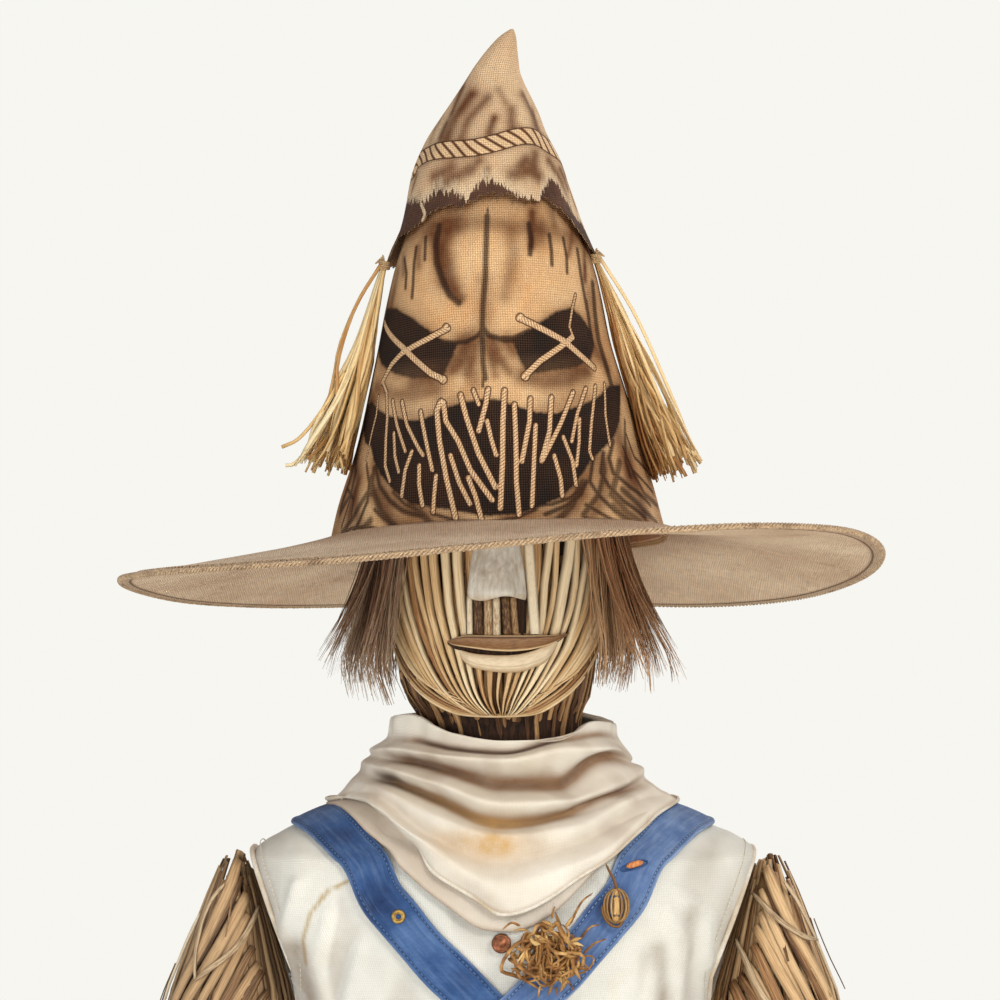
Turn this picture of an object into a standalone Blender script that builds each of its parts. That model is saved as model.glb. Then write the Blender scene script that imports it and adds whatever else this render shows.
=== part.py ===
"""Scarecrow half figure on a wooden stand: a slatted straw face under a tall two-layer pointed
hat, a cream scarf, a sleeveless vest with crossed denim straps and two straw arms.

Metres, +Z up, the figure looks towards -Y. Left and right are those of a viewer in front.
"""

import math

import bmesh
import bpy
from mathutils import Matrix, Vector
from mathutils.bvhtree import BVHTree

# ---- driving dimensions -------------------------------------------------------------------

GAP = 0.0004

BOARD_LENGTH = 0.42
BOARD_WIDTH = 0.070
BOARD_THICK = 0.028
POST_SIDE = 0.040
POST_TOP = 0.4895
BRACE_LEG = 0.070
BRACE_THICK = 0.018

YOKE_HALF = 0.112
YOKE_LOW = 0.490
YOKE_HIGH = 0.545
BRACKET_THICK = 0.002
BRACKET_WIDTH = 0.024
BRACKET_DROP = 0.058
BRACKET_REACH = 0.080
DOWEL_RADIUS = 0.009
DOWEL_LOW = 0.440
DOWEL_HIGH = 0.700

SHOULDER_X = 0.1356
SHOULDER_Z = 0.515
ARMHOLE_LEAN = math.radians(20.9)
ARMHOLE_RADIUS = 0.058
PIN_RADIUS = 0.004
PIN_INNER = 0.060
PIN_OUTER = 0.032
PIN_HEAD_RADIUS = 0.008
PIN_HEAD_THICK = 0.004

VEST_GAP = 0.0008
VEST_THICK = 0.0025
VEST_SKIN = VEST_GAP + VEST_THICK
STRAP_WIDTH = 0.027
STRAP_THICK = 0.0022
STRAP_LIFT = 0.0028
CROSSING_LIFT = 0.0057
STRAP_FOOT_Z = 0.3620
CROSSING_Z = 0.457
WAISTBAND_LOW = 0.325
WAISTBAND_HIGH = 0.360

NECK_RADIUS = 0.050
NECK_LOW = 0.5892
NECK_HIGH = 0.6322
HEAD_X = -0.004
FACE_GAP = 0.0011
FACE_THICK = 0.0045
SLAT_GROOVE = 0.0009

HAT_CENTRE = Vector((-0.0015, 0.0, 0.7385))
HAT_BACK_TILT = math.radians(5.0)
HAT_SIDE_ROLL = math.radians(1.8)
HAT_DEPTH_RATIO = 1.12
CROWN_THICK = 0.0020
CAP_THICK = 0.0020
BRIM_HALF_WIDTH = 0.2262
BRIM_HALF_DEPTH = 0.2240
BRIM_THICK = 0.0028
BRIM_DROOP = 0.022
BINDING_RADIUS = 0.0020

COLOURS = {
    "aged_pine": (0.42, 0.29, 0.17, 1.0),
    "zinc_steel": (0.55, 0.55, 0.56, 1.0),
    "straw": (0.62, 0.43, 0.20, 1.0),
    "arm_straw": (0.42, 0.27, 0.13, 1.0),
    "vest_cotton": (0.68, 0.68, 0.62, 1.0),
    "denim": (0.12, 0.22, 0.45, 1.0),
    "scarf_linen": (0.78, 0.74, 0.64, 1.0),
    "copper": (0.45, 0.25, 0.14, 1.0),
    "brass": (0.60, 0.45, 0.20, 1.0),
    "dried_vine": (0.45, 0.28, 0.12, 1.0),
    "head_canvas": (0.30, 0.22, 0.15, 1.0),
    "pale_reed": (0.60, 0.46, 0.30, 1.0),
    "grey_reed": (0.55, 0.52, 0.46, 1.0),
    "lip_wood": (0.35, 0.22, 0.12, 1.0),
    "lip_reed": (0.66, 0.54, 0.38, 1.0),
    "dark_felt": (0.03, 0.02, 0.02, 1.0),
    "hair_fibre": (0.36, 0.26, 0.19, 1.0),
    "printed_burlap": (0.55, 0.37, 0.22, 1.0),
    "plain_burlap": (0.50, 0.38, 0.27, 1.0),
    "braid": (0.56, 0.45, 0.32, 1.0),
    "sweatband_cotton": (0.55, 0.31, 0.14, 1.0),
    "raffia": (0.70, 0.50, 0.25, 1.0),
    "twine": (0.50, 0.36, 0.20, 1.0),
}

# Height, half width, half depth of the stuffed body.
BODY = (
    (0.215, 0.092, 0.078),
    (0.270, 0.095, 0.080),
    (0.340, 0.097, 0.078),
    (0.400, 0.104, 0.083),
    (0.440, 0.112, 0.087),
    (0.470, 0.122, 0.089),
    (0.500, 0.137, 0.088),
    (0.525, 0.147, 0.083),
    (0.547, 0.149, 0.074),
    (0.554, 0.142, 0.066),
    (0.5625, 0.125, 0.058),
    (0.573, 0.100, 0.053),
    (0.580, 0.075, 0.050),
    (0.584, 0.058, 0.046),
)
BODY_POWER = 2.6

# Height, half width, half depth, middle in Y of the head core.
HEAD = (
    (0.6335, 0.030, 0.036, -0.014),
    (0.638, 0.040, 0.048, -0.010),
    (0.648, 0.046, 0.058, -0.006),
    (0.662, 0.052, 0.064, -0.003),
    (0.680, 0.056, 0.068, -0.001),
    (0.705, 0.059, 0.070, 0.000),
    (0.740, 0.0605, 0.070, 0.001),
    (0.780, 0.0600, 0.068, 0.004),
    (0.820, 0.0560, 0.062, 0.008),
    (0.845, 0.050, 0.055, 0.010),
    (0.862, 0.040, 0.045, 0.011),
    (0.872, 0.022, 0.028, 0.012),
    (0.875, 0.010, 0.014, 0.012),
)
HEAD_POWER = 2.2

# Height above the brim, outer half width and sideways bend of the crown and of the cap.
CROWN = (
    (0.000, 0.1005, 0.0),
    (0.022, 0.0954, 0.0),
    (0.052, 0.0864, 0.0),
    (0.083, 0.0783, 0.0),
    (0.115, 0.0702, 0.0),
    (0.142, 0.0650, 0.0),
    (0.160, 0.0608, 0.0),
    (0.192, 0.0498, 0.0),
    (0.222, 0.0420, 0.0),
    (0.239, 0.0340, 0.0),
    (0.262, 0.0225, 0.0020),
    (0.281, 0.0110, 0.0048),
)
CAP = (
    (0.160, 0.0650, 0.0),
    (0.172, 0.0614, 0.0),
    (0.192, 0.0545, 0.0),
    (0.222, 0.0462, 0.0),
    (0.239, 0.0380, 0.0),
    (0.256, 0.0296, 0.0018),
    (0.2805, 0.0160, 0.0048),
    (0.2907, 0.0118, 0.0080),
    (0.3000, 0.0075, 0.0118),
    (0.3087, 0.0032, 0.0165),
)
# Turn from the front in degrees and height above the brim of the cap's torn lower edge.
CAP_EDGE = (
    (-180.0, 0.176),
    (-150.0, 0.184),
    (-125.0, 0.172),
    (-90.0, 0.1655),
    (-70.0, 0.180),
    (-45.0, 0.1875),
    (-38.0, 0.1925),
    (-16.0, 0.1925),
    (0.0, 0.199),
    (25.0, 0.195),
    (39.0, 0.198),
    (59.0, 0.1845),
    (72.0, 0.1715),
    (90.0, 0.1635),
    (125.0, 0.178),
    (150.0, 0.186),
    (180.0, 0.176),
)

# Height, middle in X, half width, half depth of an arm's straw.
ARM = (
    (0.552, 0.1600, 0.0050, 0.010),
    (0.545, 0.1605, 0.0100, 0.021),
    (0.530, 0.1610, 0.0165, 0.031),
    (0.510, 0.1615, 0.0240, 0.036),
    (0.490, 0.1621, 0.0308, 0.038),
    (0.461, 0.1628, 0.0400, 0.041),
    (0.420, 0.1668, 0.0430, 0.043),
    (0.380, 0.1700, 0.0410, 0.041),
    (0.330, 0.1745, 0.0340, 0.034),
    (0.290, 0.1780, 0.0260, 0.026),
    (0.262, 0.1800, 0.0215, 0.0215),
)
HAND = (
    (0.2612, 0.1800, 0.0205, 0.0205),
    (0.235, 0.1810, 0.0245, 0.0235),
    (0.200, 0.1830, 0.0350, 0.0320),
    (0.165, 0.1850, 0.0440, 0.0390),
    (0.150, 0.1850, 0.0400, 0.0350),
)


# ---- scene and helpers --------------------------------------------------------------------

for old in list(bpy.data.objects):
    bpy.data.objects.remove(old, do_unlink=True)

figure = bpy.data.collections.new("scarecrow_figure")
cutters = bpy.data.collections.new("cutters")
bpy.context.scene.collection.children.link(figure)
bpy.context.scene.collection.children.link(cutters)


def material(name, slot):
    made = bpy.data.materials.new(name + "_" + slot)
    made.use_nodes = True
    shader = made.node_tree.nodes["Principled BSDF"]
    shader.inputs["Base Color"].default_value = COLOURS[slot]
    shader.inputs["Roughness"].default_value = 0.8
    made.diffuse_color = COLOURS[slot]
    return made


def keep(obj, slot):
    """Puts an object in the figure with a material of its own."""
    figure.objects.link(obj)
    obj.data.materials.append(material(obj.name, slot))
    return obj


def cutter(obj):
    cutters.objects.link(obj)
    obj.hide_render = True
    obj.display_type = "WIRE"
    return obj


def mesh_object(name, points, faces, outward=False):
    data = bpy.data.meshes.new(name)
    data.from_pydata([tuple(p) for p in points], [], faces)
    if outward:
        work = bmesh.new()
        work.from_mesh(data)
        bmesh.ops.recalc_face_normals(work, faces=work.faces)
        work.to_mesh(data)
        work.free()
    data.update()
    return bpy.data.objects.new(name, data)


def box(name, low, high):
    centre = (Vector(low) + Vector(high)) / 2
    size = Vector(high) - Vector(low)
    data = bpy.data.meshes.new(name)
    work = bmesh.new()
    bmesh.ops.create_cube(work, size=1.0)
    bmesh.ops.scale(work, vec=size, verts=work.verts)
    bmesh.ops.translate(work, vec=centre, verts=work.verts)
    work.to_mesh(data)
    work.free()
    return bpy.data.objects.new(name, data)


def rod(name, start, end, radius, segments=20):
    """A cylinder from start to end."""
    start = Vector(start)
    end = Vector(end)
    along = end - start
    turn = along.to_track_quat("Z", "Y").to_matrix().to_4x4()
    data = bpy.data.meshes.new(name)
    work = bmesh.new()
    bmesh.ops.create_cone(
        work,
        cap_ends=True,
        segments=segments,
        radius1=radius,
        radius2=radius,
        depth=along.length,
        matrix=Matrix.Translation((start + end) / 2) @ turn,
    )
    work.to_mesh(data)
    work.free()
    return bpy.data.objects.new(name, data)


def prism(name, outline, low, high, axis):
    """A flat outline pushed along X or Y from low to high."""
    count = len(outline)
    points = []
    for level in (low, high):
        for u, w in outline:
            points.append((level, u, w) if axis == "X" else (u, level, w))
    faces = [tuple(range(count)), tuple(range(2 * count - 1, count - 1, -1))]
    for i in range(count):
        j = (i + 1) % count
        faces.append((i, j, count + j, count + i))
    return mesh_object(name, points, faces, outward=True)


def loft(name, rings, capped=True, cyclic=True):
    """Skins closed rings, or open rows, of the same count. Rings that rise face out."""
    count = len(rings[0])
    points = [p for ring in rings for p in ring]
    last = count if cyclic else count - 1
    faces = []
    for i in range(len(rings) - 1):
        for j in range(last):
            k = (j + 1) % count
            low = i * count
            high = low + count
            faces.append((low + j, low + k, high + k, high + j))
    if capped:
        faces.append(tuple(range(count - 1, -1, -1)))
        end = (len(rings) - 1) * count
        faces.append(tuple(range(end, end + count)))
    return mesh_object(name, points, faces, outward=capped)


def tube_of_loops(name, loops):
    """Skins a loop of rings round on itself: an annular body."""
    count = len(loops[0])
    points = [p for ring in loops for p in ring]
    faces = []
    total = len(loops)
    for i in range(total):
        low = i * count
        high = ((i + 1) % total) * count
        for j in range(count):
            k = (j + 1) % count
            faces.append((low + j, low + k, high + k, high + j))
    return mesh_object(name, points, faces, outward=True)


def thicken(obj, thickness):
    solid = obj.modifiers.new("Thickness", "SOLIDIFY")
    solid.thickness = thickness
    solid.offset = 1.0
    solid.use_even_offset = False
    return obj


def soften(obj, width, segments=1):
    edge = obj.modifiers.new("Edges", "BEVEL")
    edge.width = width
    edge.segments = segments
    edge.limit_method = "ANGLE"
    edge.angle_limit = math.radians(40)
    return obj


def cut(obj, tool):
    hole = obj.modifiers.new("Cut " + tool.name, "BOOLEAN")
    hole.operation = "DIFFERENCE"
    hole.solver = "EXACT"
    hole.object = tool
    return obj


def signed_power(value, power):
    return math.copysign(abs(value) ** power, value)


def oval(z, a, b, power, segments, cx=0.0, cy=0.0, flute=0.0):
    """A superellipse ring at height z, counter-clockwise from above."""
    ring = []
    for i in range(segments):
        turn = 2 * math.pi * i / segments
        grow = 1.0 + (flute if i % 2 else -flute)
        x = cx + a * grow * signed_power(math.cos(turn), 2 / power)
        y = cy + b * grow * signed_power(math.sin(turn), 2 / power)
        ring.append(Vector((x, y, z)))
    return ring


def grown(rows, offset):
    """The rows of a (height, half width, half depth) profile moved out along its normal."""
    moved = []
    for i, row in enumerate(rows):
        below = rows[max(i - 1, 0)]
        above = rows[min(i + 1, len(rows) - 1)]
        rise = above[0] - below[0]
        run = (above[1] - below[1] + above[2] - below[2]) / 2
        length = math.hypot(rise, run)
        out = offset * rise / length
        up = -offset * run / length
        moved.append((row[0] + up, row[1] + out, row[2] + out) + tuple(row[3:]))
    return moved


def interpolate(table, value):
    """Linear reading of a table of (key, value) pairs."""
    for (k0, v0), (k1, v1) in zip(table, table[1:]):
        if value <= k1:
            share = max(0.0, (value - k0) / (k1 - k0))
            return v0 + (v1 - v0) * share
    return table[-1][1]


def surface_tree(rings):
    count = len(rings[0])
    points = [p for ring in rings for p in ring]
    faces = []
    for i in range(len(rings) - 1):
        for j in range(count):
            k = (j + 1) % count
            low = i * count
            faces.append((low + j, low + k, low + count + k, low + count + j))
    top = (len(rings) - 1) * count
    faces.append(tuple(range(top, top + count)))
    return BVHTree.FromPolygons(points, faces)


# ---- stand --------------------------------------------------------------------------------

half = BOARD_LENGTH / 2
lap = BOARD_WIDTH / 2 + GAP
middle = BOARD_THICK / 2

board_long = keep(
    box("base_board_long", (-half, -BOARD_WIDTH / 2, 0), (half, BOARD_WIDTH / 2, BOARD_THICK)),
    "aged_pine",
)
cut(
    board_long,
    cutter(box("lap_above", (-lap, -0.05, middle - GAP / 2), (lap, 0.05, BOARD_THICK + 0.01))),
)
soften(board_long, 0.002)
board_cross = keep(
    box("base_board_cross", (-BOARD_WIDTH / 2, -half, 0), (BOARD_WIDTH / 2, half, BOARD_THICK)),
    "aged_pine",
)
cut(
    board_cross,
    cutter(box("lap_below", (-0.05, -lap, -0.01), (0.05, lap, middle + GAP / 2))),
)
soften(board_cross, 0.002)

side = POST_SIDE / 2
post_foot = BOARD_THICK + GAP
post = keep(box("post", (-side, -side, post_foot), (side, side, POST_TOP)), "aged_pine")
soften(post, 0.002)

dowel = keep(
    rod("neck_dowel", (0, 0, DOWEL_LOW), (0, 0, DOWEL_HIGH), DOWEL_RADIUS, 16), "aged_pine"
)
dowel_hole = cutter(
    rod("dowel_hole", (0, 0, DOWEL_LOW - GAP), (0, 0, DOWEL_HIGH + GAP), DOWEL_RADIUS + GAP, 16)
)
cut(post, dowel_hole)

leg = side + GAP
brace_z = BOARD_THICK + GAP
triangle = (
    (leg, brace_z),
    (leg + BRACE_LEG, brace_z),
    (leg + BRACE_LEG, brace_z + 0.012),
    (leg + 0.012, brace_z + BRACE_LEG),
    (leg, brace_z + BRACE_LEG),
)
mirrored = tuple((-u, w) for u, w in triangle)
braces = (
    ("brace_right", triangle, "Y"),
    ("brace_left", mirrored, "Y"),
    ("brace_back", triangle, "X"),
    ("brace_front", mirrored, "X"),
)
for name, outline, axis in braces:
    brace = keep(prism(name, outline, -BRACE_THICK / 2, BRACE_THICK / 2, axis), "aged_pine")
    soften(brace, 0.0012)

# ---- shoulder yoke and its fixings ----------------------------------------------------------

yoke = keep(box("yoke", (-YOKE_HALF, -side, YOKE_LOW), (YOKE_HALF, side, YOKE_HIGH)), "aged_pine")
soften(yoke, 0.002)
cut(yoke, dowel_hole)

plate_high = YOKE_LOW - GAP
plate_low = plate_high - BRACKET_THICK
for name, sign in (("yoke_bracket_left", -1), ("yoke_bracket_right", 1)):
    corner = (
        (sign * leg, plate_high),
        (sign * BRACKET_REACH, plate_high),
        (sign * BRACKET_REACH, plate_low),
        (sign * (leg + BRACKET_THICK), plate_low),
        (sign * (leg + BRACKET_THICK), plate_high - BRACKET_DROP),
        (sign * leg, plate_high - BRACKET_DROP),
    )
    keep(prism(name, corner, -BRACKET_WIDTH / 2, BRACKET_WIDTH / 2, "Y"), "zinc_steel")


def shoulder(sign, distance):
    """A point on the shoulder pin's axis, outwards from the armhole plane."""
    x = SHOULDER_X + distance * math.cos(ARMHOLE_LEAN)
    z = SHOULDER_Z - distance * math.sin(ARMHOLE_LEAN)
    return Vector((sign * x, 0.0, z))


# ---- body, vest and waist -------------------------------------------------------------------

BODY_SEGMENTS = 24


def body_rings(offset):
    rows = grown(BODY, offset)
    return [oval(z, a, b, BODY_POWER, BODY_SEGMENTS) for z, a, b in rows]


stuffing = keep(loft("body_stuffing", body_rings(0.0)), "straw")
cut(stuffing, cutter(box("post_room", (-leg, -leg, 0.1), (leg, leg, YOKE_LOW + 0.01))))
cut(
    stuffing,
    cutter(box("yoke_room", (-0.2, -leg, YOKE_LOW - GAP), (0.2, leg, YOKE_HIGH + GAP))),
)
cut(
    stuffing,
    cutter(
        box(
            "bracket_room",
            (-BRACKET_REACH - GAP, -BRACKET_WIDTH / 2 - GAP, plate_high - BRACKET_DROP - GAP),
            (BRACKET_REACH + GAP, BRACKET_WIDTH / 2 + GAP, YOKE_LOW + 0.01),
        )
    ),
)
cut(stuffing, dowel_hole)

vest = keep(loft("vest", body_rings(VEST_GAP), capped=False), "vest_cotton")
thicken(vest, VEST_THICK)

for sign, label in ((-1, "left"), (1, "right")):
    armhole = cutter(
        rod("armhole_" + label, shoulder(sign, 0.0), shoulder(sign, 0.08), ARMHOLE_RADIUS, 32)
    )
    seat = cutter(
        rod("seat_" + label, shoulder(sign, -0.006), shoulder(sign, 0.08), ARMHOLE_RADIUS + 0.002, 32)
    )
    cut(vest, armhole)
    cut(stuffing, seat)

waist_rows = grown(BODY, VEST_SKIN + GAP)
waist_width = [(row[0], row[1]) for row in waist_rows]
waist_depth = [(row[0], row[2]) for row in waist_rows]
waist_rings = []
for z in (WAISTBAND_LOW, (WAISTBAND_LOW + WAISTBAND_HIGH) / 2, WAISTBAND_HIGH):
    a = interpolate(waist_width, z)
    b = interpolate(waist_depth, z)
    waist_rings.append(oval(z, a, b, BODY_POWER, BODY_SEGMENTS))
waistband = keep(loft("waistband", waist_rings, capped=False), "denim")
thicken(waistband, 0.0025)

fringe_outer = [
    oval(0.160, 0.098, 0.084, BODY_POWER, 32, flute=0.03),
    oval(0.190, 0.094, 0.080, BODY_POWER, 32, flute=0.03),
    oval(0.2142, 0.086, 0.072, BODY_POWER, 32, flute=0.03),
]
fringe_inner = [
    oval(0.2142, 0.034, 0.034, 4.0, 32),
    oval(0.160, 0.040, 0.040, 4.0, 32),
]
keep(tube_of_loops("waist_straw", fringe_outer + fringe_inner), "straw")

# ---- straps ---------------------------------------------------------------------------------

skin_tree = surface_tree(body_rings(VEST_SKIN))
FRONT = Vector((0, -1, 0))


def on_skin(origin, direction):
    """Where a ray from inside leaves the vest, and the way out there."""
    place, normal, _, _ = skin_tree.ray_cast(Vector(origin), Vector(direction))
    if normal.dot(Vector(direction)) < 0:
        normal = -normal
    return place, normal


def strap_path(sign):
    """Centre points from the front waist over the shoulder to the back waist."""
    front = (
        (0.058, STRAP_FOOT_Z),
        (0.0575, 0.374),
        (0.054, 0.389),
        (0.047, 0.404),
        (0.037, 0.419),
        (0.026, 0.432),
        (0.013, 0.445),
        (0.000, CROSSING_Z),
        (-0.012, 0.468),
        (-0.024, 0.480),
        (-0.036, 0.4915),
        (-0.048, 0.504),
        (-0.060, 0.518),
        (-0.071, 0.531),
    )
    rays = [((-sign * x, 0, z), FRONT) for x, z in front]
    over = (
        (-0.079, 10),
        (-0.088, 19),
        (-0.096, 30),
        (-0.103, 42),
        (-0.109, 56),
        (-0.1125, 71),
        (-0.1135, 87),
        (-0.1135, 103),
        (-0.111, 118),
        (-0.107, 132),
        (-0.102, 144),
        (-0.097, 156),
        (-0.092, 168),
    )
    for x, turn in over:
        angle = math.radians(turn)
        rays.append(((-sign * x, 0, 0.535), (0, -math.cos(angle), math.sin(angle))))
    for step in range(11):
        z = 0.530 + (STRAP_FOOT_Z - 0.530) * step / 10
        x = -0.087 + 0.024 * step / 10
        rays.append(((-sign * x, 0, z), -FRONT))
    return [on_skin(origin, direction) for origin, direction in rays]


def strap(name, sign, crossing):
    path = strap_path(sign)
    rows = []
    for i, (place, normal) in enumerate(path):
        ahead = path[min(i + 1, len(path) - 1)][0]
        behind = path[max(i - 1, 0)][0]
        along = (ahead - behind).normalized()
        across = along.cross(normal).normalized()
        to_cross = (place - Vector((0, place.y, CROSSING_Z))).length
        near = max(0.0, min(1.0, (0.070 - to_cross) / 0.026)) if place.y < 0 else 0.0
        lift = STRAP_LIFT + crossing * near
        row = []
        for k in (-1.0, -0.33, 0.33, 1.0):
            above = place + across * (k * STRAP_WIDTH / 2) + normal * 0.03
            hit, _, _, _ = skin_tree.ray_cast(above, -normal)
            row.append((hit if hit else place) + normal * lift)
        rows.append(row)
    return thicken(loft(name, rows, capped=False, cyclic=False), STRAP_THICK)


keep(strap("strap_left", -1, 0.0), "denim")
keep(strap("strap_right", 1, CROSSING_LIFT - STRAP_LIFT), "denim")


def on_front(x, z, lift):
    place, _ = on_skin((x, 0, z), FRONT)
    return place + FRONT * lift


# Straps are sewn to the waistband under two buttons.
for label, sign in (("left", -1), ("right", 1)):
    at, out = on_skin((sign * 0.058, 0, 0.343), FRONT)
    at = at + out * (GAP + 0.0025 + 0.0014)
    keep(rod("waist_button_" + label, at, at + out * 0.003, 0.0075, 16), "brass")

place = on_front(-0.060, 0.519, STRAP_LIFT + STRAP_THICK + 0.0022)
eyelet = [
    [place + Vector((r * math.cos(t), -y, r * math.sin(t))) for t in [math.pi * i / 8 for i in range(16)]]
    for r, y in ((0.0040, 0.0), (0.0040, 0.0016), (0.0020, 0.0016), (0.0020, 0.0))
]
keep(tube_of_loops("strap_eyelet", eyelet), "brass")

place = on_front(0.076, 0.547, STRAP_LIFT + STRAP_THICK + 0.0042)
toggle = box("strap_toggle", (-0.005, -0.0028, -0.0022), (0.005, 0.0, 0.0022))
toggle.data.transform(Matrix.Translation(place) @ Matrix.Rotation(math.radians(40), 4, "Y"))
keep(soften(toggle, 0.0008), "lip_wood")

place = on_front(-0.001, 0.5045, 0.0018)
keep(rod("copper_button", place, place + FRONT * 0.0032, 0.0056, 20), "copper")

# ---- dried sprig: a coiled nest and a seed pod ------------------------------------------------

nest_data = bpy.data.meshes.new("sprig_nest")
work = bmesh.new()
bmesh.ops.create_icosphere(work, subdivisions=3, radius=1.0)
for vert in work.verts:
    x, y, z = vert.co
    lump = 1.0 + 0.10 * math.sin(7 * x + 2.0) * math.sin(6 * z + 1.0) + 0.06 * math.sin(11 * x * z)
    vert.co = Vector((x * 0.0225 * lump, y * 0.0058, z * 0.0200 * lump))
work.to_mesh(nest_data)
work.free()
nest = bpy.data.objects.new("sprig_nest", nest_data)
nest_at = on_front(0.027, 0.500, CROSSING_LIFT + STRAP_THICK + 0.0080)
nest_data.transform(Matrix.Translation(nest_at))
keep(nest, "dried_vine")

pod_at = on_front(0.0655, 0.527, CROSSING_LIFT + STRAP_THICK + 0.0060)
pod_loops = []
for i in range(4):
    tilt = math.pi / 2 * i
    loop = []
    for j in range(20):
        t = 2 * math.pi * j / 20
        thick = 0.0022 + 0.0014 * (1 - math.sin(t)) / 2
        wide = 0.0062 + thick * math.cos(tilt)
        tall = 0.0105 + thick * math.cos(tilt)
        loop.append(pod_at + Vector((wide * math.cos(t), thick * math.sin(tilt), tall * math.sin(t))))
    pod_loops.append(loop)
keep(tube_of_loops("seed_pod", pod_loops), "dried_vine")

# ---- scarf ----------------------------------------------------------------------------------

SCARF_EYE = Vector((0.0, 0.0, 0.500))


def scarf_point(turn_degrees, rise_degrees, lift):
    """Turn from the front, positive to the right; rise above level; lift off the vest."""
    turn = math.radians(turn_degrees)
    rise = math.radians(rise_degrees)
    level = math.cos(rise)
    way = Vector((level * math.sin(turn), -level * math.cos(turn), math.sin(rise)))
    place, normal = on_skin(SCARF_EYE, way)
    return place + normal * lift


WRAP_EDGE = (
    (-180.0, 22.0),
    (-130.0, 30.0),
    (-95.0, 39.0),
    (-60.0, 35.0),
    (-30.0, 25.0),
    (0.0, 11.0),
    (20.0, 20.0),
    (30.0, 24.0),
    (60.0, 34.0),
    (95.0, 39.0),
    (130.0, 30.0),
    (180.0, 22.0),
)
WRAP_LIFT = 0.0103
WRAP_THICK = 0.0050
WRAP_TOP = 51.5
UNDER_LIFT = 0.0062
UNDER_THICK = 0.0022

wrap_rings = []
for level in range(6):
    ring = []
    for i in range(30):
        turn = 12.0 * i - 180.0
        low = interpolate(WRAP_EDGE, turn)
        fold = 0.0011 * math.sin(math.radians(turn * 3)) * math.sin(math.pi * level / 5)
        ring.append(scarf_point(turn, low + (WRAP_TOP - low) * level / 5, WRAP_LIFT + abs(fold)))
    wrap_rings.append(ring)
keep(thicken(loft("scarf_wrap", wrap_rings, capped=False), WRAP_THICK), "scarf_linen")

UNDER_EDGE = ((-84.0, 36.0), (-50.0, 28.5), (-32.0, 17.5), (-6.0, 9.5), (6.0, 12.0))
under_rows = []
for level in range(5):
    row = []
    for i in range(13):
        turn = -84.0 + 7.5 * i
        low = interpolate(UNDER_EDGE, turn)
        row.append(scarf_point(turn, low + (40.0 - low) * level / 4, UNDER_LIFT))
    under_rows.append(row)
keep(
    thicken(loft("scarf_under_fold", under_rows, capped=False, cyclic=False), UNDER_THICK),
    "scarf_linen",
)

collar_rings = []
for share, radius in ((0.0, 0.0640), (0.45, 0.0595), (1.0, 0.0640)):
    ring = []
    for i in range(30):
        turn = math.radians(12.0 * i)
        front = max(0.0, -math.sin(turn))
        top = 0.6355 - 0.0135 * front ** 2
        z = 0.5930 + (top - 0.5930) * share
        ring.append(Vector((radius * math.cos(turn), radius * math.sin(turn), z)))
    collar_rings.append(ring)
keep(thicken(loft("scarf_collar", collar_rings, capped=False), 0.0050), "scarf_linen")

# ---- neck and head ----------------------------------------------------------------------------

washer_loops = [
    oval(z, r, r, 2.0, 24)
    for z, r in ((0.5846, 0.030), (0.5886, 0.030), (0.5886, 0.0098), (0.5846, 0.0098))
]
keep(tube_of_loops("neck_washer", washer_loops), "aged_pine")

neck = keep(
    loft(
        "neck_bundle",
        [
            oval(NECK_LOW, NECK_RADIUS - 0.001, NECK_RADIUS - 0.001, 2.0, 32, flute=0.02),
            oval((NECK_LOW + NECK_HIGH) / 2, NECK_RADIUS, NECK_RADIUS, 2.0, 32, flute=0.02),
            oval(NECK_HIGH, NECK_RADIUS - 0.002, NECK_RADIUS - 0.002, 2.0, 32, flute=0.02),
        ],
    ),
    "arm_straw",
)
cut(neck, dowel_hole)

head = keep(
    loft(
        "head_core",
        [oval(z, a, b, HEAD_POWER, 24, HEAD_X, cy) for z, a, b, cy in HEAD],
    ),
    "head_canvas",
)
cut(head, dowel_hole)


def head_point(turn, z, offset):
    """On the head's form grown by offset; turn is the angle from +X, counter-clockwise."""
    rows = grown(HEAD, offset)
    a = interpolate([(r[0], r[1]) for r in rows], z)
    b = interpolate([(r[0], r[2]) for r in rows], z)
    cy = interpolate([(r[0], r[3]) for r in rows], z)
    x = HEAD_X + a * signed_power(math.cos(turn), 2 / HEAD_POWER)
    y = cy + b * signed_power(math.sin(turn), 2 / HEAD_POWER)
    return Vector((x, y, z))


FACE_TOP = 0.795
SLATS = 14
face_rows = []
face_heights = [0.6392, 0.648, 0.662, 0.680, 0.705, 0.740, 0.770, FACE_TOP]
for z in face_heights:
    row = []
    for i in range(2 * SLATS + 1):
        turn = math.radians(-190.0 + 200.0 * i / (2 * SLATS))
        groove = SLAT_GROOVE if i % 2 else 0.0
        row.append(head_point(turn, z, FACE_GAP + groove))
    face_rows.append(row)
keep(
    thicken(loft("face_slats", face_rows, capped=False, cyclic=False), FACE_THICK),
    "pale_reed",
)

FACE_SKIN = FACE_GAP + SLAT_GROOVE + FACE_THICK + 0.0012
face_tree = surface_tree([oval(z, a, b, HEAD_POWER, 56, HEAD_X, cy) for z, a, b, cy in grown(HEAD, FACE_SKIN)])


def on_face(x, z, lift):
    place, _, _, _ = face_tree.ray_cast(Vector((x, -0.3, z)), -FRONT)
    return place + FRONT * lift


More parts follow.
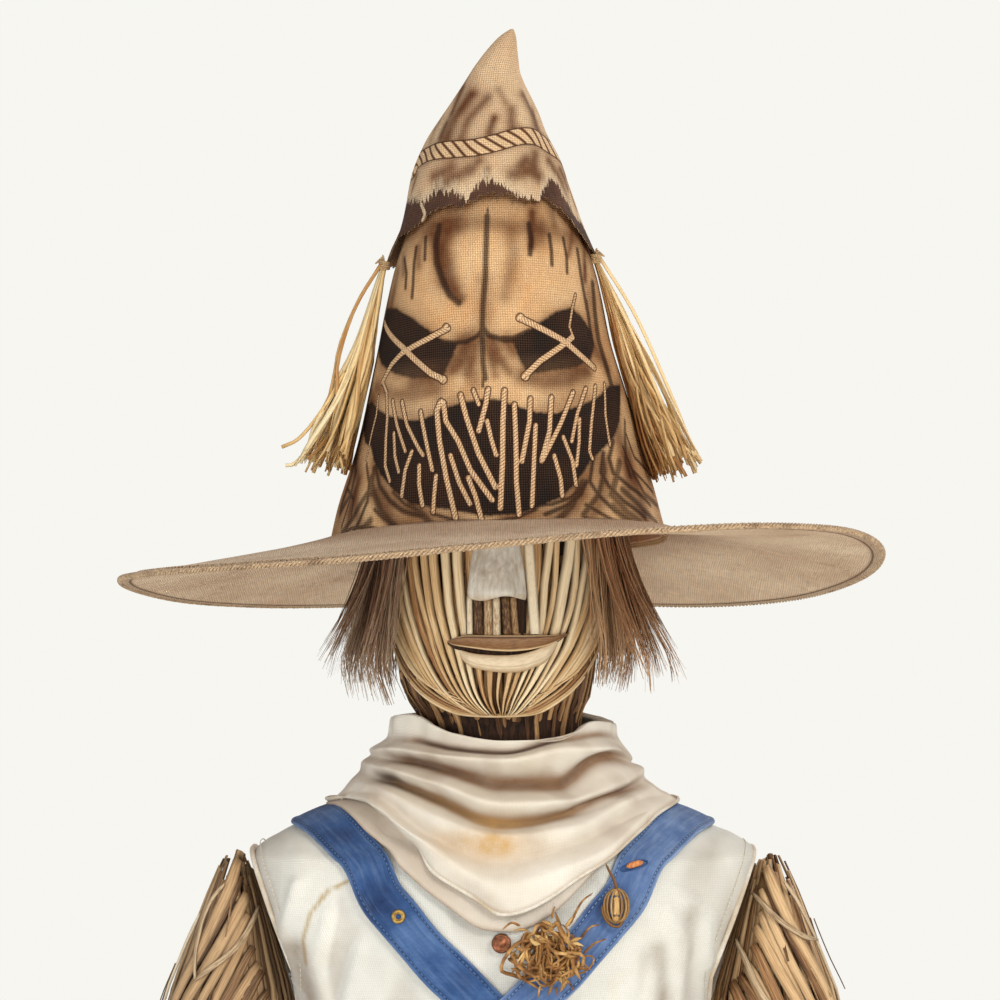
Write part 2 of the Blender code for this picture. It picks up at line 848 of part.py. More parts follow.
NOSE = (
    (0.7000, 0.0168, 0.0190),
    (0.7040, 0.0165, 0.0195),
    (0.7160, 0.0140, 0.0150),
    (0.7280, 0.0115, 0.0095),
    (0.7440, 0.0095, 0.0060),
)
nose_rings = []
for z, wide, deep in NOSE:
    back = on_face(HEAD_X, z, 0.0).y
    mid = HEAD_X - 0.0005
    outline = ((-1.0, 0.0), (-0.85, 0.55), (-0.42, 1.0), (0.42, 1.0), (0.85, 0.55), (1.0, 0.0))
    nose_rings.append([Vector((mid + wide * u, back - deep * w, z)) for u, w in outline])
keep(loft("nose", nose_rings), "grey_reed")


LIP_MIDDLE = 0.002
LIP_HALF = 0.035


def lip(name, half, top, bottom, thick, slot):
    """A crescent that follows the face between two curves of height over X."""
    rings = []
    for i in range(15):
        x = LIP_MIDDLE - half + 2 * half * i / 14
        t = (x - LIP_MIDDLE) / LIP_HALF
        high = top(t)
        low = bottom(t)
        ring = []
        for z, out in ((low, 0.0), (low, thick * 0.6), ((low + high) / 2, thick), (high, thick * 0.6), (high, 0.0)):
            ring.append(on_face(x, z, out))
        rings.append(ring)
    return keep(loft(name, rings), slot)


lip(
    "upper_lip",
    LIP_HALF,
    lambda t: 0.6806,
    lambda t: 0.6782 - 0.0078 * (1 - t * t),
    0.0052,
    "lip_wood",
)
lip(
    "mouth_lining",
    LIP_HALF - 0.0030,
    lambda t: 0.6776 - 0.0078 * (1 - t * t),
    lambda t: 0.6766 - 0.0112 * (1 - t * t),
    0.0016,
    "dark_felt",
)
lip(
    "lower_lip",
    LIP_HALF - 0.0048,
    lambda t: 0.6760 - 0.0112 * (1 - t * t),
    lambda t: 0.6736 - 0.0155 * (1 - t * t),
    0.0062,
    "lip_reed",
)


def hair(name, start, end, columns, levels):
    """A curtain of fibre round part of the head: levels are (height, inner, outer offset)."""
    rings = []
    for index, (z, inner, outer) in enumerate(levels):
        turns = [math.radians(start + (end - start) * i / columns) for i in range(columns + 1)]
        ragged = index == len(levels) - 1
        drops = [(0.009 if ragged and i % 2 else 0.0) for i in range(columns + 1)]
        near = [head_point(t, z, 0.0) for t in turns]
        ring = []
        for p, t, d in zip(near, turns, drops):
            way = Vector((math.cos(t), math.sin(t), 0.0))
            ring.append(p + way * outer - Vector((0, 0, d)))
        for p, t, d in reversed(list(zip(near, turns, drops))):
            way = Vector((math.cos(t), math.sin(t), 0.0))
            ring.append(p + way * inner - Vector((0, 0, d)))
        rings.append(ring)
    return keep(loft(name, rings), "hair_fibre")


SIDE_HAIR = (
    (0.785, 0.0085, 0.0125),
    (0.760, 0.0085, 0.0150),
    (0.735, 0.0085, 0.0180),
    (0.712, 0.0105, 0.0250),
    (0.690, 0.0150, 0.0350),
    (0.672, 0.0230, 0.0450),
    (0.660, 0.0340, 0.0520),
)
BACK_HAIR = (
    (0.785, 0.0085, 0.0125),
    (0.750, 0.0085, 0.0150),
    (0.720, 0.0085, 0.0170),
    (0.690, 0.0110, 0.0220),
    (0.662, 0.0170, 0.0280),
)
hair("hair_left", 132.0, 216.0, 10, SIDE_HAIR)
hair("hair_right", -36.0, 48.0, 10, SIDE_HAIR)
hair("hair_back", 51.0, 129.0, 8, BACK_HAIR)

# ---- hat ------------------------------------------------------------------------------------

HAT_TURN = Matrix.Rotation(-HAT_SIDE_ROLL, 4, "Y") @ Matrix.Rotation(-HAT_BACK_TILT, 4, "X")
HAT_PLACE = Matrix.Translation(HAT_CENTRE) @ HAT_TURN
HAT_SEGMENTS = 24


def hat_ring(height, half_width, bend=0.0, segments=HAT_SEGMENTS):
    ring = []
    for i in range(segments):
        turn = 2 * math.pi * i / segments
        x = bend + half_width * math.cos(turn)
        y = HAT_DEPTH_RATIO * half_width * math.sin(turn)
        ring.append(HAT_PLACE @ Vector((x, y, height)))
    return ring


def crown_half(height):
    return interpolate([(h, w) for h, w, _ in CROWN], height)


slope_share = 1.06
crown_wall = CROWN_THICK * slope_share
crown = keep(
    loft("hat_crown", [hat_ring(h, w - crown_wall, bend) for h, w, bend in CROWN], capped=False),
    "printed_burlap",
)
thicken(crown, CROWN_THICK)
# The crown's small top end is shut by a plug of stuffing under the cap.

cap_wall = CAP_THICK * slope_share
cap_width = [(h, w) for h, w, _ in CAP]
cap_bend = [(h, bend) for h, _, bend in CAP]
cap_top = CAP[-1][0]
cap_rings = []
for level in range(8):
    share = level / 7
    ring = []
    for i in range(HAT_SEGMENTS):
        turn = 2 * math.pi * i / HAT_SEGMENTS
        from_front = math.degrees(turn) + 90.0
        if from_front > 180.0:
            from_front -= 360.0
        edge = interpolate(CAP_EDGE, from_front)
        height = edge + (cap_top - edge) * share
        width = interpolate(cap_width, height) - cap_wall
        width = max(width, 0.0012)
        x = interpolate(cap_bend, height) + width * math.cos(turn)
        y = HAT_DEPTH_RATIO * width * math.sin(turn)
        ring.append(HAT_PLACE @ Vector((x, y, height)))
    cap_rings.append(ring)
cap = keep(loft("hat_cap", cap_rings, capped=False), "printed_burlap")
thicken(cap, CAP_THICK)

BRIM_SEGMENTS = 36
BRIM_HOLE = CROWN[0][1] + 0.0012


def brim_point(turn, share, rise=0.0, reach=0.0):
    """share runs from 0 at the crown to 1 at the edge."""
    hole = Vector((BRIM_HOLE * math.cos(turn), HAT_DEPTH_RATIO * BRIM_HOLE * math.sin(turn), 0))
    edge = Vector(
        (
            (BRIM_HALF_WIDTH + reach) * math.cos(turn),
            (BRIM_HALF_DEPTH + reach) * math.sin(turn),
            0,
        )
    )
    flat = hole.lerp(edge, share)
    wave = 0.0025 * math.sin(2 * turn + 0.6) + 0.0015 * math.sin(3 * turn)
    flat.z = rise - BRIM_DROOP * share ** 1.3 + wave * share
    return HAT_PLACE @ flat


brim_rings = []
for share in (1.0, 0.75, 0.45, 0.2, 0.0):
    ring = [
        brim_point(2 * math.pi * i / BRIM_SEGMENTS, share) for i in range(BRIM_SEGMENTS)
    ]
    brim_rings.append(ring)
keep(thicken(loft("hat_brim", brim_rings, capped=False), BRIM_THICK), "plain_burlap")

binding = bpy.data.curves.new("brim_binding", "CURVE")
binding.dimensions = "3D"
binding.bevel_depth = BINDING_RADIUS
binding.bevel_resolution = 1
spline = binding.splines.new("POLY")
spline.points.add(BRIM_SEGMENTS - 1)
for i, point in enumerate(spline.points):
    turn = 2 * math.pi * i / BRIM_SEGMENTS
    at = brim_point(turn, 1.0, BRIM_THICK / 2, BINDING_RADIUS + 0.0008)
    point.co = (at.x, at.y, at.z, 1.0)
spline.use_cyclic_u = True
keep(bpy.data.objects.new("brim_binding", binding), "braid")

band_rings = []
for height in (-0.002, 0.013, 0.028):
    inside = crown_half(max(height, 0.0)) - crown_wall - GAP - 0.0016
    band_rings.append(hat_ring(height, inside - 0.0003))
keep(thicken(loft("sweatband", band_rings, capped=False), 0.0012), "sweatband_cotton")

pad_loops = []
for height, inset in ((0.070, 0.0), (0.096, 0.0)):
    pad_loops.append(hat_ring(height, crown_half(height) - crown_wall - 0.0016))
for height in (0.096, 0.070):
    ring = []
    for i in range(HAT_SEGMENTS):
        turn = 2 * math.pi * i / HAT_SEGMENTS
        x = HEAD_X + 0.0600 * math.cos(turn)
        y = 0.006 + 0.0670 * math.sin(turn)
        ring.append(Vector((x, y, HAT_CENTRE.z + height)))
    pad_loops.append(ring)
keep(tube_of_loops("hat_padding", pad_loops), "straw")


def raffia(label, sign, rows):
    """A tuft that hangs outside the crown: rows are (height, inner gap, half thick, half wide)."""
    rings = []
    for height, clear, thick, wide in rows:
        out = crown_half(height) + clear + thick
        ring = []
        for i in range(16):
            turn = 2 * math.pi * i / 16
            grow = 1.0 + (0.07 if i % 2 else -0.07)
            local = Vector((sign * out + thick * grow * math.cos(turn), -0.010 + wide * grow * math.sin(turn), height))
            ring.append(HAT_PLACE @ local)
        rings.append(ring)
    return keep(loft("raffia_tuft_" + label, rings), "raffia")


LEFT_TUFT = (
    (0.162, 0.0042, 0.0030, 0.0060),
    (0.140, 0.0032, 0.0045, 0.0095),
    (0.110, 0.0030, 0.0070, 0.0140),
    (0.080, 0.0028, 0.0105, 0.0190),
    (0.050, 0.0024, 0.0150, 0.0250),
    (0.036, 0.0022, 0.0165, 0.0270),
)
RIGHT_TUFT = (
    (0.162, 0.0042, 0.0030, 0.0060),
    (0.140, 0.0032, 0.0060, 0.0100),
    (0.110, 0.0030, 0.0095, 0.0150),
    (0.080, 0.0028, 0.0120, 0.0200),
    (0.050, 0.0024, 0.0155, 0.0260),
    (0.032, 0.0022, 0.0165, 0.0280),
)
raffia("left", -1, LEFT_TUFT)
raffia("right", 1, RIGHT_TUFT)
for label, sign in (("left", -1), ("right", 1)):
    knot_at = HAT_PLACE @ Vector((sign * (crown_half(0.162) + 0.0072 + 0.001), -0.010, 0.1668))
    data = bpy.data.meshes.new("raffia_knot_" + label)
    work = bmesh.new()
    bmesh.ops.create_icosphere(work, subdivisions=2, radius=0.0040)
    bmesh.ops.translate(work, vec=knot_at, verts=work.verts)
    work.to_mesh(data)
    work.free()
    keep(bpy.data.objects.new("raffia_knot_" + label, data), "twine")

# ---- arms -----------------------------------------------------------------------------------

for label, sign in (("left", -1), ("right", 1)):
    pin = rod(
        "shoulder_pin_" + label, shoulder(sign, -PIN_INNER), shoulder(sign, PIN_OUTER), PIN_RADIUS, 16
    )
    # The pin's flat head: a second, wider drum joined on by a union.
    drum = cutter(
        rod(
            "pin_head_" + label,
            shoulder(sign, PIN_OUTER - 0.0005),
            shoulder(sign, PIN_OUTER + PIN_HEAD_THICK),
            PIN_HEAD_RADIUS,
            16,
        )
    )
    keep(pin, "zinc_steel")
    join = pin.modifiers.new("Head", "BOOLEAN")
    join.operation = "UNION"
    join.solver = "EXACT"
    join.object = drum
    pin_hole = cutter(
        rod(
            "pin_hole_" + label,
            shoulder(sign, -PIN_INNER - GAP),
            shoulder(sign, PIN_OUTER),
            PIN_RADIUS + GAP,
            16,
        )
    )
    cut(yoke, pin_hole)

    bar_foot = Vector((sign * 0.1785, 0, 0.266))
    bar_head = Vector((sign * 0.1600, 0, 0.530))
    lean = (bar_head - bar_foot).to_track_quat("Z", "Y").to_matrix().to_4x4()
    length = (bar_head - bar_foot).length
    centre = (bar_head + bar_foot) / 2
    bar = box("arm_bar_" + label, (-0.009, -0.009, -length / 2), (0.009, 0.009, length / 2))
    bar.data.transform(Matrix.Translation(centre) @ lean)
    room_half = 0.009 + GAP
    room = box(
        "bar_room_" + label,
        (-room_half, -room_half, -length / 2 - 0.02),
        (room_half, room_half, length / 2 + GAP),
    )
    room.data.transform(Matrix.Translation(centre) @ lean)
    cutter(room)
    keep(bar, "aged_pine")
    cut(bar, pin_hole)
    head_room = cutter(
        rod(
            "pin_head_room_" + label,
            shoulder(sign, -0.02),
            shoulder(sign, PIN_OUTER + PIN_HEAD_THICK + GAP),
            PIN_HEAD_RADIUS + GAP,
            16,
        )
    )
    cut(bar, cutter(
        rod(
            "pin_head_seat_" + label,
            shoulder(sign, PIN_OUTER - 0.0005 - GAP),
            shoulder(sign, 0.06),
            PIN_HEAD_RADIUS + GAP,
            16,
        )
    ))

    straw = keep(
        loft(
            "arm_straw_" + label,
            [oval(z, a, b, 2.2, 20, sign * x, 0.0, 0.035) for z, x, a, b in reversed(ARM)],
        ),
        "arm_straw",
    )
    cut(straw, room)
    cut(straw, head_room)
    keep(
        loft(
            "hand_straw_" + label,
            [oval(z, a, b, 2.0, 20, sign * x, 0.0, 0.05) for z, x, a, b in reversed(HAND)],
        ),
        "arm_straw",
    )
    tie_loops = []
    for z, r in ((0.2560, 0.0232), (0.2560, 0.0262), (0.2680, 0.0262), (0.2680, 0.0246)):
        tie_loops.append(oval(z, r, r, 2.0, 24, sign * 0.1800))
    keep(tube_of_loops("wrist_tie_" + label, tie_loops), "twine")

# ---- pivots: an empty on each joint axis carries the pieces that move with it -----------------

hat_axis = HAT_TURN @ Vector((0, 0, 1))
HAT_NODES = (
    "hat_crown",
    "hat_cap",
    "hat_brim",
    "brim_binding",
    "sweatband",
    "hat_padding",
    "raffia_tuft_left",
    "raffia_tuft_right",
    "raffia_knot_left",
    "raffia_knot_right",
)
HEAD_NODES = (
    "neck_bundle",
    "head_core",
    "face_slats",
    "nose",
    "upper_lip",
    "mouth_lining",
    "lower_lip",
    "hair_left",
    "hair_right",
    "hair_back",
)
ARM_NODES = ("arm_bar_", "arm_straw_", "hand_straw_", "wrist_tie_")
PIVOTS = (
    ("pivot_head", Vector((0, 0, NECK_LOW)), HEAD_NODES),
    ("pivot_hat", HAT_CENTRE, HAT_NODES),
    ("pivot_arm_left", shoulder(-1, 0.0), tuple(n + "left" for n in ARM_NODES)),
    ("pivot_arm_right", shoulder(1, 0.0), tuple(n + "right" for n in ARM_NODES)),
)
for name, at, members in PIVOTS:
    pivot = bpy.data.objects.new(name, None)
    pivot.location = at
    pivot.empty_display_size = 0.03
    figure.objects.link(pivot)
    for member in members:
        piece = bpy.data.objects[member]
        piece.parent = pivot
        piece.matrix_parent_inverse = Matrix.Translation(at).inverted()
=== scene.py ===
import math

import bpy
import numpy as np
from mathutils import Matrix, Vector
from mathutils.bvhtree import BVHTree


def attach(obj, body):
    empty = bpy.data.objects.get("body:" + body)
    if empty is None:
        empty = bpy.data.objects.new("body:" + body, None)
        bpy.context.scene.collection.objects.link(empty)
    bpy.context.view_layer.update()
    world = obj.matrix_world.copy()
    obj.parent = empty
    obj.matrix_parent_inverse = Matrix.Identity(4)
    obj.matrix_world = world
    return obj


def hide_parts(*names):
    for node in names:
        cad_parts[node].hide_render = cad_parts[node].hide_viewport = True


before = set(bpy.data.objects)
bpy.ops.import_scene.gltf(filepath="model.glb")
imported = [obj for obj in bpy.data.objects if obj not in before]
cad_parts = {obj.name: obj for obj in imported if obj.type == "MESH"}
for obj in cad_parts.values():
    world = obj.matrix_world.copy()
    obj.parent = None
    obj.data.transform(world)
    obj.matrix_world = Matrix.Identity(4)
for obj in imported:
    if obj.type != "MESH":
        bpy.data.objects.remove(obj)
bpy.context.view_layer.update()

TAU = 2 * math.pi

# ---- the object's own dimensions, in metres ---------------------------------------------------

HAT_CENTRE = np.array([-0.0015, 0.0, 0.7385])
HAT_BACK_TILT = math.radians(5.0)
HAT_SIDE_ROLL = math.radians(1.8)
HAT_DEPTH = 1.12
# Height above the brim, half width, sideways bend.
CROWN = np.array(
    [
        (-0.004, 0.1015, 0.0), (0.0, 0.1005, 0.0), (0.022, 0.0954, 0.0), (0.052, 0.0864, 0.0),
        (0.083, 0.0783, 0.0), (0.115, 0.0702, 0.0), (0.142, 0.0650, 0.0), (0.160, 0.0608, 0.0),
        (0.192, 0.0498, 0.0), (0.222, 0.0420, 0.0),
    ]
)
CAP = np.array(
    [
        (0.160, 0.0646, 0.0), (0.172, 0.0610, 0.0), (0.192, 0.0538, 0.0), (0.222, 0.0456, 0.0),
        (0.239, 0.0380, 0.0), (0.256, 0.0296, 0.0018), (0.2805, 0.0160, 0.0048),
        (0.2907, 0.0118, 0.0080), (0.3000, 0.0075, 0.0118), (0.3050, 0.0046, 0.0142),
        (0.3087, 0.0012, 0.0165),
    ]
)
# Degrees from the front, height of the cap's torn lower edge.
CAP_EDGE = np.array(
    [
        (-180, 0.176), (-150, 0.184), (-125, 0.172), (-90, 0.1655), (-70, 0.180), (-56, 0.182),
        (-45, 0.1875), (-38, 0.1925), (-27, 0.1935), (-16, 0.1925), (-8, 0.1972), (0, 0.199),
        (12, 0.1985), (25, 0.195), (33, 0.1955), (39, 0.198), (48, 0.193), (59, 0.1845),
        (72, 0.1715), (80, 0.1690), (90, 0.1635), (106, 0.172), (125, 0.178), (150, 0.186),
        (180, 0.176),
    ]
)
BRIM_HALF_WIDTH = 0.2262
BRIM_HALF_DEPTH = 0.2240
BRIM_THICK = 0.0028
BRIM_DROOP = 0.022
BRIM_HOLE = 0.1017

BODY = np.array(
    [
        (0.2120, 0.0925, 0.0785), (0.270, 0.095, 0.080), (0.340, 0.097, 0.078), (0.400, 0.104, 0.083),
        (0.440, 0.112, 0.087), (0.470, 0.122, 0.089), (0.500, 0.137, 0.088), (0.525, 0.147, 0.083),
        (0.547, 0.149, 0.074), (0.554, 0.142, 0.066), (0.5625, 0.125, 0.058), (0.573, 0.100, 0.053),
        (0.580, 0.075, 0.050), (0.584, 0.058, 0.046),
    ]
)
BODY_POWER = 2.6
SKIN = 0.0033
SHOULDER_X = 0.1356
SHOULDER_Z = 0.515
ARMHOLE_LEAN = math.radians(20.9)
ARMHOLE_RADIUS = 0.058

HEAD_X = -0.004
HEAD_POWER = 2.2
HEAD = np.array(
    [
        (0.6335, 0.030, 0.036, -0.014), (0.638, 0.040, 0.048, -0.010), (0.648, 0.046, 0.058, -0.006),
        (0.662, 0.052, 0.064, -0.003), (0.680, 0.056, 0.068, -0.001), (0.705, 0.059, 0.070, 0.000),
        (0.740, 0.0605, 0.070, 0.001), (0.780, 0.0600, 0.068, 0.004), (0.820, 0.0560, 0.062, 0.008),
        (0.845, 0.050, 0.055, 0.010), (0.862, 0.040, 0.045, 0.011), (0.872, 0.022, 0.028, 0.012),
        (0.875, 0.010, 0.014, 0.012),
    ]
)
ARM = np.array(
    [
        (0.262, 0.1800, 0.0215, 0.0215), (0.290, 0.178, 0.026, 0.026), (0.330, 0.1745, 0.034, 0.034),
        (0.380, 0.170, 0.041, 0.041), (0.420, 0.1668, 0.043, 0.043), (0.461, 0.1628, 0.0400, 0.041),
        (0.490, 0.1621, 0.0308, 0.038), (0.510, 0.1615, 0.024, 0.036), (0.530, 0.161, 0.0165, 0.031),
        (0.545, 0.1605, 0.010, 0.021), (0.552, 0.160, 0.005, 0.010),
    ]
)
HAND = np.array(
    [
        (0.150, 0.185, 0.040, 0.035), (0.165, 0.185, 0.044, 0.039), (0.200, 0.183, 0.035, 0.032),
        (0.235, 0.181, 0.0245, 0.0235), (0.2612, 0.180, 0.0205, 0.0205), (0.275, 0.1795, 0.0215, 0.0215),
    ]
)


# ---- shape helpers ----------------------------------------------------------------------------


def turn_x(a):
    return np.array([[1, 0, 0], [0, math.cos(a), -math.sin(a)], [0, math.sin(a), math.cos(a)]])


def turn_y(a):
    return np.array([[math.cos(a), 0, math.sin(a)], [0, 1, 0], [-math.sin(a), 0, math.cos(a)]])


HAT_TURN = turn_y(-HAT_SIDE_ROLL) @ turn_x(-HAT_BACK_TILT)


def on_hat(points):
    return np.asarray(points, float) @ HAT_TURN.T + HAT_CENTRE


def smooth_table(table, at):
    """Monotone cubic reading of every column of a table against its first."""
    table = np.asarray(table, float)
    x = table[:, 0]
    y = table[:, 1:]
    h = np.diff(x)[:, None]
    d = np.diff(y, axis=0) / h
    m = np.zeros_like(y)
    same = d[:-1] * d[1:] > 0
    total = d[:-1] + d[1:]
    inner = np.where(same, 2 * d[:-1] * d[1:] / np.where(total == 0, 1, total), 0.0)
    m[1:-1] = inner
    m[0] = d[0]
    m[-1] = d[-1]
    at = np.clip(np.asarray(at, float), x[0], x[-1])
    i = np.clip(np.searchsorted(x, at) - 1, 0, len(x) - 2)
    t = ((at - x[i]) / (x[i + 1] - x[i]))[..., None]
    step = h[i]
    a = (1 + 2 * t) * (1 - t) ** 2 * y[i]
    b = t * (1 - t) ** 2 * step * m[i]
    c = t * t * (3 - 2 * t) * y[i + 1]
    e = t * t * (t - 1) * step * m[i + 1]
    return a + b + c + e


def signed_power(value, power):
    return np.sign(value) * np.abs(value) ** power


def ripple(seed, *axes, waves=6, low=0.5, high=2.0):
    """Smooth seeded noise of about unit size over any number of coordinates."""
    rng = np.random.default_rng(seed)
    total = 0.0
    for _ in range(waves):
        phase = rng.uniform(0, TAU)
        for axis in axes:
            phase = phase + axis * rng.uniform(low, high) * rng.choice((-1, 1))
        total = total + np.sin(phase)
    return total / math.sqrt(waves / 2) * 0.7


def build(name, points, faces, look, body, smooth=True, floats=None, vectors=None, replaces=()):
    """A mesh piece from arrays, on its body, standing for the named CAD nodes."""
    points = np.ascontiguousarray(np.asarray(points, np.float64).reshape(-1, 3))
    faces = np.asarray(faces, np.int64)
    count = faces.shape[1]
    a, b, c = (points[faces[:, k]] for k in (0, 1, 2))
    volume = float(np.einsum("ij,ij->i", a, np.cross(b, c)).sum())
    if count == 4:
        d = points[faces[:, 3]]
        volume += float(np.einsum("ij,ij->i", a, np.cross(c, d)).sum())
    if volume < 0:
        faces = faces[:, ::-1]
    mesh = bpy.data.meshes.new(name)
    mesh.vertices.add(len(points))
    mesh.vertices.foreach_set("co", points.astype(np.float32).ravel())
    mesh.loops.add(faces.size)
    mesh.loops.foreach_set("vertex_index", faces.astype(np.int32).ravel())
    mesh.polygons.add(len(faces))
    mesh.polygons.foreach_set("loop_start", np.arange(0, faces.size, count, dtype=np.int32))
    mesh.update(calc_edges=True)
    mesh.validate()
    mesh.polygons.foreach_set("use_smooth", np.full(len(mesh.polygons), smooth))
    for key, values in (floats or {}).items():
        layer = mesh.attributes.new(key, "FLOAT", "POINT")
        layer.data.foreach_set("value", np.asarray(values, np.float32).ravel())
    for key, values in (vectors or {}).items():
        layer = mesh.attributes.new(key, "FLOAT_VECTOR", "POINT")
        layer.data.foreach_set("vector", np.asarray(values, np.float32).ravel())
    obj = bpy.data.objects.new(name, mesh)
    bpy.context.scene.collection.objects.link(obj)
    mesh.materials.append(look)
    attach(obj, body)
    if replaces:
        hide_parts(*replaces)
    return obj


def grid_faces(rows, columns, around=False, closed=False):
    """Quads of a grid of rows by columns: around joins the last column to the first, closed the last row."""
    r = np.arange(rows if closed else rows - 1)
    c = np.arange(columns if around else columns - 1)
    r, c = np.meshgrid(r, c, indexing="ij")
    up = (r + 1) % rows
    on = (c + 1) % columns
    return np.stack([r * columns + c, r * columns + on, up * columns + on, up * columns + c], -1).reshape(
        -1, 4
    )


def unit(v):
    return v / np.maximum(np.linalg.norm(v, axis=-1, keepdims=True), 1e-12)


FLAT = ((-1, -0.5), (1, -0.5), (1, 0.5), (-1, 0.5))
CROWNED = ((-1, -0.4), (0, -0.5), (1, -0.4), (0.92, 0.25), (0, 0.6), (-0.92, 0.25))
ROUND = tuple((math.cos(TAU * k / 6), math.sin(TAU * k / 6)) for k in range(6))
REED = (
    (-1, -0.5), (1, -0.5), (1.0, 0.1), (0.72, 0.62), (0.3, 0.86), (-0.3, 0.86), (-0.72, 0.62), (-1.0, 0.1),
)


def strips(paths, half, thick, out, section):
    """Skins many ribbons at once. paths is strips x points x 3; half and thick are sizes along each."""
    paths = np.asarray(paths, float)
    s, k, _ = paths.shape
    half = np.broadcast_to(half, (s, k))
    thick = np.broadcast_to(thick, (s, k))
    along = unit(np.gradient(paths, axis=1))
    side = unit(np.cross(along, out))
    up = unit(np.cross(side, along))
    sec = np.asarray(section, float)
    m = len(sec)
    points = (
        paths[:, :, None, :]
        + side[:, :, None, :] * (half[:, :, None] * sec[None, None, :, 0])[..., None]
        + up[:, :, None, :] * (thick[:, :, None] * sec[None, None, :, 1])[..., None]
    )
    one = grid_faces(k, m, around=True)
    caps = []
    for row in (0, k - 1):
        for j in range(m // 2 - 1):
            quad = [j, j + 1, m - 2 - j, m - 1 - j]
            if row == 0:
                quad = quad[::-1]
            caps.append([row * m + q for q in quad])
    one = np.concatenate([one, np.array(caps, np.int64)])
    faces = (one[None] + (np.arange(s) * k * m)[:, None, None]).reshape(-1, 4)
    tint = np.random.default_rng(s * 7 + k).random(s)
    run = np.linspace(0, 1, k)
    floats = {
        "tint": np.repeat(tint, k * m),
        "along": np.broadcast_to(run[None, :, None], (s, k, m)),
        "across": np.broadcast_to(sec[None, None, :, 0], (s, k, m)),
    }
    return points.reshape(-1, 3), faces, floats


def joined(*parts):
    """Several (points, faces, floats) as one."""
    points = []
    faces = []
    floats = {}
    base = 0
    for p, f, more in parts:
        p = np.asarray(p, float).reshape(-1, 3)
        points.append(p)
        faces.append(np.asarray(f) + base)
        base += len(p)
        for key in more:
            floats.setdefault(key, []).append(np.asarray(more[key], float).ravel())
    return np.concatenate(points), np.concatenate(faces), {k: np.concatenate(v) for k, v in floats.items()}


def tube(path, radius, sides=8, closed=False):
    """A round tube along a path, as (points, faces, floats)."""
    path = np.asarray(path, float)
    n = len(path)
    if closed:
        along = unit(np.roll(path, -1, 0) - np.roll(path, 1, 0))
    else:
        along = unit(np.gradient(path, axis=0))
    guide = np.array([0.21, 0.35, 0.91])
    normal = unit(np.cross(along[0], guide))
    normals = []
    for t in along:
        normal = unit(normal - t * (normal @ t))
        normals.append(normal)
    normals = np.array(normals)
    binormals = np.cross(along, normals)
    if closed:
        # The frame's twist over one lap is spread along it, so that the ends meet.
        last = unit(normals[-1] - along[0] * (normals[-1] @ along[0]))
        twist = math.atan2(last @ binormals[0], last @ normals[0])
        turn = (-twist * np.arange(n) / n)[:, None]
        normals, binormals = (
            normals * np.cos(turn) + binormals * np.sin(turn),
            binormals * np.cos(turn) - normals * np.sin(turn),
        )
    t = TAU * np.arange(sides) / sides
    radius = np.broadcast_to(radius, (n,))
    ring = np.cos(t)[None, :, None] * normals[:, None, :] + np.sin(t)[None, :, None] * binormals[:, None, :]
    points = path[:, None, :] + radius[:, None, None] * ring
    faces = grid_faces(n, sides, around=True, closed=closed)
    if not closed:
        points[0] = path[0] + (points[0] - path[0]) * 0.15
        points[-1] = path[-1] + (points[-1] - path[-1]) * 0.15
    length = np.concatenate([[0], np.cumsum(np.linalg.norm(np.diff(path, axis=0), axis=1))])
    floats = {"along": np.repeat(length, sides), "tint": np.zeros(n * sides), "across": np.tile(np.sin(t), n)}
    return points.reshape(-1, 3), faces, floats


def smooth_path(knots, count):
    """A Catmull-Rom curve through the knots, evenly sampled."""
    k = np.asarray(knots, float)
    k = np.concatenate([[2 * k[0] - k[1]], k, [2 * k[-1] - k[-2]]])
    fine = []
    for i in range(1, len(k) - 2):
        t = np.linspace(0, 1, 16, endpoint=False)[:, None]
        p0, p1, p2, p3 = k[i - 1], k[i], k[i + 1], k[i + 2]
        fine.append(
            0.5 * (
                2 * p1 + (p2 - p0) * t + (2 * p0 - 5 * p1 + 4 * p2 - p3) * t**2
                + (3 * p1 - p0 - 3 * p2 + p3) * t**3
            )
        )
    fine.append(k[-2][None])
    fine = np.concatenate(fine)
    length = np.concatenate([[0], np.cumsum(np.linalg.norm(np.diff(fine, axis=0), axis=1))])
    at = np.linspace(0, length[-1], count)
    return np.stack([np.interp(at, length, fine[:, j]) for j in range(fine.shape[1])], -1)


# ---- materials --------------------------------------------------------------------------------


def rgb(red, green, blue):
    """A display colour of 0 to 255 as the linear colour that a shader takes."""
    out = []
    for value in (red, green, blue):
        v = value / 255
        out.append(v / 12.92 if v <= 0.04045 else ((v + 0.055) / 1.055) ** 2.4)
    return (*out, 1.0)


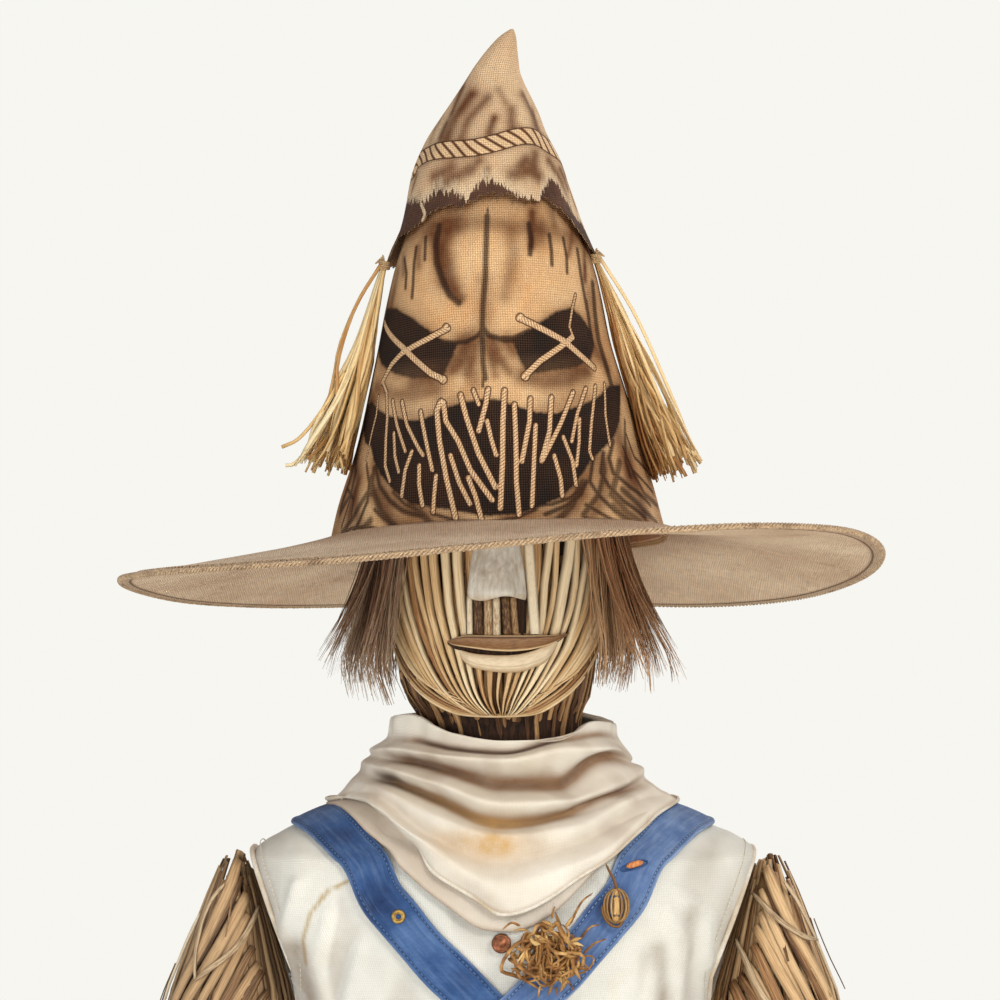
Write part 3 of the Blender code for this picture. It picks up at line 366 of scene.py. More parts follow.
class Look:
    """One procedural material, and short names for the nodes it uses."""

    def __init__(self, name):
        self.material = bpy.data.materials.new(name)
        self.material.use_nodes = True
        self.tree = self.material.node_tree
        self.shader = self.tree.nodes["Principled BSDF"]
        self.place = self.node("ShaderNodeTexCoord").outputs["Object"]

    def node(self, kind, **settings):
        made = self.tree.nodes.new(kind)
        for key, value in settings.items():
            setattr(made, key, value)
        return made

    def put(self, socket, value):
        if isinstance(value, bpy.types.NodeSocket):
            self.tree.links.new(value, socket)
        else:
            socket.default_value = value

    def math(self, operation, a, b=0.0, c=0.0, clamp=False):
        made = self.node("ShaderNodeMath", operation=operation, use_clamp=clamp)
        for socket, value in zip(made.inputs, (a, b, c)):
            self.put(socket, value)
        return made.outputs[0]

    def times(self, a, b, clamp=False):
        return self.math("MULTIPLY", a, b, clamp=clamp)

    def plus(self, a, b, clamp=False):
        return self.math("ADD", a, b, clamp=clamp)

    def minus(self, a, b, clamp=False):
        return self.math("SUBTRACT", a, b, clamp=clamp)

    def mix(self, share, a, b, blend="MIX"):
        made = self.node("ShaderNodeMix", data_type="RGBA", blend_type=blend)
        self.put(made.inputs[0], share)
        self.put(made.inputs[6], a)
        self.put(made.inputs[7], b)
        return made.outputs[2]

    def read(self, name, vector=False):
        made = self.node("ShaderNodeAttribute", attribute_name=name)
        return made.outputs["Vector" if vector else "Fac"]

    def stretch(self, vector, x, y, z):
        made = self.node("ShaderNodeVectorMath", operation="MULTIPLY")
        self.put(made.inputs[0], vector)
        made.inputs[1].default_value = (x, y, z)
        return made.outputs[0]

    def join(self, x, y, z=0.0):
        made = self.node("ShaderNodeCombineXYZ")
        for socket, value in zip(made.inputs, (x, y, z)):
            self.put(socket, value)
        return made.outputs[0]

    def split(self, vector):
        made = self.node("ShaderNodeSeparateXYZ")
        self.put(made.inputs[0], vector)
        return made.outputs

    def noise(self, vector, scale, detail=2.0, rough=0.55):
        made = self.node("ShaderNodeTexNoise")
        self.put(made.inputs["Vector"], vector)
        made.inputs["Scale"].default_value = scale
        made.inputs["Detail"].default_value = detail
        made.inputs["Roughness"].default_value = rough
        return made.outputs["Fac"]

    def remap(self, value, low, high, to_low=0.0, to_high=1.0, smooth=False):
        made = self.node("ShaderNodeMapRange", interpolation_type="SMOOTHSTEP" if smooth else "LINEAR")
        self.put(made.inputs[0], value)
        for socket, number in zip(made.inputs[1:5], (low, high, to_low, to_high)):
            self.put(socket, number)
        return made.outputs[0]

    def ramp(self, value, *stops):
        made = self.node("ShaderNodeValToRGB")
        self.put(made.inputs[0], value)
        line = made.color_ramp.elements
        while len(line) < len(stops):
            line.new(0.5)
        for element, (at, colour) in zip(line, stops):
            element.position = at
            element.color = colour
        return made.outputs["Color"]

    def bump(self, height, distance, strength=1.0):
        made = self.node("ShaderNodeBump")
        self.put(made.inputs["Height"], height)
        made.inputs["Distance"].default_value = distance
        made.inputs["Strength"].default_value = strength
        return made.outputs["Normal"]

    def weave(self, u, v, pitch):
        """Plain weave: (height of the threads, 1 on the threads that run along u)."""
        a = self.times(u, math.pi / pitch)
        b = self.times(v, math.pi / pitch)
        sa = self.math("SINE", a)
        sb = self.math("SINE", b)
        over = self.remap(self.times(sa, sb), -0.5, 0.5)
        under = self.minus(1.0, over)
        weft = self.times(self.math("ABSOLUTE", sb), self.plus(over, 0.35))
        warp = self.times(self.math("ABSOLUTE", sa), self.plus(under, 0.35))
        return self.math("MAXIMUM", weft, warp), over

    def finish(self, colour, rough=0.8, normal=None, sheen=0.0, metallic=0.0, coat=0.0):
        self.put(self.shader.inputs["Base Color"], colour)
        self.put(self.shader.inputs["Roughness"], rough)
        if normal is not None:
            self.put(self.shader.inputs["Normal"], normal)
        self.shader.inputs["Sheen Weight"].default_value = sheen
        self.shader.inputs["Sheen Roughness"].default_value = 0.5
        self.shader.inputs["Metallic"].default_value = metallic
        self.shader.inputs["Coat Weight"].default_value = coat
        self.shader.inputs["Specular IOR Level"].default_value = 0.5 if metallic else 0.28
        return self.material


# ---- cloth of the hat -------------------------------------------------------------------------

# A printed stroke is felt this far from its line, in millimetres of the design.
STROKE_REACH = 14.0
# Millimetres of the flat design for each metre round the hat, a little stretched across.
MM_ACROSS = 1050


def burlap_look(name, light, mid, printed=None):
    look = Look(name)
    u, v, _ = look.split(look.read("cloth", vector=True))
    wob = look.noise(look.join(u, v), 60.0, 2.0)
    drift = look.times(look.minus(wob, 0.5), 0.0016)
    uu = look.plus(u, drift)
    vv = look.minus(v, drift)
    threads, over = look.weave(uu, vv, 0.00145)
    slub_u = look.noise(look.join(look.times(u, 90.0), look.times(v, 700.0)), 1.0, 2.0)
    slub_v = look.noise(look.join(look.times(u, 700.0), look.times(v, 90.0)), 1.0, 2.0)
    slub = look.mix(over, slub_v, slub_u)
    patchy = look.noise(look.place, 28.0, 4.0, 0.6)
    cloth = look.mix(look.remap(patchy, 0.32, 0.7), rgb(*light), rgb(*mid))
    shade = look.times(look.remap(threads, 0.1, 0.95, 0.56, 1.10), look.remap(slub, 0.25, 0.75, 0.86, 1.12))
    grey = look.join(shade, shade, shade)
    ink_weave = look.remap(threads, 0.35, 1.0, 0.0, 1.0)
    colour = cloth
    if printed:
        # Printed brown smudges; on the crown they also carry the painted shade of its sides and the painted
        # shadow under the cap's edge.
        soft = look.times(look.read("smudge_and_painted_shade"), look.remap(patchy, 0.2, 0.8, 0.75, 1.2), clamp=True)
        colour = look.mix(soft, colour, rgb(104, 62, 36))
        brush = look.times(look.read("brush"), look.remap(threads, 0.1, 1.0, 1.05, 0.82), clamp=True)
        colour = look.mix(brush, colour, rgb(48, 29, 20))
        rag = look.times(look.minus(look.noise(look.join(u, v), 420.0, 3.0, 0.7), 0.5), 1.6)
        if printed == "cap":
            fringe = look.noise(look.join(look.times(u, 620.0), look.times(v, 60.0)), 1.0, 3.0, 0.7)
            torn = look.plus(look.read("torn"), look.times(look.minus(fringe, 0.5), 24.0))
            below = look.remap(torn, -0.5, 0.5, 1.0, 0.0)
            bleached = look.remap(torn, 0.3, 9.0, 0.75, 0.0)
            colour = look.mix(bleached, colour, rgb(221, 196, 160))
            dim = look.mix(look.remap(patchy, 0.3, 0.7), rgb(104, 72, 55), rgb(62, 44, 37))
            colour = look.mix(below, colour, dim)
            sliver = look.remap(look.plus(look.read("sliver"), look.times(rag, 0.5)), -0.3, 0.4, 1.0, 0.0)
            colour = look.mix(sliver, colour, rgb(214, 188, 150))
        dark = look.remap(look.plus(look.read("dark"), look.times(rag, 1.6)), -0.7, 1.1)
        fade = look.times(dark, look.read("fade"), clamp=True)
        warm = look.remap(look.noise(look.join(u, v), 26.0, 2.0), 0.4, 0.62)
        black = look.mix(ink_weave, rgb(12, 8, 7), look.mix(warm, rgb(50, 38, 31), rgb(68, 47, 34)))
        colour = look.mix(fade, colour, black)
        cord = look.read("cord")
        twist = look.plus(look.times(look.read("twist"), 2.9), look.times(look.read("side"), 2.4))
        if printed == "cap":
            twist = look.plus(look.times(look.read("twist"), 0.80), look.times(look.read("side"), 0.75))
        lay = look.math("SINE", twist)
        fine = look.math("SINE", look.times(twist, 3.0))
        fibre = look.mix(look.remap(lay, -0.95, 0.1), rgb(166, 120, 82), rgb(238, 200, 154))
        fibre = look.mix(look.remap(cord, -0.75, 0.0, 0.0, 0.6), fibre, rgb(150, 104, 68))
        if printed == "cap":
            fibre = look.mix(look.remap(fine, -1.0, 0.4), look.mix(0.22, fibre, rgb(110, 76, 52)), fibre)
            fibre = look.mix(look.remap(lay, -0.98, -0.55, 0.9, 0.0), fibre, rgb(70, 42, 26))
        edge = look.remap(cord, 0.55, 0.85, 1.0, 0.0)
        inside = look.remap(cord, -0.16, 0.1, 1.0, 0.0)
        colour = look.mix(look.times(edge, 0.85), colour, rgb(58, 38, 28))
        colour = look.mix(inside, colour, fibre)
    colour = look.mix(1.0, colour, grey, "MULTIPLY")
    normal = look.bump(look.plus(threads, look.times(slub, 0.5)), 0.0006, 0.75)
    material = look.finish(colour, look.remap(patchy, 0.3, 0.7, 0.84, 0.95), normal)
    look.shader.inputs["Specular IOR Level"].default_value = 0.12
    return material


def to_segments(points, lines):
    """Nearest distance, place along and signed side from points (n x 2) to each of several polylines."""
    best = np.full(len(points), 1e9)
    along = np.zeros(len(points))
    side = np.zeros(len(points))
    for grow, line in lines:
        line = np.asarray(line, float)
        run = 0.0
        near = ((points >= line.min(0) - 14) & (points <= line.max(0) + 14)).all(1)
        if not near.any():
            continue
        p = points[near]
        if len(line) == 1:
            line = np.concatenate([line, line + 0.01])
        for a, b in zip(line[:-1], line[1:]):
            ab = b - a
            long = np.hypot(*ab) + 1e-9
            t = np.clip(((p - a) @ ab) / long**2, 0, 1)
            off = p - a - t[:, None] * ab
            d = np.hypot(off[:, 0], off[:, 1]) - grow
            won = d < best[near]
            index = np.flatnonzero(near)[won]
            best[index] = d[won]
            along[index] = run + t[won] * long
            side[index] = (ab[0] * off[won, 1] - ab[1] * off[won, 0]) / long
            run += long
    return best, along, side


def inside_area(points, outline):
    """Signed distance into an outline: positive inside."""
    outline = np.asarray(outline, float)
    loop = np.concatenate([outline, outline[:1]])
    d, _, _ = to_segments(points, [(0.0, loop)])
    d = np.minimum(d, STROKE_REACH)
    odd = np.zeros(len(points), bool)
    for (x0, y0), (x1, y1) in zip(loop[:-1], loop[1:]):
        if y0 == y1:
            continue
        hit = (points[:, 1] > min(y0, y1)) & (points[:, 1] <= max(y0, y1))
        at = x0 + (points[:, 1] - y0) * (x1 - x0) / (y1 - y0)
        odd ^= hit & (points[:, 0] < at)
    return np.where(odd, d, -d)


def smudges(points, rows):
    clear = np.ones(len(points))
    for size, strength, line in rows:
        d, _, _ = to_segments(points, [(0.0, line)])
        clear *= 1 - strength * np.exp(-0.5 * (np.maximum(d, 0) / size) ** 2) * (d < STROKE_REACH)
    return 1 - clear


# The printed design, in millimetres across the front and above the brim. Its points were picked on
# the photograph, turned into millimetres by a scratch script and rounded; so were BROW, SHADE and
# SHADE_CAP below.
MOUTH_CORDS = (
    (1, ((-74.5, 93.5), (-77, 83.5), (-80, 72.5))),
    (1.1, ((-69.5, 83), (-71, 71.5), (-75, 59.5), (-78.5, 45.5))),
    (1.2, ((-66, 90), (-64, 84), (-64, 68.5), (-65.5, 54), (-66.5, 39), (-64, 29))),
    (1.2, ((-60.5, 78), (-58.5, 62.5), (-54, 46))),
    (1.3, ((-55, 76.5), (-52.5, 62), (-45.5, 46), (-43.5, 42.5))),
    (1.2, ((-60.5, 58), (-60.5, 44), (-58.5, 34))),
    (1.3, ((-50, 45.5), (-54.5, 34.5), (-57, 19))),
    (1.3, ((-44, 69), (-42.5, 58), (-38.5, 33))),
    (1.4, ((-46, 36.5), (-46.5, 25.5), (-45, 12.5))),
    (1.3, ((-36.5, 29.5), (-38, 18.5), (-39, 8))),
    (1.7, ((-32, 74), (-34.5, 68.5), (-33.5, 50), (-30.5, 27.5), (-26, 4))),
    (1.6, ((-30.5, 73), (-29.5, 62), (-22.5, 49), (-16, 31.5), (-4, 13))),
    (1.5, ((-27.5, 41), (-23, 24.5), (-17, 11.5))),
    (1.6, ((-20.5, 77), (-17.5, 63.5), (-11, 41), (-2, 20.5))),
    (1.5, ((-17.5, 27), (-13.5, 15.5), (-10.5, 2))),
    (1.5, ((-4.5, 79.5), (-6, 70.5), (-10.5, 54.5))),
    (1.2, ((-13, 79.5), (-10, 70.5))),
    (1.3, ((-5.5, 60.5), (-3.5, 49.5), (-1, 39.5))),
    (1.6, ((5, 78.5), (3.5, 60.5), (2.5, 36), (0.5, 8))),
    (1.5, ((10.5, 70), (10.5, 48), (10, 23.5), (11, 4))),
    (1.5, ((20, 73.5), (19, 60), (13.5, 35.5))),
    (1.4, ((22.5, 57.5), (20.5, 35.5), (18.5, 9))),
    (1.5, ((32.5, 74.5), (30.5, 54), (25, 36.5))),
    (1.4, ((45.5, 78), (38, 60), (25, 35.5))),
    (1.4, ((32.5, 39), (35.5, 25.5), (36, 15))),
    (1.3, ((38.5, 50.5), (43, 37), (44.5, 21.5))),
    (1.2, ((53, 81), (47.5, 64.5), (43.5, 48))),
    (1.2, ((49, 62), (48, 48), (45.5, 33.5))),
    (1.1, ((58.5, 83), (56, 61), (54, 42.5), (55.5, 38))),
    (1, ((64, 85), (64, 65.5), (66, 47))),
)
EYE_CORDS = (
    (1.9, ((-66, 130.5), (-54, 110), (-37.5, 91.5), (-30, 87))),
    (1.8, ((-27, 118), (-39, 113), (-55, 106.5), (-61, 101), (-66.5, 91.5))),
    (1.9, ((15, 122.5), (27, 116.5), (40.5, 109.5), (50, 101.5), (58, 94.5))),
    (1.8, ((17, 87), (26.5, 96.5), (40.5, 107), (46, 112))),
    (0.8, ((49.5, 139), (47, 130), (44.5, 118.5), (46.5, 112))),
)
KNOBS = (
    (2.4, ((-28, 118.5),)),
    (2.4, ((-30.5, 87),)),
    (2.2, ((-66.5, 91.5),)),
    (2.5, ((15.5, 122.5),)),
    (2.5, ((17.5, 87),)),
    (2, ((58, 94.5),)),
)
MOUTH_BAND = (
    (
        (
            (-78, 80), (-74.5, 82), (-69.5, 75), (-62, 69), (-52, 65), (-43.5, 64), (-35.5, 67),
            (-28, 70.5), (-17, 73), (-5.5, 74), (0.5, 73.5), (11, 69.5), (23, 65.5), (34.5, 65), (47, 69.5),
            (58, 75), (66, 84), (74, 87.5), (73, 63.5), (68, 51), (63, 45.5), (54, 36), (44, 21.5),
            (36, 14), (19.5, 7), (10, 4), (-9.5, 3.5), (-26, 8), (-41.5, 11), (-52, 14), (-62.5, 23.5),
            (-69, 33), (-73, 42.5), (-75, 52), (-80, 56), (-81, 67.5)
        )
    ),
)
EYES = (
    (
        (
            (-64.5, 139), (-58, 136), (-48, 127.5), (-36.5, 117), (-29.5, 110.5), (-21, 108.5),
            (-24.5, 100.5), (-30, 90), (-37.5, 88.5), (-48, 89.5), (-58.5, 94), (-67.5, 103), (-69.5, 114),
            (-67.5, 125)
        )
    ),
    (
        (
            (10, 110), (20, 115), (26, 119.5), (36, 127), (46.5, 130.5), (52, 126), (58, 117), (59, 108),
            (56, 98.5), (46.5, 93), (33.5, 90.5), (19, 88), (14, 97.5)
        )
    ),
)
INK_FACE = (
    (0.9, ((-1.5, 190.5), (-2, 174.5), (-3.5, 152.5), (-5.5, 130.5), (-6.5, 114.5), (-6, 103.5), (-7.5, 81))),
    (1.1, ((-21, 108.5), (-13.5, 110.5), (-6.5, 114.5))),
    (1.4, ((-6.5, 114.5), (1, 111), (10.5, 110.5), (20, 115))),
)
INK_CHEEK = (
    (1.7, ((-75, 32.5), (-73, 22.5), (-69, 10.5), (-59.5, -1))),
    (1.2, ((-59.5, -1), (-45.5, -3.5), (-31, -5.5), (-17, -7.5), (-5.5, -8.5))),
    (1.6, ((-52, 14), (-46, 8), (-40.5, 1.5))),
    (1.2, ((-5.5, -8.5), (5, -5.5), (25, -6))),
    (1.6, ((25, -5), (32.5, 0), (41, 9), (48.5, 23.5))),
    (1, ((27.5, -5.5), (46.5, -5))),
    (1.7, ((71, 37.5), (65.5, 17), (73.5, 6.5), (85.5, -3.5))),
    (1.5, ((71.5, 20), (83.5, 8.5), (93.5, 2.5))),
    (1.3, ((61.5, 39), (62, 30.5), (58, 16.5), (48, 4), (53.5, -3))),
    (1.5, ((79.5, 31), (86.5, 19), (95.5, 14))),
    (1.8, ((66, 9.5), (76.5, -2))),
    (1.3, ((76.5, 64), (75, 38), (77, 29))),
    (1.5, ((-81.5, 65), (-85, 53), (-87, 38.5), (-89.5, 26), (-95, 16.5))),
    (1.6, ((-77.5, 23), (-87, 9.5), (-95, 3))),
    (1.8, ((-75.5, 6.5), (-83, -2))),
    (1.2, ((-86, 49.5), (-90, 34.5), (-94.5, 20))),
    (1.3, ((-73, 38.5), (-75, 22.5))),
)
SMUDGE_FACE = (
    (5, 0.85, ((-32, 177.5), (-30.5, 163.5), (-27.5, 147.5))),
    (5.5, 0.7, ((-33, 182.5), (-20, 183))),
    (3, 0.6, ((-25.5, 144), (-18.5, 135.5))),
    (3, 0.5, ((-53, 168), (-53, 157))),
    (3, 0.45, ((-42.5, 170.5), (-43, 159))),
    (2.6, 0.7, ((25, 188.5), (24, 167))),
    (3, 0.5, ((36.5, 190), (38, 182))),
    (2.6, 0.9, ((53, 181), (55, 165), (55.5, 149.5))),
    (2.2, 0.5, ((48, 178.5), (46, 163.5))),
    (4, 0.75, ((-16, 107.5), (-22.5, 98))),
    (4, 0.75, ((-2.5, 109), (0.5, 98))),
    (4, 0.6, ((7, 108.5), (11, 102))),
    (5, 0.55, ((-29.5, 100), (-33, 89.5), (-48, 86.5))),
    (5, 0.5, ((21, 89), (33.5, 87), (52.5, 92.5))),
    (6, 0.35, ((-59, 163), (-64, 141))),
    (6, 0.35, ((58, 141), (58.5, 122.5))),
    (4.5, 0.45, ((-11.5, 113.5), (-20, 111))),
    (5, 0.35, ((-4.5, 146), (-5, 120))),
    (5, 0.4, ((-14, 98.5), (-12.5, 85.5))),
    (5, 0.4, ((29.5, 181), (29, 171.5))),
)
SMUDGE_CHEEK = (
    (4.5, 0.5, ((-83.5, 59), (-90, 34.5), (-95, 17.5))),
    (5, 0.6, ((-71.5, 22), (-62, 3.5), (-43, -3))),
    (4.5, 0.6, ((-36, -4), (-5.5, -9))),
    (5, 0.6, ((1.5, -6.5), (25, -5.5), (41, 6.5), (47, 16))),
    (5.5, 0.55, ((62.5, 36.5), (60.5, 16.5), (51.5, -0.5))),
    (6, 0.5, ((78, 45), (74, 17.5), (85.5, 1.5))),
    (5, 0.5, ((-86.5, 25), (-79.5, -1.5))),
    (6, 0.35, ((-56, 70), (-41.5, 64.5), (-26.5, 73))),
    (6, 0.35, ((27.5, 67.5), (52, 76))),
    (5, 0.5, ((-72, 74.5), (-75, 91))),
    (4, 0.5, ((-10, -2.5), (13.5, -5.5))),
)
ROPE_LINES = (
    (
        (
            (-44.5, 223.5), (-42.5, 228), (-36, 230), (-25, 229.5), (-11, 228.5), (-3, 229.5), (4.5, 231.5),
            (18.5, 236), (28.5, 236.5), (35.5, 233), (42, 228.5)
        )
    ),
)
TORN_LINES = (
    (
        (
            (-50.5, 204.5), (-46, 201.5), (-38.5, 198.5), (-34.5, 202.5), (-30.5, 203.5), (-23.5, 202),
            (-17, 200), (-13, 195.5), (-10, 202), (-2, 208), (4, 206), (10, 203.5), (14.5, 198.5),
            (22.5, 194.5), (24, 196.5), (28, 190), (31, 202.5), (37, 210.5), (41.5, 204), (45, 197.5),
            (51, 189), (55, 188), (57, 182.5)
        )
    ),
)
SMUDGE_CAP = (
    (3.5, 0.95, ((-28, 239.5), (-25.5, 247))),
    (3, 0.7, ((-23, 254.5), (-18.5, 270.5))),
    (2.4, 0.5, ((-18, 271.5), (-15, 282))),
    (2.6, 0.8, ((1, 238), (3.5, 248))),
    (3, 0.7, ((28, 247), (26.5, 255.5))),
    (4, 0.6, ((-32.5, 213.5), (-22.5, 217.5))),
    (3, 0.6, ((-9.5, 215), (-5.5, 220))),
    (3.6, 1, ((27.5, 225), (26.5, 216))),
    (3.4, 0.7, ((19, 216.5), (22, 221))),
    (2.2, 0.7, ((42, 218), (46.5, 206.5))),
    (2.6, 0.6, ((-44, 217.5), (-47, 207.5))),
    (2.2, 0.4, ((9.5, 258), (4.5, 267))),
    (2.4, 0.4, ((-35, 240.5), (-29, 256))),
    (2, 0.5, ((-6, 204), (-6, 191.5))),
    (3.2, 0.9, ((-47, 196), (-49, 188))),
    (3.2, 0.9, ((41, 199), (45.5, 184.5))),
    (2.6, 0.5, ((46, 215.5), (52, 198))),
)
SLIVER_LINES = (
    (((-40.5, 197.5), (-38.5, 190.5), (-41, 183.5), (-44, 179))),
)
ROPE = ROPE_LINES[0]
TORN = TORN_LINES[0]
SLIVER = SLIVER_LINES[0]


def curved_design(line, table):
    """A design line moved from the flat front view onto the unrolled cone."""
    line = np.asarray(line, float)
    width = smooth_table(table, line[:, 1] / 1000)[:, 0] * 1000
    turn = np.arcsin(np.clip(line[:, 0] / width, -0.995, 0.995))
    return np.stack([turn * width * 1.05, line[:, 1]], -1)


def front_turns(front, back):
    """Turns from -180 to 180 degrees, close together over the printed front."""
    a = np.linspace(-180, -96, back, endpoint=False)
    b = np.linspace(-96, 96, front, endpoint=False)
    c = np.linspace(96, 180, back, endpoint=False)
    return np.radians(np.concatenate([a, b, c]))


def cone(table, turn, height, out=0.0, crease=0.0):
    """Points of a hat layer; crease lets its folds swing in and out."""
    row = smooth_table(table, height)
    width = row[..., 0] + out + crease
    x = row[..., 1] + width * np.sin(turn)
    y = -HAT_DEPTH * width * np.cos(turn)
    return on_hat(np.stack([x, y, height], -1))


def folds(turn, height):
    base = np.clip(1 - height / 0.11, 0, 1)
    wave = np.sin(7 * turn + 0.8 + 14 * height) * 0.0011 + np.sin(13 * turn + 2.1) * 0.0006
    dents = 0.0011 * np.sin(3 * turn + 38 * height) * np.sin(24 * height + 0.7)
    return wave * base + dents


# Broad strokes of the brow, the bridge and the folds below the mouth.
BROW = (
    (3.4, ((-2, 186), (-3, 168), (-4, 148), (-6, 130), (-7, 113), (-7, 96), (-6, 86))),
    (4.2, ((-30, 182), (-32, 171), (-32, 159), (-29, 148), (-25, 138), (-20, 133))),
    (3.0, ((-52, 166), (-51, 156), (-52, 147))),
    (2.8, ((-44, 171), (-46, 159), (-47, 148), (-48, 140))),
    (2.6, ((-38, 176), (-39, 162))),
    (3.4, ((23, 181), (24, 171), (23, 162))),
    (2.8, ((35, 175), (36, 165), (36, 156))),
    (2.6, ((43, 174), (45, 162), (45, 152))),
    (3.4, ((51, 168), (53, 153), (55, 139), (57, 125))),
    (6.0, ((60, 148), (61, 130), (62, 113), (66, 96), (70, 79))),
    (3.2, ((56, 136), (57, 122), (58, 110))),
    (2.8, ((-40, 116), (-33, 111), (-24, 109), (-16, 109), (-10, 112), (-6, 116))),
    (3.4, ((-6, 116), (-3, 112), (6, 109), (14, 109), (24, 113))),
    (2.6, ((-81, 79), (-86, 67), (-88, 53), (-86, 39), (-90, 22), (-95, 7))),
    (3.0, ((-78, 42), (-76, 30), (-77, 19), (-82, 7), (-88, -2))),
    (3.2, ((-72, 39), (-70, 27), (-64, 17), (-56, 10), (-45, 6))),
    (2.2, ((-62, 22), (-55, 14), (-48, 10))),
    (2.4, ((-91, 30), (-87, 22), (-88, 10), (-94, 0))),
    (2.4, ((-96, 0), (-88, 4), (-76, 3), (-65, -2))),
    (2.4, ((-73, 13), (-68, 7), (-59, 1))),
    (3.2, ((68, 50), (65, 39), (67, 30), (76, 22), (90, 13))),
    (3.0, ((62, 42), (60, 30), (64, 22), (72, 13), (84, 4))),
    (2.8, ((56, 39), (53, 24), (58, 16), (67, 7), (78, 0))),
    (2.6, ((51, 24), (47, 16), (38, 9), (26, 4))),
    (2.6, ((74, 47), (79, 33), (93, 22))),
    (2.6, ((77, 56), (82, 42), (92, 32))),
    (2.4, ((50, 10), (61, 4), (72, -2))),
    (2.2, ((15, 9), (30, 10), (41, 14), (50, 22))),
    (2.0, ((-39, 7), (-25, 2), (-8, 0), (9, 2), (21, 7))),
)
# Airbrushed shade: radius, strength, line.
SHADE = (
    (4.5, 0.55, ((-24, 181), (-27, 168), (-25, 153), (-22, 142))),
    (4.2, 0.4, ((12, 176), (13, 162), (10, 148), (7, 136))),
    (4.0, 0.6, ((-57, 159), (-61, 142), (-63, 130))),
    (3.6, 0.7, ((-16, 107), (-19, 99), (-24, 93))),
    (3.0, 0.6, ((-10, 109), (-13, 99), (-16, 90))),
    (3.0, 0.6, ((-1, 108), (2, 99), (8, 90))),
    (2.4, 0.5, ((-4, 109), (-2, 99), (0, 88))),
    (4.5, 0.5, ((-71, 90), (-60, 82), (-48, 79), (-35, 81))),
    (4.5, 0.55, ((15, 87), (29, 83), (42, 85), (54, 90))),
    (6.0, 0.6, ((-83, 67), (-86, 50), (-84, 33), (-90, 13))),
    (6.5, 0.6, ((68, 67), (74, 44), (81, 22), (84, 7))),
    (5.0, 0.45, ((-38, 179), (-5, 182), (23, 179), (49, 175))),
    (5.0, 0.5, ((41, 113), (58, 108), (66, 96))),
    (5.0, 0.45, ((-72, 39), (-67, 22), (-50, 9), (-25, 1))),
    (5.0, 0.45, ((56, 39), (50, 22), (32, 7), (4, 1))),
)


turns = front_turns(300, 40)
heights = np.linspace(-0.004, 0.2045, 236)
T, H = np.meshgrid(turns, heights)
outer = cone(CROWN, T, H, 0.0, folds(T, H))
inner_h = np.linspace(0.2045, -0.004, 10)
Ti, Hi = np.meshgrid(turns, inner_h)
inner = cone(CROWN, Ti, Hi, -0.0014, folds(Ti, Hi))
width_at = smooth_table(CROWN, H)[..., 0]
flat = np.stack([T * width_at * MM_ACROSS, H * 1000], -1).reshape(-1, 2)


def design(rows):
    return [(*row[:-1], curved_design(row[-1], CROWN)) for row in rows]


ink = np.maximum.reduce([inside_area(flat, curved_design(row, CROWN)) for row in (*MOUTH_BAND, *EYES)])


def brushed(points, rows, soft):
    """Soft dark strokes: 1 in the middle of one."""
    clear = np.ones(len(points))
    for wide, line in rows:
        d, _, _ = to_segments(points, [(0.0, line)])
        edge = np.clip((d - wide * 0.25) / (wide * soft), 0, 1)
        clear *= 1 - (1 - edge * edge * (3 - 2 * edge)) * (d < STROKE_REACH)
    return 1 - clear


brush = 0.9 * brushed(flat, [(1.6 if w < 1.2 else w * 1.5, line) for w, line in design(INK_FACE)], 0.5)
brush = np.maximum(brush, 0.85 * brushed(flat, [(w * 2.4, line) for w, line in design(INK_CHEEK)], 0.7))
brush = np.maximum(brush, 0.95 * brushed(flat, design(BROW), 0.55))
# The eyes fade at their lower outer corners.
x_mm, h_mm = flat[:, 0], flat[:, 1]
fade = np.ones(len(flat))
eye_low = np.clip((h_mm - 86) / 16, 0, 1)
is_eye = (h_mm > 86) & (h_mm < 142) & (np.abs(x_mm) > 12)
fade = np.where(is_eye, 0.72 + 0.28 * eye_low, fade)
cord, cord_run, cord_side = to_segments(
    flat, [(w, line) for w, line in design(MOUTH_CORDS + EYE_CORDS + KNOBS)]
)
soft = smudges(
    flat, [(a * 0.9, min(b * 1.35, 0.96), c) for a, b, c in design(SMUDGE_FACE + SMUDGE_CHEEK + SHADE)]
)
halo = np.where(
    (h_mm > 80) & (h_mm < 150),
    0.62 * np.exp(-np.maximum(-ink, 0) / 3.6),
    0.40 * np.exp(-np.maximum(-ink, 0) / 3.0),
)
soft = 1 - (1 - soft) * (1 - halo * (ink > -30))
# Painted shade: the crown darkens towards its sides, in streaks and more strongly low down.
sides = np.clip((np.abs(np.degrees(T.ravel())) - 58) / 50, 0, 1)
side_shade_streaks = np.clip(ripple(31, T.ravel() * 9, np.cos(H.ravel() * 30), waves=8, low=0.6, high=2.4) - 0.25, 0, 1)
low_side_shade = np.clip(1 - H.ravel() / 0.09, 0, 1)
soft = (
    1
    - (1 - soft) * (1 - 0.75 * sides * side_shade_streaks) * (1 - 0.45 * low_side_shade * sides)
    * (1 - 0.35 * np.clip((np.abs(np.degrees(T.ravel())) - 50) / 30, 0, 1))
)
# Painted shadow: the layer above darkens the cloth just below its edge.
edge_h = np.interp(np.degrees(T.ravel()), CAP_EDGE[:, 0], CAP_EDGE[:, 1])
soft = 1 - (1 - soft) * (1 - 0.85 * np.exp(-np.abs(edge_h - H.ravel()) / 0.0085))
pad = len(inner.reshape(-1, 3))


def padded_values(values, fill):
    return np.concatenate([values, np.full(pad, fill)])


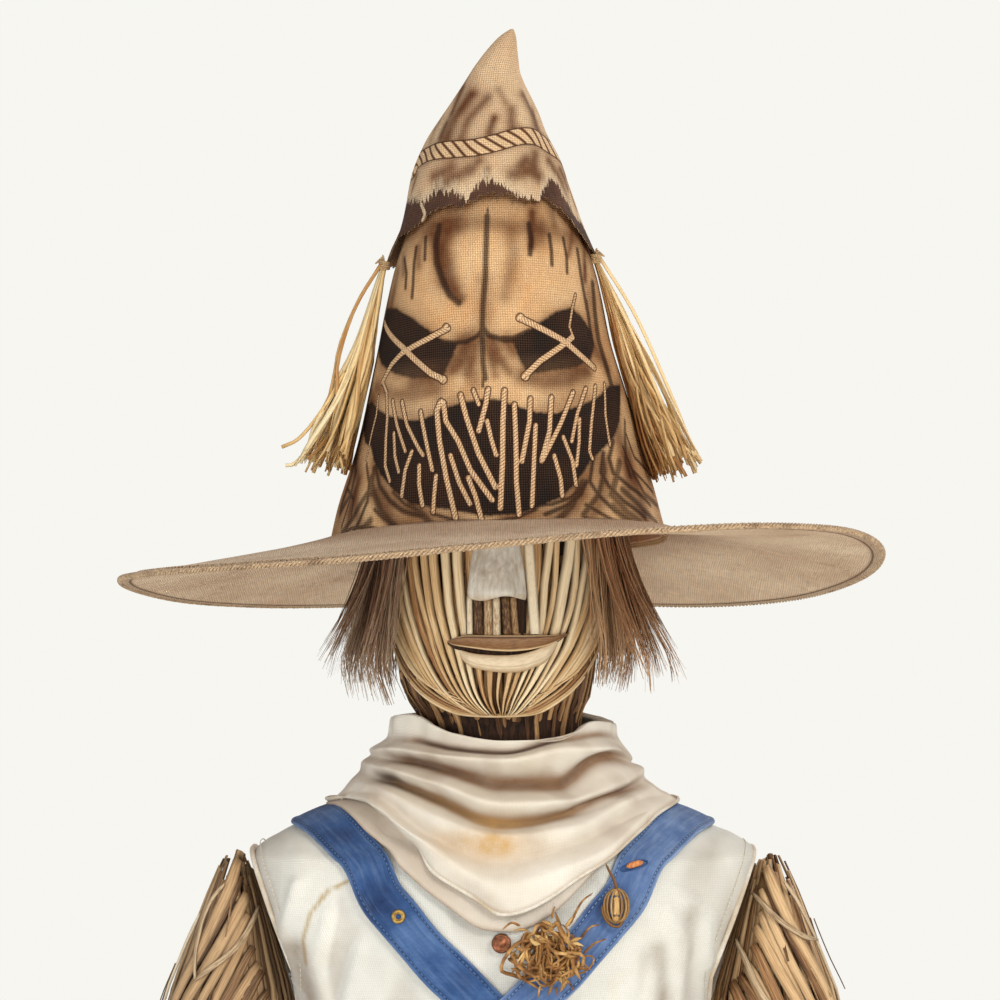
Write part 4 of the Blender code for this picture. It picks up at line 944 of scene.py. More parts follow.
cloth_uv = np.concatenate(
    [
        np.stack([flat[:, 0] / 1000, flat[:, 1] / 1000, 0 * flat[:, 0]], -1),
        np.stack([Ti.ravel() * 0.08, Hi.ravel(), 0 * Ti.ravel()], -1),
    ]
)
crown_look = burlap_look("printed_burlap_crown", (238, 198, 148), (218, 166, 114), printed="crown")
crown = build(
    "hat_crown_cloth",
    np.concatenate([outer.reshape(-1, 3), inner.reshape(-1, 3)]),
    grid_faces(len(heights) + len(inner_h), len(turns), around=True, closed=True),
    crown_look,
    "hat",
    floats={
        "dark": padded_values(ink, -9),
        "fade": padded_values(fade, 0),
        "brush": padded_values(brush, 0),
        "cord": padded_values(cord, 9),
        "twist": padded_values(cord_run, 0),
        "side": padded_values(cord_side, 0),
        "smudge_and_painted_shade": padded_values(np.clip(soft, 0, 1), 0.25),
    },
    vectors={"cloth": cloth_uv},
    replaces=("hat_crown",),
)

# ---- the torn upper layer ----------------------------------------------------------------------

turns = front_turns(290, 44)
levels = 150
share = np.linspace(0, 1, levels) ** 0.92
edge_h = np.interp(np.degrees(turns), CAP_EDGE[:, 0], CAP_EDGE[:, 1])
fray = 0.0009 * ripple(5, turns * 46) + 0.0007 * ripple(6, turns * 120)
edge_h = edge_h + fray
H = edge_h[None, :] + (CAP[-1, 0] - edge_h[None, :]) * share[:, None]
T = np.broadcast_to(turns, H.shape)


def cap_crease(turn, height):
    curl = np.exp(-((height - edge_h[None, :]) / 0.012)) * (0.0012 + 0.0011 * ripple(8, turn * 5))
    fade_up = np.clip((0.30 - height) / 0.05, 0, 1)
    return (
        (
            0.0010 * np.sin(5 * turn + 42 * height) * np.sin(30 * height)
            + 0.0006 * np.sin(9 * turn - 70 * height)
        ) * fade_up
        + curl
    )


outer = cone(CAP, T, H, 0.0, cap_crease(T, H))
inner_share = np.linspace(1, 0, 30) ** 0.92
Hi = edge_h[None, :] + (CAP[-1, 0] - edge_h[None, :]) * inner_share[:, None]
Ti = np.broadcast_to(turns, Hi.shape)
inner = cone(CAP, Ti, Hi, -0.0009, cap_crease(Ti, Hi))
inner_width = smooth_table(CAP, Hi)[..., 0]
inner[inner_width < 0.0025] = cone(CAP, Ti, Hi, -0.0002, 0.0)[inner_width < 0.0025]
width_at = smooth_table(CAP, H)[..., 0]
flat = np.stack([T * width_at * MM_ACROSS, H * 1000], -1).reshape(-1, 2)
pad = len(inner.reshape(-1, 3))
rope_line = curved_design(ROPE, CAP)
rope_line = smooth_path(rope_line, 60)
behind_x = math.pi * MM_ACROSS * float(smooth_table(CAP, 0.217)[0])
rope_line = np.concatenate(
    [
        np.linspace([-behind_x, 217.0], rope_line[0], 40)[:-1],
        rope_line,
        np.linspace(rope_line[-1], [behind_x, 217.0], 40)[1:],
    ]
)
torn_line = curved_design(TORN, CAP)
torn_left = torn_line[:1] + [[-60, -20]]
torn_right = torn_line[-1:] + [[60, -14]]
behind_x = math.pi * MM_ACROSS * float(smooth_table(CAP, 0.17)[0])
torn_line = np.concatenate([[[-behind_x, 140.0]], torn_left, torn_line, torn_right, [[behind_x, 140.0]]])
torn = flat[:, 1] - np.interp(flat[:, 0], torn_line[:, 0], torn_line[:, 1])
rope, rope_run, rope_side = to_segments(flat, [(5.2, rope_line)])
sliver, _, _ = to_segments(flat, [(1.1, curved_design(SLIVER, CAP))])
outline = (np.abs(rope - 0.4) < 0.5).astype(float)
# The same for the cap.
SHADE_CAP = (
    (4.0, 0.75, ((-11, 265), (-19, 251), (-25, 235))),
    (3.0, 0.6, ((-2, 262), (-12, 248), (-16, 235))),
    (3.4, 0.75, ((19, 265), (26, 251), (32, 238))),
    (3.0, 0.6, ((13, 254), (15, 242))),
    (4.0, 0.7, ((-30, 205), (-20, 211), (-13, 214))),
    (4.5, 0.75, ((14, 211), (24, 214), (29, 211))),
    (3.0, 0.7, ((36, 222), (42, 211), (46, 199))),
    (3.0, 0.55, ((-42, 202), (-45, 191))),
    (2.6, 0.6, ((-1, 214), (-3, 205))),
    (3.0, 0.6, ((39, 234), (45, 217))),
)
soft = smudges(
    flat, [(a * 0.9, min(b * 1.3, 0.95), curved_design(c, CAP)) for a, b, c in SMUDGE_CAP + SHADE_CAP]
)
soft = 1 - (1 - soft) * (1 - 0.8 * np.exp(-np.maximum(rope, 0) / 1.8))
behind = np.clip((np.abs(np.degrees(T.ravel())) - 70) / 40, 0, 1)
soft = 1 - (1 - soft) * (1 - 0.5 * behind * np.clip(ripple(41, T.ravel() * 6, H.ravel() * 20) - 0.2, 0, 1))
cloth_uv = np.concatenate(
    [
        np.stack([flat[:, 0] / 1000, flat[:, 1] / 1000, 0 * flat[:, 0]], -1),
        np.stack([Ti.ravel() * 0.05, Hi.ravel(), 0 * Ti.ravel()], -1),
    ]
)
cap_look = burlap_look("printed_burlap_cap", (228, 194, 152), (206, 166, 128), printed="cap")
cap = build(
    "hat_cap_cloth",
    np.concatenate([outer.reshape(-1, 3), inner.reshape(-1, 3)]),
    grid_faces(levels + 30, len(turns), around=True, closed=True),
    cap_look,
    "hat",
    floats={
        "dark": padded_values(np.full(len(flat), -9.0), -9),
        "fade": padded_values(np.zeros(len(flat)), 0),
        "brush": padded_values(np.zeros(len(flat)), 0),
        "cord": padded_values(rope, 9),
        "twist": padded_values(rope_run, 0),
        "side": padded_values(rope_side, 0),
        "torn": padded_values(torn, 20),
        "sliver": padded_values(sliver, 9),
        "smudge_and_painted_shade": padded_values(np.clip(soft, 0, 1), 0.3),
    },
    vectors={"cloth": cloth_uv},
    replaces=("hat_cap",),
)

# ---- brim --------------------------------------------------------------------------------------


# How far the brim's edge falls, in metres: all round, towards the front, in two and three waves, and
# at its ends. The values are simplified from a fit to the brim's outline.
EDGE_FALL, FRONT_RISE, TWO_WAVES, THREE_WAVES, END_LIFT = 0.0023, 0.0050, 0.0078, 0.0048, 0.0011


def brim_surface(turn, share, rise=0.0, reach=0.0):
    """turn counts from +X; share runs from 0 at the crown to 1 at the edge."""
    hole = np.stack([BRIM_HOLE * np.cos(turn), HAT_DEPTH * BRIM_HOLE * np.sin(turn)], -1)
    edge = np.stack([(BRIM_HALF_WIDTH + reach) * np.cos(turn), (BRIM_HALF_DEPTH + reach) * np.sin(turn)], -1)
    flat = hole + (edge - hole) * share[..., None]
    wave = 0.0025 * np.sin(2 * turn + 0.6) + 0.0015 * np.sin(3 * turn)
    wave = wave - FRONT_RISE * np.sin(turn) - TWO_WAVES * np.sin(2 * turn) - THREE_WAVES * np.sin(3 * turn)
    wave = wave + END_LIFT * (np.cos(turn) - np.cos(3 * turn) + np.cos(4 * turn))
    inside = np.clip(share, 0, 1)
    ripples = 0.0010 * np.sin(7 * turn + 5 * share) + 0.0006 * np.sin(15 * turn + 9 * share)
    bend = 0.95 + 0.40 * np.sin(turn)
    z = (
        rise - (EDGE_FALL + BRIM_DROOP) * inside**bend + wave * inside**1.6
        + ripples * inside * (1.15 - inside)
    )
    return on_hat(np.concatenate([flat, z[..., None]], -1))


around = np.linspace(0, TAU, 300, endpoint=False)
top_share = np.linspace(-0.02, 0.985, 34)
A, S = np.meshgrid(around, top_share)
top = brim_surface(A, S, BRIM_THICK * 0.85)
lip_share = np.array([1.0, 1.006, 1.0])
lip_rise = np.array([0.75, 0.45, 0.15]) * BRIM_THICK
A2, S2 = np.meshgrid(around, lip_share)
lip_ring = brim_surface(A2, S2, np.broadcast_to(lip_rise[:, None], A2.shape))
under_share = np.linspace(0.985, -0.02, 24)
A3, S3 = np.meshgrid(around, under_share)
under = brim_surface(A3, S3, 0.0)
points = np.concatenate([top.reshape(-1, 3), lip_ring.reshape(-1, 3), under.reshape(-1, 3)])
local = (points - HAT_CENTRE) @ HAT_TURN
share_all = np.concatenate([S.ravel(), S2.ravel(), S3.ravel()])
brim_look = Look("plain_burlap_brim")
u, v, _ = brim_look.split(brim_look.read("cloth", vector=True))
wob = brim_look.times(brim_look.minus(brim_look.noise(brim_look.join(u, v), 30.0, 2.0), 0.5), 0.003)
threads, over = brim_look.weave(brim_look.plus(u, wob), brim_look.minus(v, wob), 0.00135)
slub_u = brim_look.noise(brim_look.join(brim_look.times(u, 60.0), brim_look.times(v, 720.0)), 1.0, 2.0)
slub_v = brim_look.noise(brim_look.join(brim_look.times(u, 720.0), brim_look.times(v, 60.0)), 1.0, 2.0)
patchy = brim_look.noise(brim_look.place, 16.0, 5.0, 0.62)
colour = brim_look.mix(brim_look.remap(patchy, 0.3, 0.72), rgb(230, 205, 174), rgb(200, 168, 138))
blotch = brim_look.noise(brim_look.place, 55.0, 4.0, 0.7)
colour = brim_look.mix(brim_look.remap(blotch, 0.56, 0.74, 0.0, 0.4), colour, rgb(140, 106, 82))
# Painted shade darkens the brim towards the crown.
crown_join_painted_shade = brim_look.remap(brim_look.read("share"), 0.35, 0.0, 0.0, 0.55)
colour = brim_look.mix(crown_join_painted_shade, colour, rgb(139, 100, 72))
hem = brim_look.remap(
    brim_look.math("ABSOLUTE", brim_look.minus(brim_look.read("share"), 0.966)), 0.003, 0.008, 0.8, 0.0
)
colour = brim_look.mix(hem, colour, rgb(84, 58, 42))
band = brim_look.remap(
    brim_look.math("ABSOLUTE", brim_look.minus(brim_look.read("share"), 0.975)), 0.016, 0.030, 0.40, 0.0
)
colour = brim_look.mix(band, colour, rgb(118, 88, 62))
slub = brim_look.times(
    brim_look.remap(slub_u, 0.25, 0.75, 0.88, 1.1), brim_look.remap(slub_v, 0.25, 0.75, 0.88, 1.1)
)
tone = brim_look.times(brim_look.remap(threads, 0.1, 0.95, 0.60, 1.10), slub)
colour = brim_look.mix(1.0, colour, brim_look.join(tone, tone, tone), "MULTIPLY")
brim_material = brim_look.finish(colour, 0.92, brim_look.bump(threads, 0.0005, 0.7))
brim_look.shader.inputs["Specular IOR Level"].default_value = 0.12
brim = build(
    "hat_brim_cloth",
    points,
    grid_faces(34 + 3 + 24, 300, around=True, closed=True),
    brim_material,
    "hat",
    floats={"share": share_all},
    vectors={"cloth": np.stack([local[:, 0], local[:, 1], 0 * local[:, 0]], -1)},
    replaces=("hat_brim",),
)

# A three-strand plait along the edge, with a zigzag of stitches inside it.
plait_look = Look("plait_fibre")
fibre = plait_look.noise(plait_look.stretch(plait_look.place, 900, 900, 900), 1.0, 3.0, 0.6)
along = plait_look.noise(plait_look.stretch(plait_look.place, 60, 60, 60), 1.0, 2.0)
colour = plait_look.mix(plait_look.remap(fibre, 0.3, 0.7), rgb(126, 94, 66), rgb(216, 188, 150))
colour = plait_look.mix(plait_look.remap(along, 0.55, 0.7, 0.0, 0.5), colour, rgb(104, 76, 54))
plait_material = plait_look.finish(colour, 0.85, plait_look.bump(fibre, 0.0003, 0.6), sheen=0.1)

steps = 1500
lap = np.linspace(0, TAU, steps, endpoint=False)
edge_line = brim_surface(lap, np.full(steps, 1.0), BRIM_THICK / 2, 0.0016)
in_line = brim_surface(lap, np.full(steps, 0.98), BRIM_THICK / 2, 0.0)
outward = unit(edge_line - in_line)
upward = unit(np.cross(outward, np.roll(edge_line, -1, 0) - np.roll(edge_line, 1, 0)))
upward = np.where((upward[:, 2] < 0)[:, None], -upward, upward)
plait = []
for strand in range(3):
    phase = lap * 165 + TAU * strand / 3
    path = (
        edge_line + outward * (np.cos(phase) * 0.0011)[:, None] + upward * (np.sin(phase) * 0.0011)[:, None]
    )
    plait.append(tube(path, 0.00085, 5, closed=True))
points, faces, floats = joined(*plait)
build(
    "brim_plait",
    points,
    faces,
    plait_material,
    "hat",
    floats=floats,
    replaces=("brim_binding",),
)

stitch_paths = []
stitch_out = []
rng = np.random.default_rng(12)
for lower, upper, lean in ((0.925, 0.948, 1), (0.925, 0.948, -1), (0.948, 0.968, 1)):
    count = 330
    start = np.linspace(0, TAU, count, endpoint=False) + rng.normal(0, 0.0012, count)
    spread = TAU / count * 0.62 * lean
    t = np.linspace(0, 1, 5)
    a = start[:, None] + spread * t[None, :]
    s = lower + (upper - lower) * t[None, :] + rng.normal(0, 0.0008, (count, 1))
    lift = BRIM_THICK * 0.85 + 0.0002 + 0.0007 * np.sin(math.pi * t)[None, :] + (0.0004 if lean < 0 else 0.0)
    stitch_paths.append(brim_surface(a, s, np.broadcast_to(lift, a.shape)))
    stitch_out.append(np.broadcast_to(HAT_TURN[:, 2], (count, 5, 3)))
points, faces, floats = strips(
    np.concatenate(stitch_paths), 0.00052, 0.00042, np.concatenate(stitch_out), ROUND
)
build("brim_stitching", points, faces, plait_material, "hat", floats=floats)

# ---- sweatband and the straw ring inside the crown ----------------------------------------------

band_look = Look("sweatband_cotton")
grain = band_look.noise(band_look.stretch(band_look.place, 300, 300, 60), 1.0, 3.0)
twill = band_look.math(
    "SINE",
    band_look.times(
        band_look.plus(band_look.split(band_look.place)[0], band_look.split(band_look.place)[2]), 5200.0
    ),
)
colour = band_look.mix(band_look.remap(grain, 0.3, 0.7), rgb(196, 132, 66), rgb(158, 98, 48))
band_material = band_look.finish(colour, 0.7, band_look.bump(twill, 0.0002, 0.4), sheen=0.1)
turns = np.linspace(0, TAU, 160, endpoint=False)
rows = []
for height, inset in (
    (-0.0015, 0.0036), (0.0, 0.0030), (0.010, 0.0030), (0.020, 0.0030), (0.0275, 0.0032), (0.028, 0.0038),
    (0.027, 0.0046), (0.010, 0.0044), (-0.001, 0.0045)
):
    wave = 0.0003 * np.sin(23 * turns) + 0.0004 * np.sin(11 * turns + 1)
    rows.append(cone(CROWN, turns, np.full(160, max(height, -0.004)), -inset, wave))
band = build(
    "sweatband_cloth", np.stack(rows), grid_faces(9, 160, around=True, closed=True), band_material, "hat",
    replaces=("sweatband",),
)

# ---- straw, reed and wood ----------------------------------------------------------------------


def stalk_look(name, dark, mid, light, along=45.0, gloss=0.55, spread=1.0, weather=0.0, edges=0.55):
    """Dry stalks: each its own tone, streaked lengthwise, with painted shade darkening each at its sides."""
    look = Look(name)
    tint = look.read("tint")
    run = look.read("along")
    across = look.read("across")
    cell = look.times(tint, 37.0)
    streak = look.noise(look.join(look.times(run, 7.0), look.times(across, 4.0), cell), 1.0, 4.0, 0.65)
    fibre = look.noise(look.join(look.times(run, along), look.times(across, 9.0), cell), 1.0, 3.0, 0.6)
    tone = look.plus(
        look.times(look.minus(tint, 0.5), spread), look.remap(streak, 0.25, 0.75, 0.05, 0.95), clamp=True
    )
    colour = look.ramp(tone, (0.0, rgb(*dark)), (0.45, rgb(*mid)), (1.0, rgb(*light)))
    colour = look.mix(look.remap(fibre, 0.56, 0.75, 0.0, 0.45), colour, rgb(*dark))
    # Painted shade: each stalk darkens towards its sides, where the gaps between stalks fall into shade.
    side = look.remap(look.math("ABSOLUTE", across), 0.55, 1.0, 0.0, edges)
    colour = look.mix(side, colour, rgb(*(0.45 * c for c in dark)))
    if weather:
        spot = look.noise(look.place, 120.0, 3.0, 0.7)
        colour = look.mix(look.remap(spot, 0.55, 0.75, 0.0, weather), colour, rgb(*(0.5 * c for c in dark)))
    return look.finish(colour, look.remap(fibre, 0.3, 0.7, gloss, gloss + 0.2), look.bump(fibre, 0.0004, 0.6))


def head_row(z, grow):
    row = smooth_table(HEAD, z)
    return row[..., 0] + grow, row[..., 1] + grow, row[..., 2]


def head_at(turn, z, grow):
    a, b, cy = head_row(z, grow)
    x = HEAD_X + a * signed_power(np.cos(turn), 2 / HEAD_POWER)
    y = cy + b * signed_power(np.sin(turn), 2 / HEAD_POWER)
    return np.stack(np.broadcast_arrays(x, y, z), -1)


def face_y(x, z, grow=0.0077):
    """The front of the slatted face at x and z."""
    a, b, cy = head_row(np.asarray(z, float), grow)
    u = np.clip(np.abs((np.asarray(x, float) - HEAD_X) / a), 0, 0.985)
    return cy - b * (1 - u**HEAD_POWER) ** (1 / HEAD_POWER)


face_look = stalk_look(
    "reed_slats", (146, 98, 56), (216, 180, 128), (244, 226, 188), along=24.0, gloss=0.45, spread=0.9,
    edges=0.7
)
grey_look = Look("weathered_grey_reed")
grain = grey_look.noise(grey_look.stretch(grey_look.place, 420, 420, 26), 1.0, 4.0, 0.6)
stain = grey_look.noise(grey_look.place, 60.0, 4.0, 0.6)
colour = grey_look.mix(grey_look.remap(grain, 0.3, 0.7), rgb(192, 184, 166), rgb(232, 229, 218))
colour = grey_look.mix(grey_look.remap(stain, 0.5, 0.7, 0.0, 0.55), colour, rgb(140, 116, 86))
low = grey_look.remap(grey_look.split(grey_look.place)[2], 0.7075, 0.7025, 0.0, 0.75)
colour = grey_look.mix(low, colour, rgb(166, 134, 92))
nose_material = grey_look.finish(colour, 0.55, grey_look.bump(grain, 0.0003, 0.5))
# Near-black straw for the cores, standing for the shade between the stalks where it shows through; the same
# material is the dark sheet of painted shade behind the nostril slats.
dark_look = Look("dark_straw_and_painted_shade")
grain = dark_look.noise(dark_look.stretch(dark_look.place, 500, 500, 40), 1.0, 4.0, 0.65)
dark_core_and_shade_material = dark_look.finish(
    dark_look.mix(dark_look.remap(grain, 0.35, 0.75), rgb(26, 17, 12), rgb(74, 48, 30)),
    0.9,
    dark_look.bump(grain, 0.0008, 0.8),
)

# The edge of the face: as it runs down to the chin, the slats crowd together.
FACE_EDGE = np.array(
    [
        (0.6355, -112, -66), (0.638, -121, -59), (0.643, -134, -49), (0.650, -147, -37), (0.662, -159, -24),
        (0.677, -171, -10), (0.705, -186, 5), (0.740, -194, 13), (0.796, -196, 16),
    ]
)
slat_z = np.concatenate(
    [np.linspace(0.795, 0.70, 9), np.linspace(0.694, 0.650, 13), np.linspace(0.647, 0.6357, 8)]
)
rng = np.random.default_rng(3)
count = 31
widths = rng.uniform(0.7, 1.35, count)
ends = np.concatenate([[0], np.cumsum(widths)]) / widths.sum()
edges = smooth_table(FACE_EDGE, slat_z)
left = np.radians(edges[:, 0])
right = np.radians(edges[:, 1])
mid = (ends[:-1] + ends[1:]) / 2
turn = left[None, :] + (right - left)[None, :] * mid[:, None]
turn = turn + 0.010 * ripple(9, mid[:, None] * 60, slat_z[None, :] * 60)
z_here = np.broadcast_to(slat_z, turn.shape).copy()
# Side slats follow the jaw and stop short of the chin.
reach = np.clip(np.abs(mid - 0.5) * 2, 0, 1)
base_z = 0.6357 + 0.012 * np.clip((reach - 0.62) / 0.38, 0, 1) ** 1.2
scale = (z_here - 0.6357) / (0.795 - 0.6357)
z_here = base_z[:, None] + scale * (0.795 - base_z[:, None])
lift = (
    0.0056 + rng.uniform(-0.0008, 0.0012, count)[:, None]
    + 0.0005 * ripple(10, mid[:, None] * 90, slat_z[None, :] * 50)
)
paths = head_at(turn, z_here, lift)
span = (ends[1:] - ends[:-1])[:, None] * np.abs(right - left)[None, :]
radius = 0.060 * (0.4 + 0.6 * np.clip((slat_z - 0.630) / 0.05, 0, 1))
half = span * radius[None, :] * 0.5 * 0.90
a, b, cy = head_row(z_here, 0.0)
out = unit(
    np.stack([np.cos(turn) * b, np.sin(turn) * a, -0.35 * a * np.clip((0.655 - z_here) / 0.02, 0, 1)], -1)
)
points, faces, floats = strips(paths, half, 0.0019, out, REED)
build(
    "face_reed_slats", points, faces, face_look, "head", floats=floats, replaces=("face_slats",),
)

# The jaw's rim: thin split reeds laid along the edge of the face.
rim = []
for offset, lift_rim in ((0.0, 0.0072), (-3.5, 0.0064), (3.2, 0.0070), (-6.5, 0.0056)):
    levels = np.concatenate([np.linspace(0.715, 0.650, 16), np.linspace(0.647, 0.6362, 8)])
    e = smooth_table(FACE_EDGE, levels)
    l_turn = np.radians(e[:, 0] - offset)
    r_turn = np.radians(e[:, 1] + offset)
    bottom = np.radians(np.linspace(e[-1, 0] - offset, e[-1, 1] + offset, 9))[1:-1]
    turns = np.concatenate([l_turn, bottom, r_turn[::-1]])
    zs = np.concatenate(
        [levels, np.full(7, 0.6358) - 0.0009 * np.sin(np.linspace(0, math.pi, 9))[1:-1], levels[::-1]]
    )
    path = head_at(turns, zs, lift_rim)
    path[:, 2] -= 0.0004 * offset / 3.5
    rim.append(path)
out = unit(np.stack(rim) - np.array([HEAD_X, 0.0, 0.69]))
points, faces, floats = strips(np.stack(rim), 0.0014, 0.0011, out, CROWNED)
build("jaw_rim_reeds", points, faces, face_look, "head", floats=floats)

# Straw under and behind the face, running down into the neck.
NECK = np.array(
    [
        (0.5900, 0.0480, 0.0480, 0.0), (0.602, 0.0485, 0.0485, 0.0), (0.615, 0.0497, 0.0497, 0.0),
        (0.632, 0.0522, 0.0520, -0.001),
        (0.645, 0.0552, 0.0575, -0.003), (0.660, 0.0585, 0.0665, -0.003), (0.680, 0.0600, 0.0715, -0.001),
        (0.705, 0.0625, 0.0735, 0.0), (0.745, 0.0640, 0.0730, 0.001), (0.780, 0.0630, 0.0705, 0.004),
    ]
)


def neck_at(turn, z, grow):
    row = smooth_table(NECK, z)
    x = (
        HEAD_X * np.clip((z - 0.62) / 0.03, 0, 1)
        + (row[..., 0] + grow) * signed_power(np.cos(turn), 2 / HEAD_POWER)
    )
    y = row[..., 2] + (row[..., 1] + grow) * signed_power(np.sin(turn), 2 / HEAD_POWER)
    return np.stack(np.broadcast_arrays(x, y, z), -1)


neck_look = stalk_look(
    "neck_straw", (58, 36, 22), (122, 84, 52), (188, 146, 98), along=40.0, gloss=0.6, spread=1.1,
    weather=0.4
)
neck = []
for layer, (count, grow, half_w, seed) in enumerate(((80, -0.0022, 0.0026, 21), (74, -0.0002, 0.0021, 22))):
    rng = np.random.default_rng(seed)
    turn0 = np.linspace(0, TAU, count, endpoint=False) + rng.uniform(-0.05, 0.05, count)
    top = rng.uniform(0.70, 0.778, count)
    share = np.linspace(0, 1, 16)
    z = 0.5905 + (top[:, None] - 0.5905) * share[None, :]
    turn = (
        turn0[:, None] + rng.uniform(-0.10, 0.10, count)[:, None] * (1 - share)[None, :]
        + 0.02 * ripple(seed, turn0[:, None] * 31, share[None, :] * 4)
    )
    bulge = (
        grow + rng.uniform(-0.0008, 0.0008, count)[:, None]
        + 0.0006 * ripple(seed + 5, turn0[:, None] * 40, share[None, :] * 7)
    )
    # Inside the scarf the bundle is bound tighter, so it turns without touching the cloth.
    path = neck_at(turn, z, bulge - 0.0048 * np.clip((0.642 - z) / 0.009, 0, 1))
    outward = np.stack([np.cos(turn), np.sin(turn), 0 * turn], -1)
    neck.append(strips(path, (half_w * rng.uniform(0.6, 1.25, count))[:, None], 0.0011, outward, CROWNED))
levels = np.linspace(0.5895, 0.80, 26)
turns = np.linspace(0, TAU, 64, endpoint=False)
T, Z = np.meshgrid(turns, levels)
core_points = neck_at(T, Z, -0.0042)
top_ring = np.stack([HEAD_X + 0 * turns, 0.004 + 0 * turns, np.full(64, 0.872)], -1)
dome = []
for z, grow in ((0.83, 0.0035), (0.85, 0.0030), (0.865, 0.002), (0.8745, 0.0)):
    dome.append(head_at(turns, np.full(64, z), grow))
core_points = np.concatenate([core_points.reshape(-1, 3), *dome, top_ring])
low_ring = np.stack([0.02 * np.cos(turns), 0.02 * np.sin(turns), np.full(64, 0.5897)], -1)
core_points = np.concatenate([low_ring, core_points])
build(
    "head_straw_core", core_points, grid_faces(26 + 5 + 1, 64, around=True), dark_core_and_shade_material, "head",
    replaces=("head_core",),
)
points, faces, floats = joined(*neck)
build(
    "neck_straws",
    points,
    faces,
    neck_look,
    "head",
    floats=floats,
    replaces=("neck_bundle",),
)

# ---- nose --------------------------------------------------------------------------------------

NOSE_SECTION = np.array(
    [
        (-1.0, 0.0), (-0.99, 0.35), (-0.95, 0.60), (-0.80, 0.70), (-0.40, 0.84), (0.05, 0.98), (0.20, 1.0),
        (0.36, 0.98), (0.46, 0.86), (0.70, 0.66), (0.95, 0.46), (1.0, 0.22), (1.0, 0.0)
    ]
)
nose_rows = np.array(
    [
        (0.7040, 0.0166, 0.0172), (0.7052, 0.0172, 0.0184), (0.7085, 0.0172, 0.0186),
        (0.714, 0.0166, 0.0165), (0.722, 0.0158, 0.0132),
        (0.730, 0.0146, 0.0098), (0.744, 0.0110, 0.0062),
    ]
)
fine = smooth_path(nose_rows, 26)
rows = []
section = smooth_path(NOSE_SECTION, 44)
for z, half, deep in fine:
    x = -0.0036 + half * section[:, 0]
    fold = 0.0009 * np.exp(-(((x + 0.0110) / 0.0022) ** 2)) + 0.0011 * np.exp(-(((x - 0.0058) / 0.0016) ** 2))
    zz = z - 0.0014 * np.sin((section[:, 0] + 1) * math.pi * 1.15) * np.clip((0.712 - z) / 0.008, 0, 1)
    base = face_y(x, z, 0.0060)
    rows.append(np.stack([x, base - deep * section[:, 1] - fold * (section[:, 1] > 0.2), zz], -1))
rows = np.array(rows)
under = rows[0] * [0.88, 1, 1] + [-0.0004, 0, 0.0007]
under[:, 1] = (
    face_y(under[:, 0], 0.7040, 0.0060)
    - (rows[0, :, 1] * -1 + face_y(rows[0, :, 0], 0.7040, 0.0060)) * 0.86
)
lid = under.copy()
lid[:, 1] = face_y(under[:, 0], 0.7040, 0.0052)
lid[:, 2] += 0.0030
rows = np.concatenate([[lid], [under], rows])
build(
    "folded_nose",
    rows,
    grid_faces(len(rows), 44, around=True),
    nose_material,
    "head",
    replaces=("nose",),
)

# Split slats hang in the shade below the nose.
NOSTRILS = (
    # x, half width, top, bottom, how far forward, tone
    (-0.0196, 0.0017, 0.7050, 0.6832, 0.0040, 0.80), (-0.0146, 0.0030, 0.7045, 0.6829, 0.0026, 0.20),
    (-0.0088, 0.0025, 0.7045, 0.6829, 0.0044, 0.50), (-0.0040, 0.0022, 0.7045, 0.6829, 0.0050, 0.66),
    (0.0012, 0.0027, 0.7045, 0.6829, 0.0030, 0.24), (0.0058, 0.0019, 0.7045, 0.6832, 0.0042, 0.42),
    (0.0146, 0.0029, 0.7400, 0.6832, 0.0046, 0.98),
)
paths = []
for x, half, top, low, out_by, tone in NOSTRILS:
    z = np.linspace(top, low, 8)
    drift = (0.0040 if x > 0.01 else 0.0015 if x > 0 else 0.0003) * np.linspace(0, 1, 8)
    xs = x + drift
    paths.append(np.stack([xs, face_y(xs, z) - out_by * np.linspace(1, 0.65, 8), z], -1))
half = np.array([row[1] for row in NOSTRILS])[:, None] * np.linspace(1.0, 1.06, 8)[None, :]
points, faces, floats = strips(paths, half, 0.0016, np.array([0.0, -1.0, 0.0]), REED)
tone = np.array([row[5] for row in NOSTRILS])
floats["tint"] = np.repeat(tone, 8 * len(REED))
nostril_look = stalk_look(
    "nostril_reeds", (74, 46, 26), (158, 122, 80), (232, 216, 184), along=30.0, gloss=0.5, spread=1.6
)
build("nostril_slats", points, faces, nostril_look, "head", floats=floats)
shade_x, shade_z = np.meshgrid(np.linspace(-0.0215, 0.0135, 14), np.linspace(0.7046, 0.6835, 8))
build(
    "nostril_shade", np.stack([shade_x, face_y(shade_x, shade_z) - 0.0012, shade_z], -1), grid_faces(8, 14),
    dark_core_and_shade_material, "head",
)

# ---- mouth -------------------------------------------------------------------------------------

UPPER_LIP = np.array(
    [
        (-0.0325, 0.6787, 0.6783), (-0.0295, 0.6803, 0.6768), (-0.0255, 0.6816, 0.6760),
        (-0.0210, 0.6824, 0.6754),
        (-0.0130, 0.6825, 0.6743), (-0.0056, 0.6825, 0.6735), (0.0037, 0.6825, 0.6731),
        (0.0131, 0.6824, 0.6737),
        (0.0225, 0.6823, 0.6754), (0.0300, 0.6822, 0.6781), (0.0345, 0.6824, 0.6803),
        (0.0388, 0.6831, 0.6827),
    ]
)
LOWER_LIP = np.array(
    [
        (-0.0258, 0.6742, 0.6736), (-0.0237, 0.6734, 0.6680), (-0.0190, 0.6722, 0.6642),
        (-0.0137, 0.6714, 0.6624),
        (-0.0070, 0.6709, 0.6613), (-0.0003, 0.6707, 0.6606), (0.0065, 0.6710, 0.6607),
        (0.0131, 0.6721, 0.6616),
        (0.0184, 0.6737, 0.6636), (0.0235, 0.6758, 0.6657), (0.0264, 0.6770, 0.6682),
        (0.0295, 0.6783, 0.6727),
        (0.0324, 0.6793, 0.6786),
    ]
)


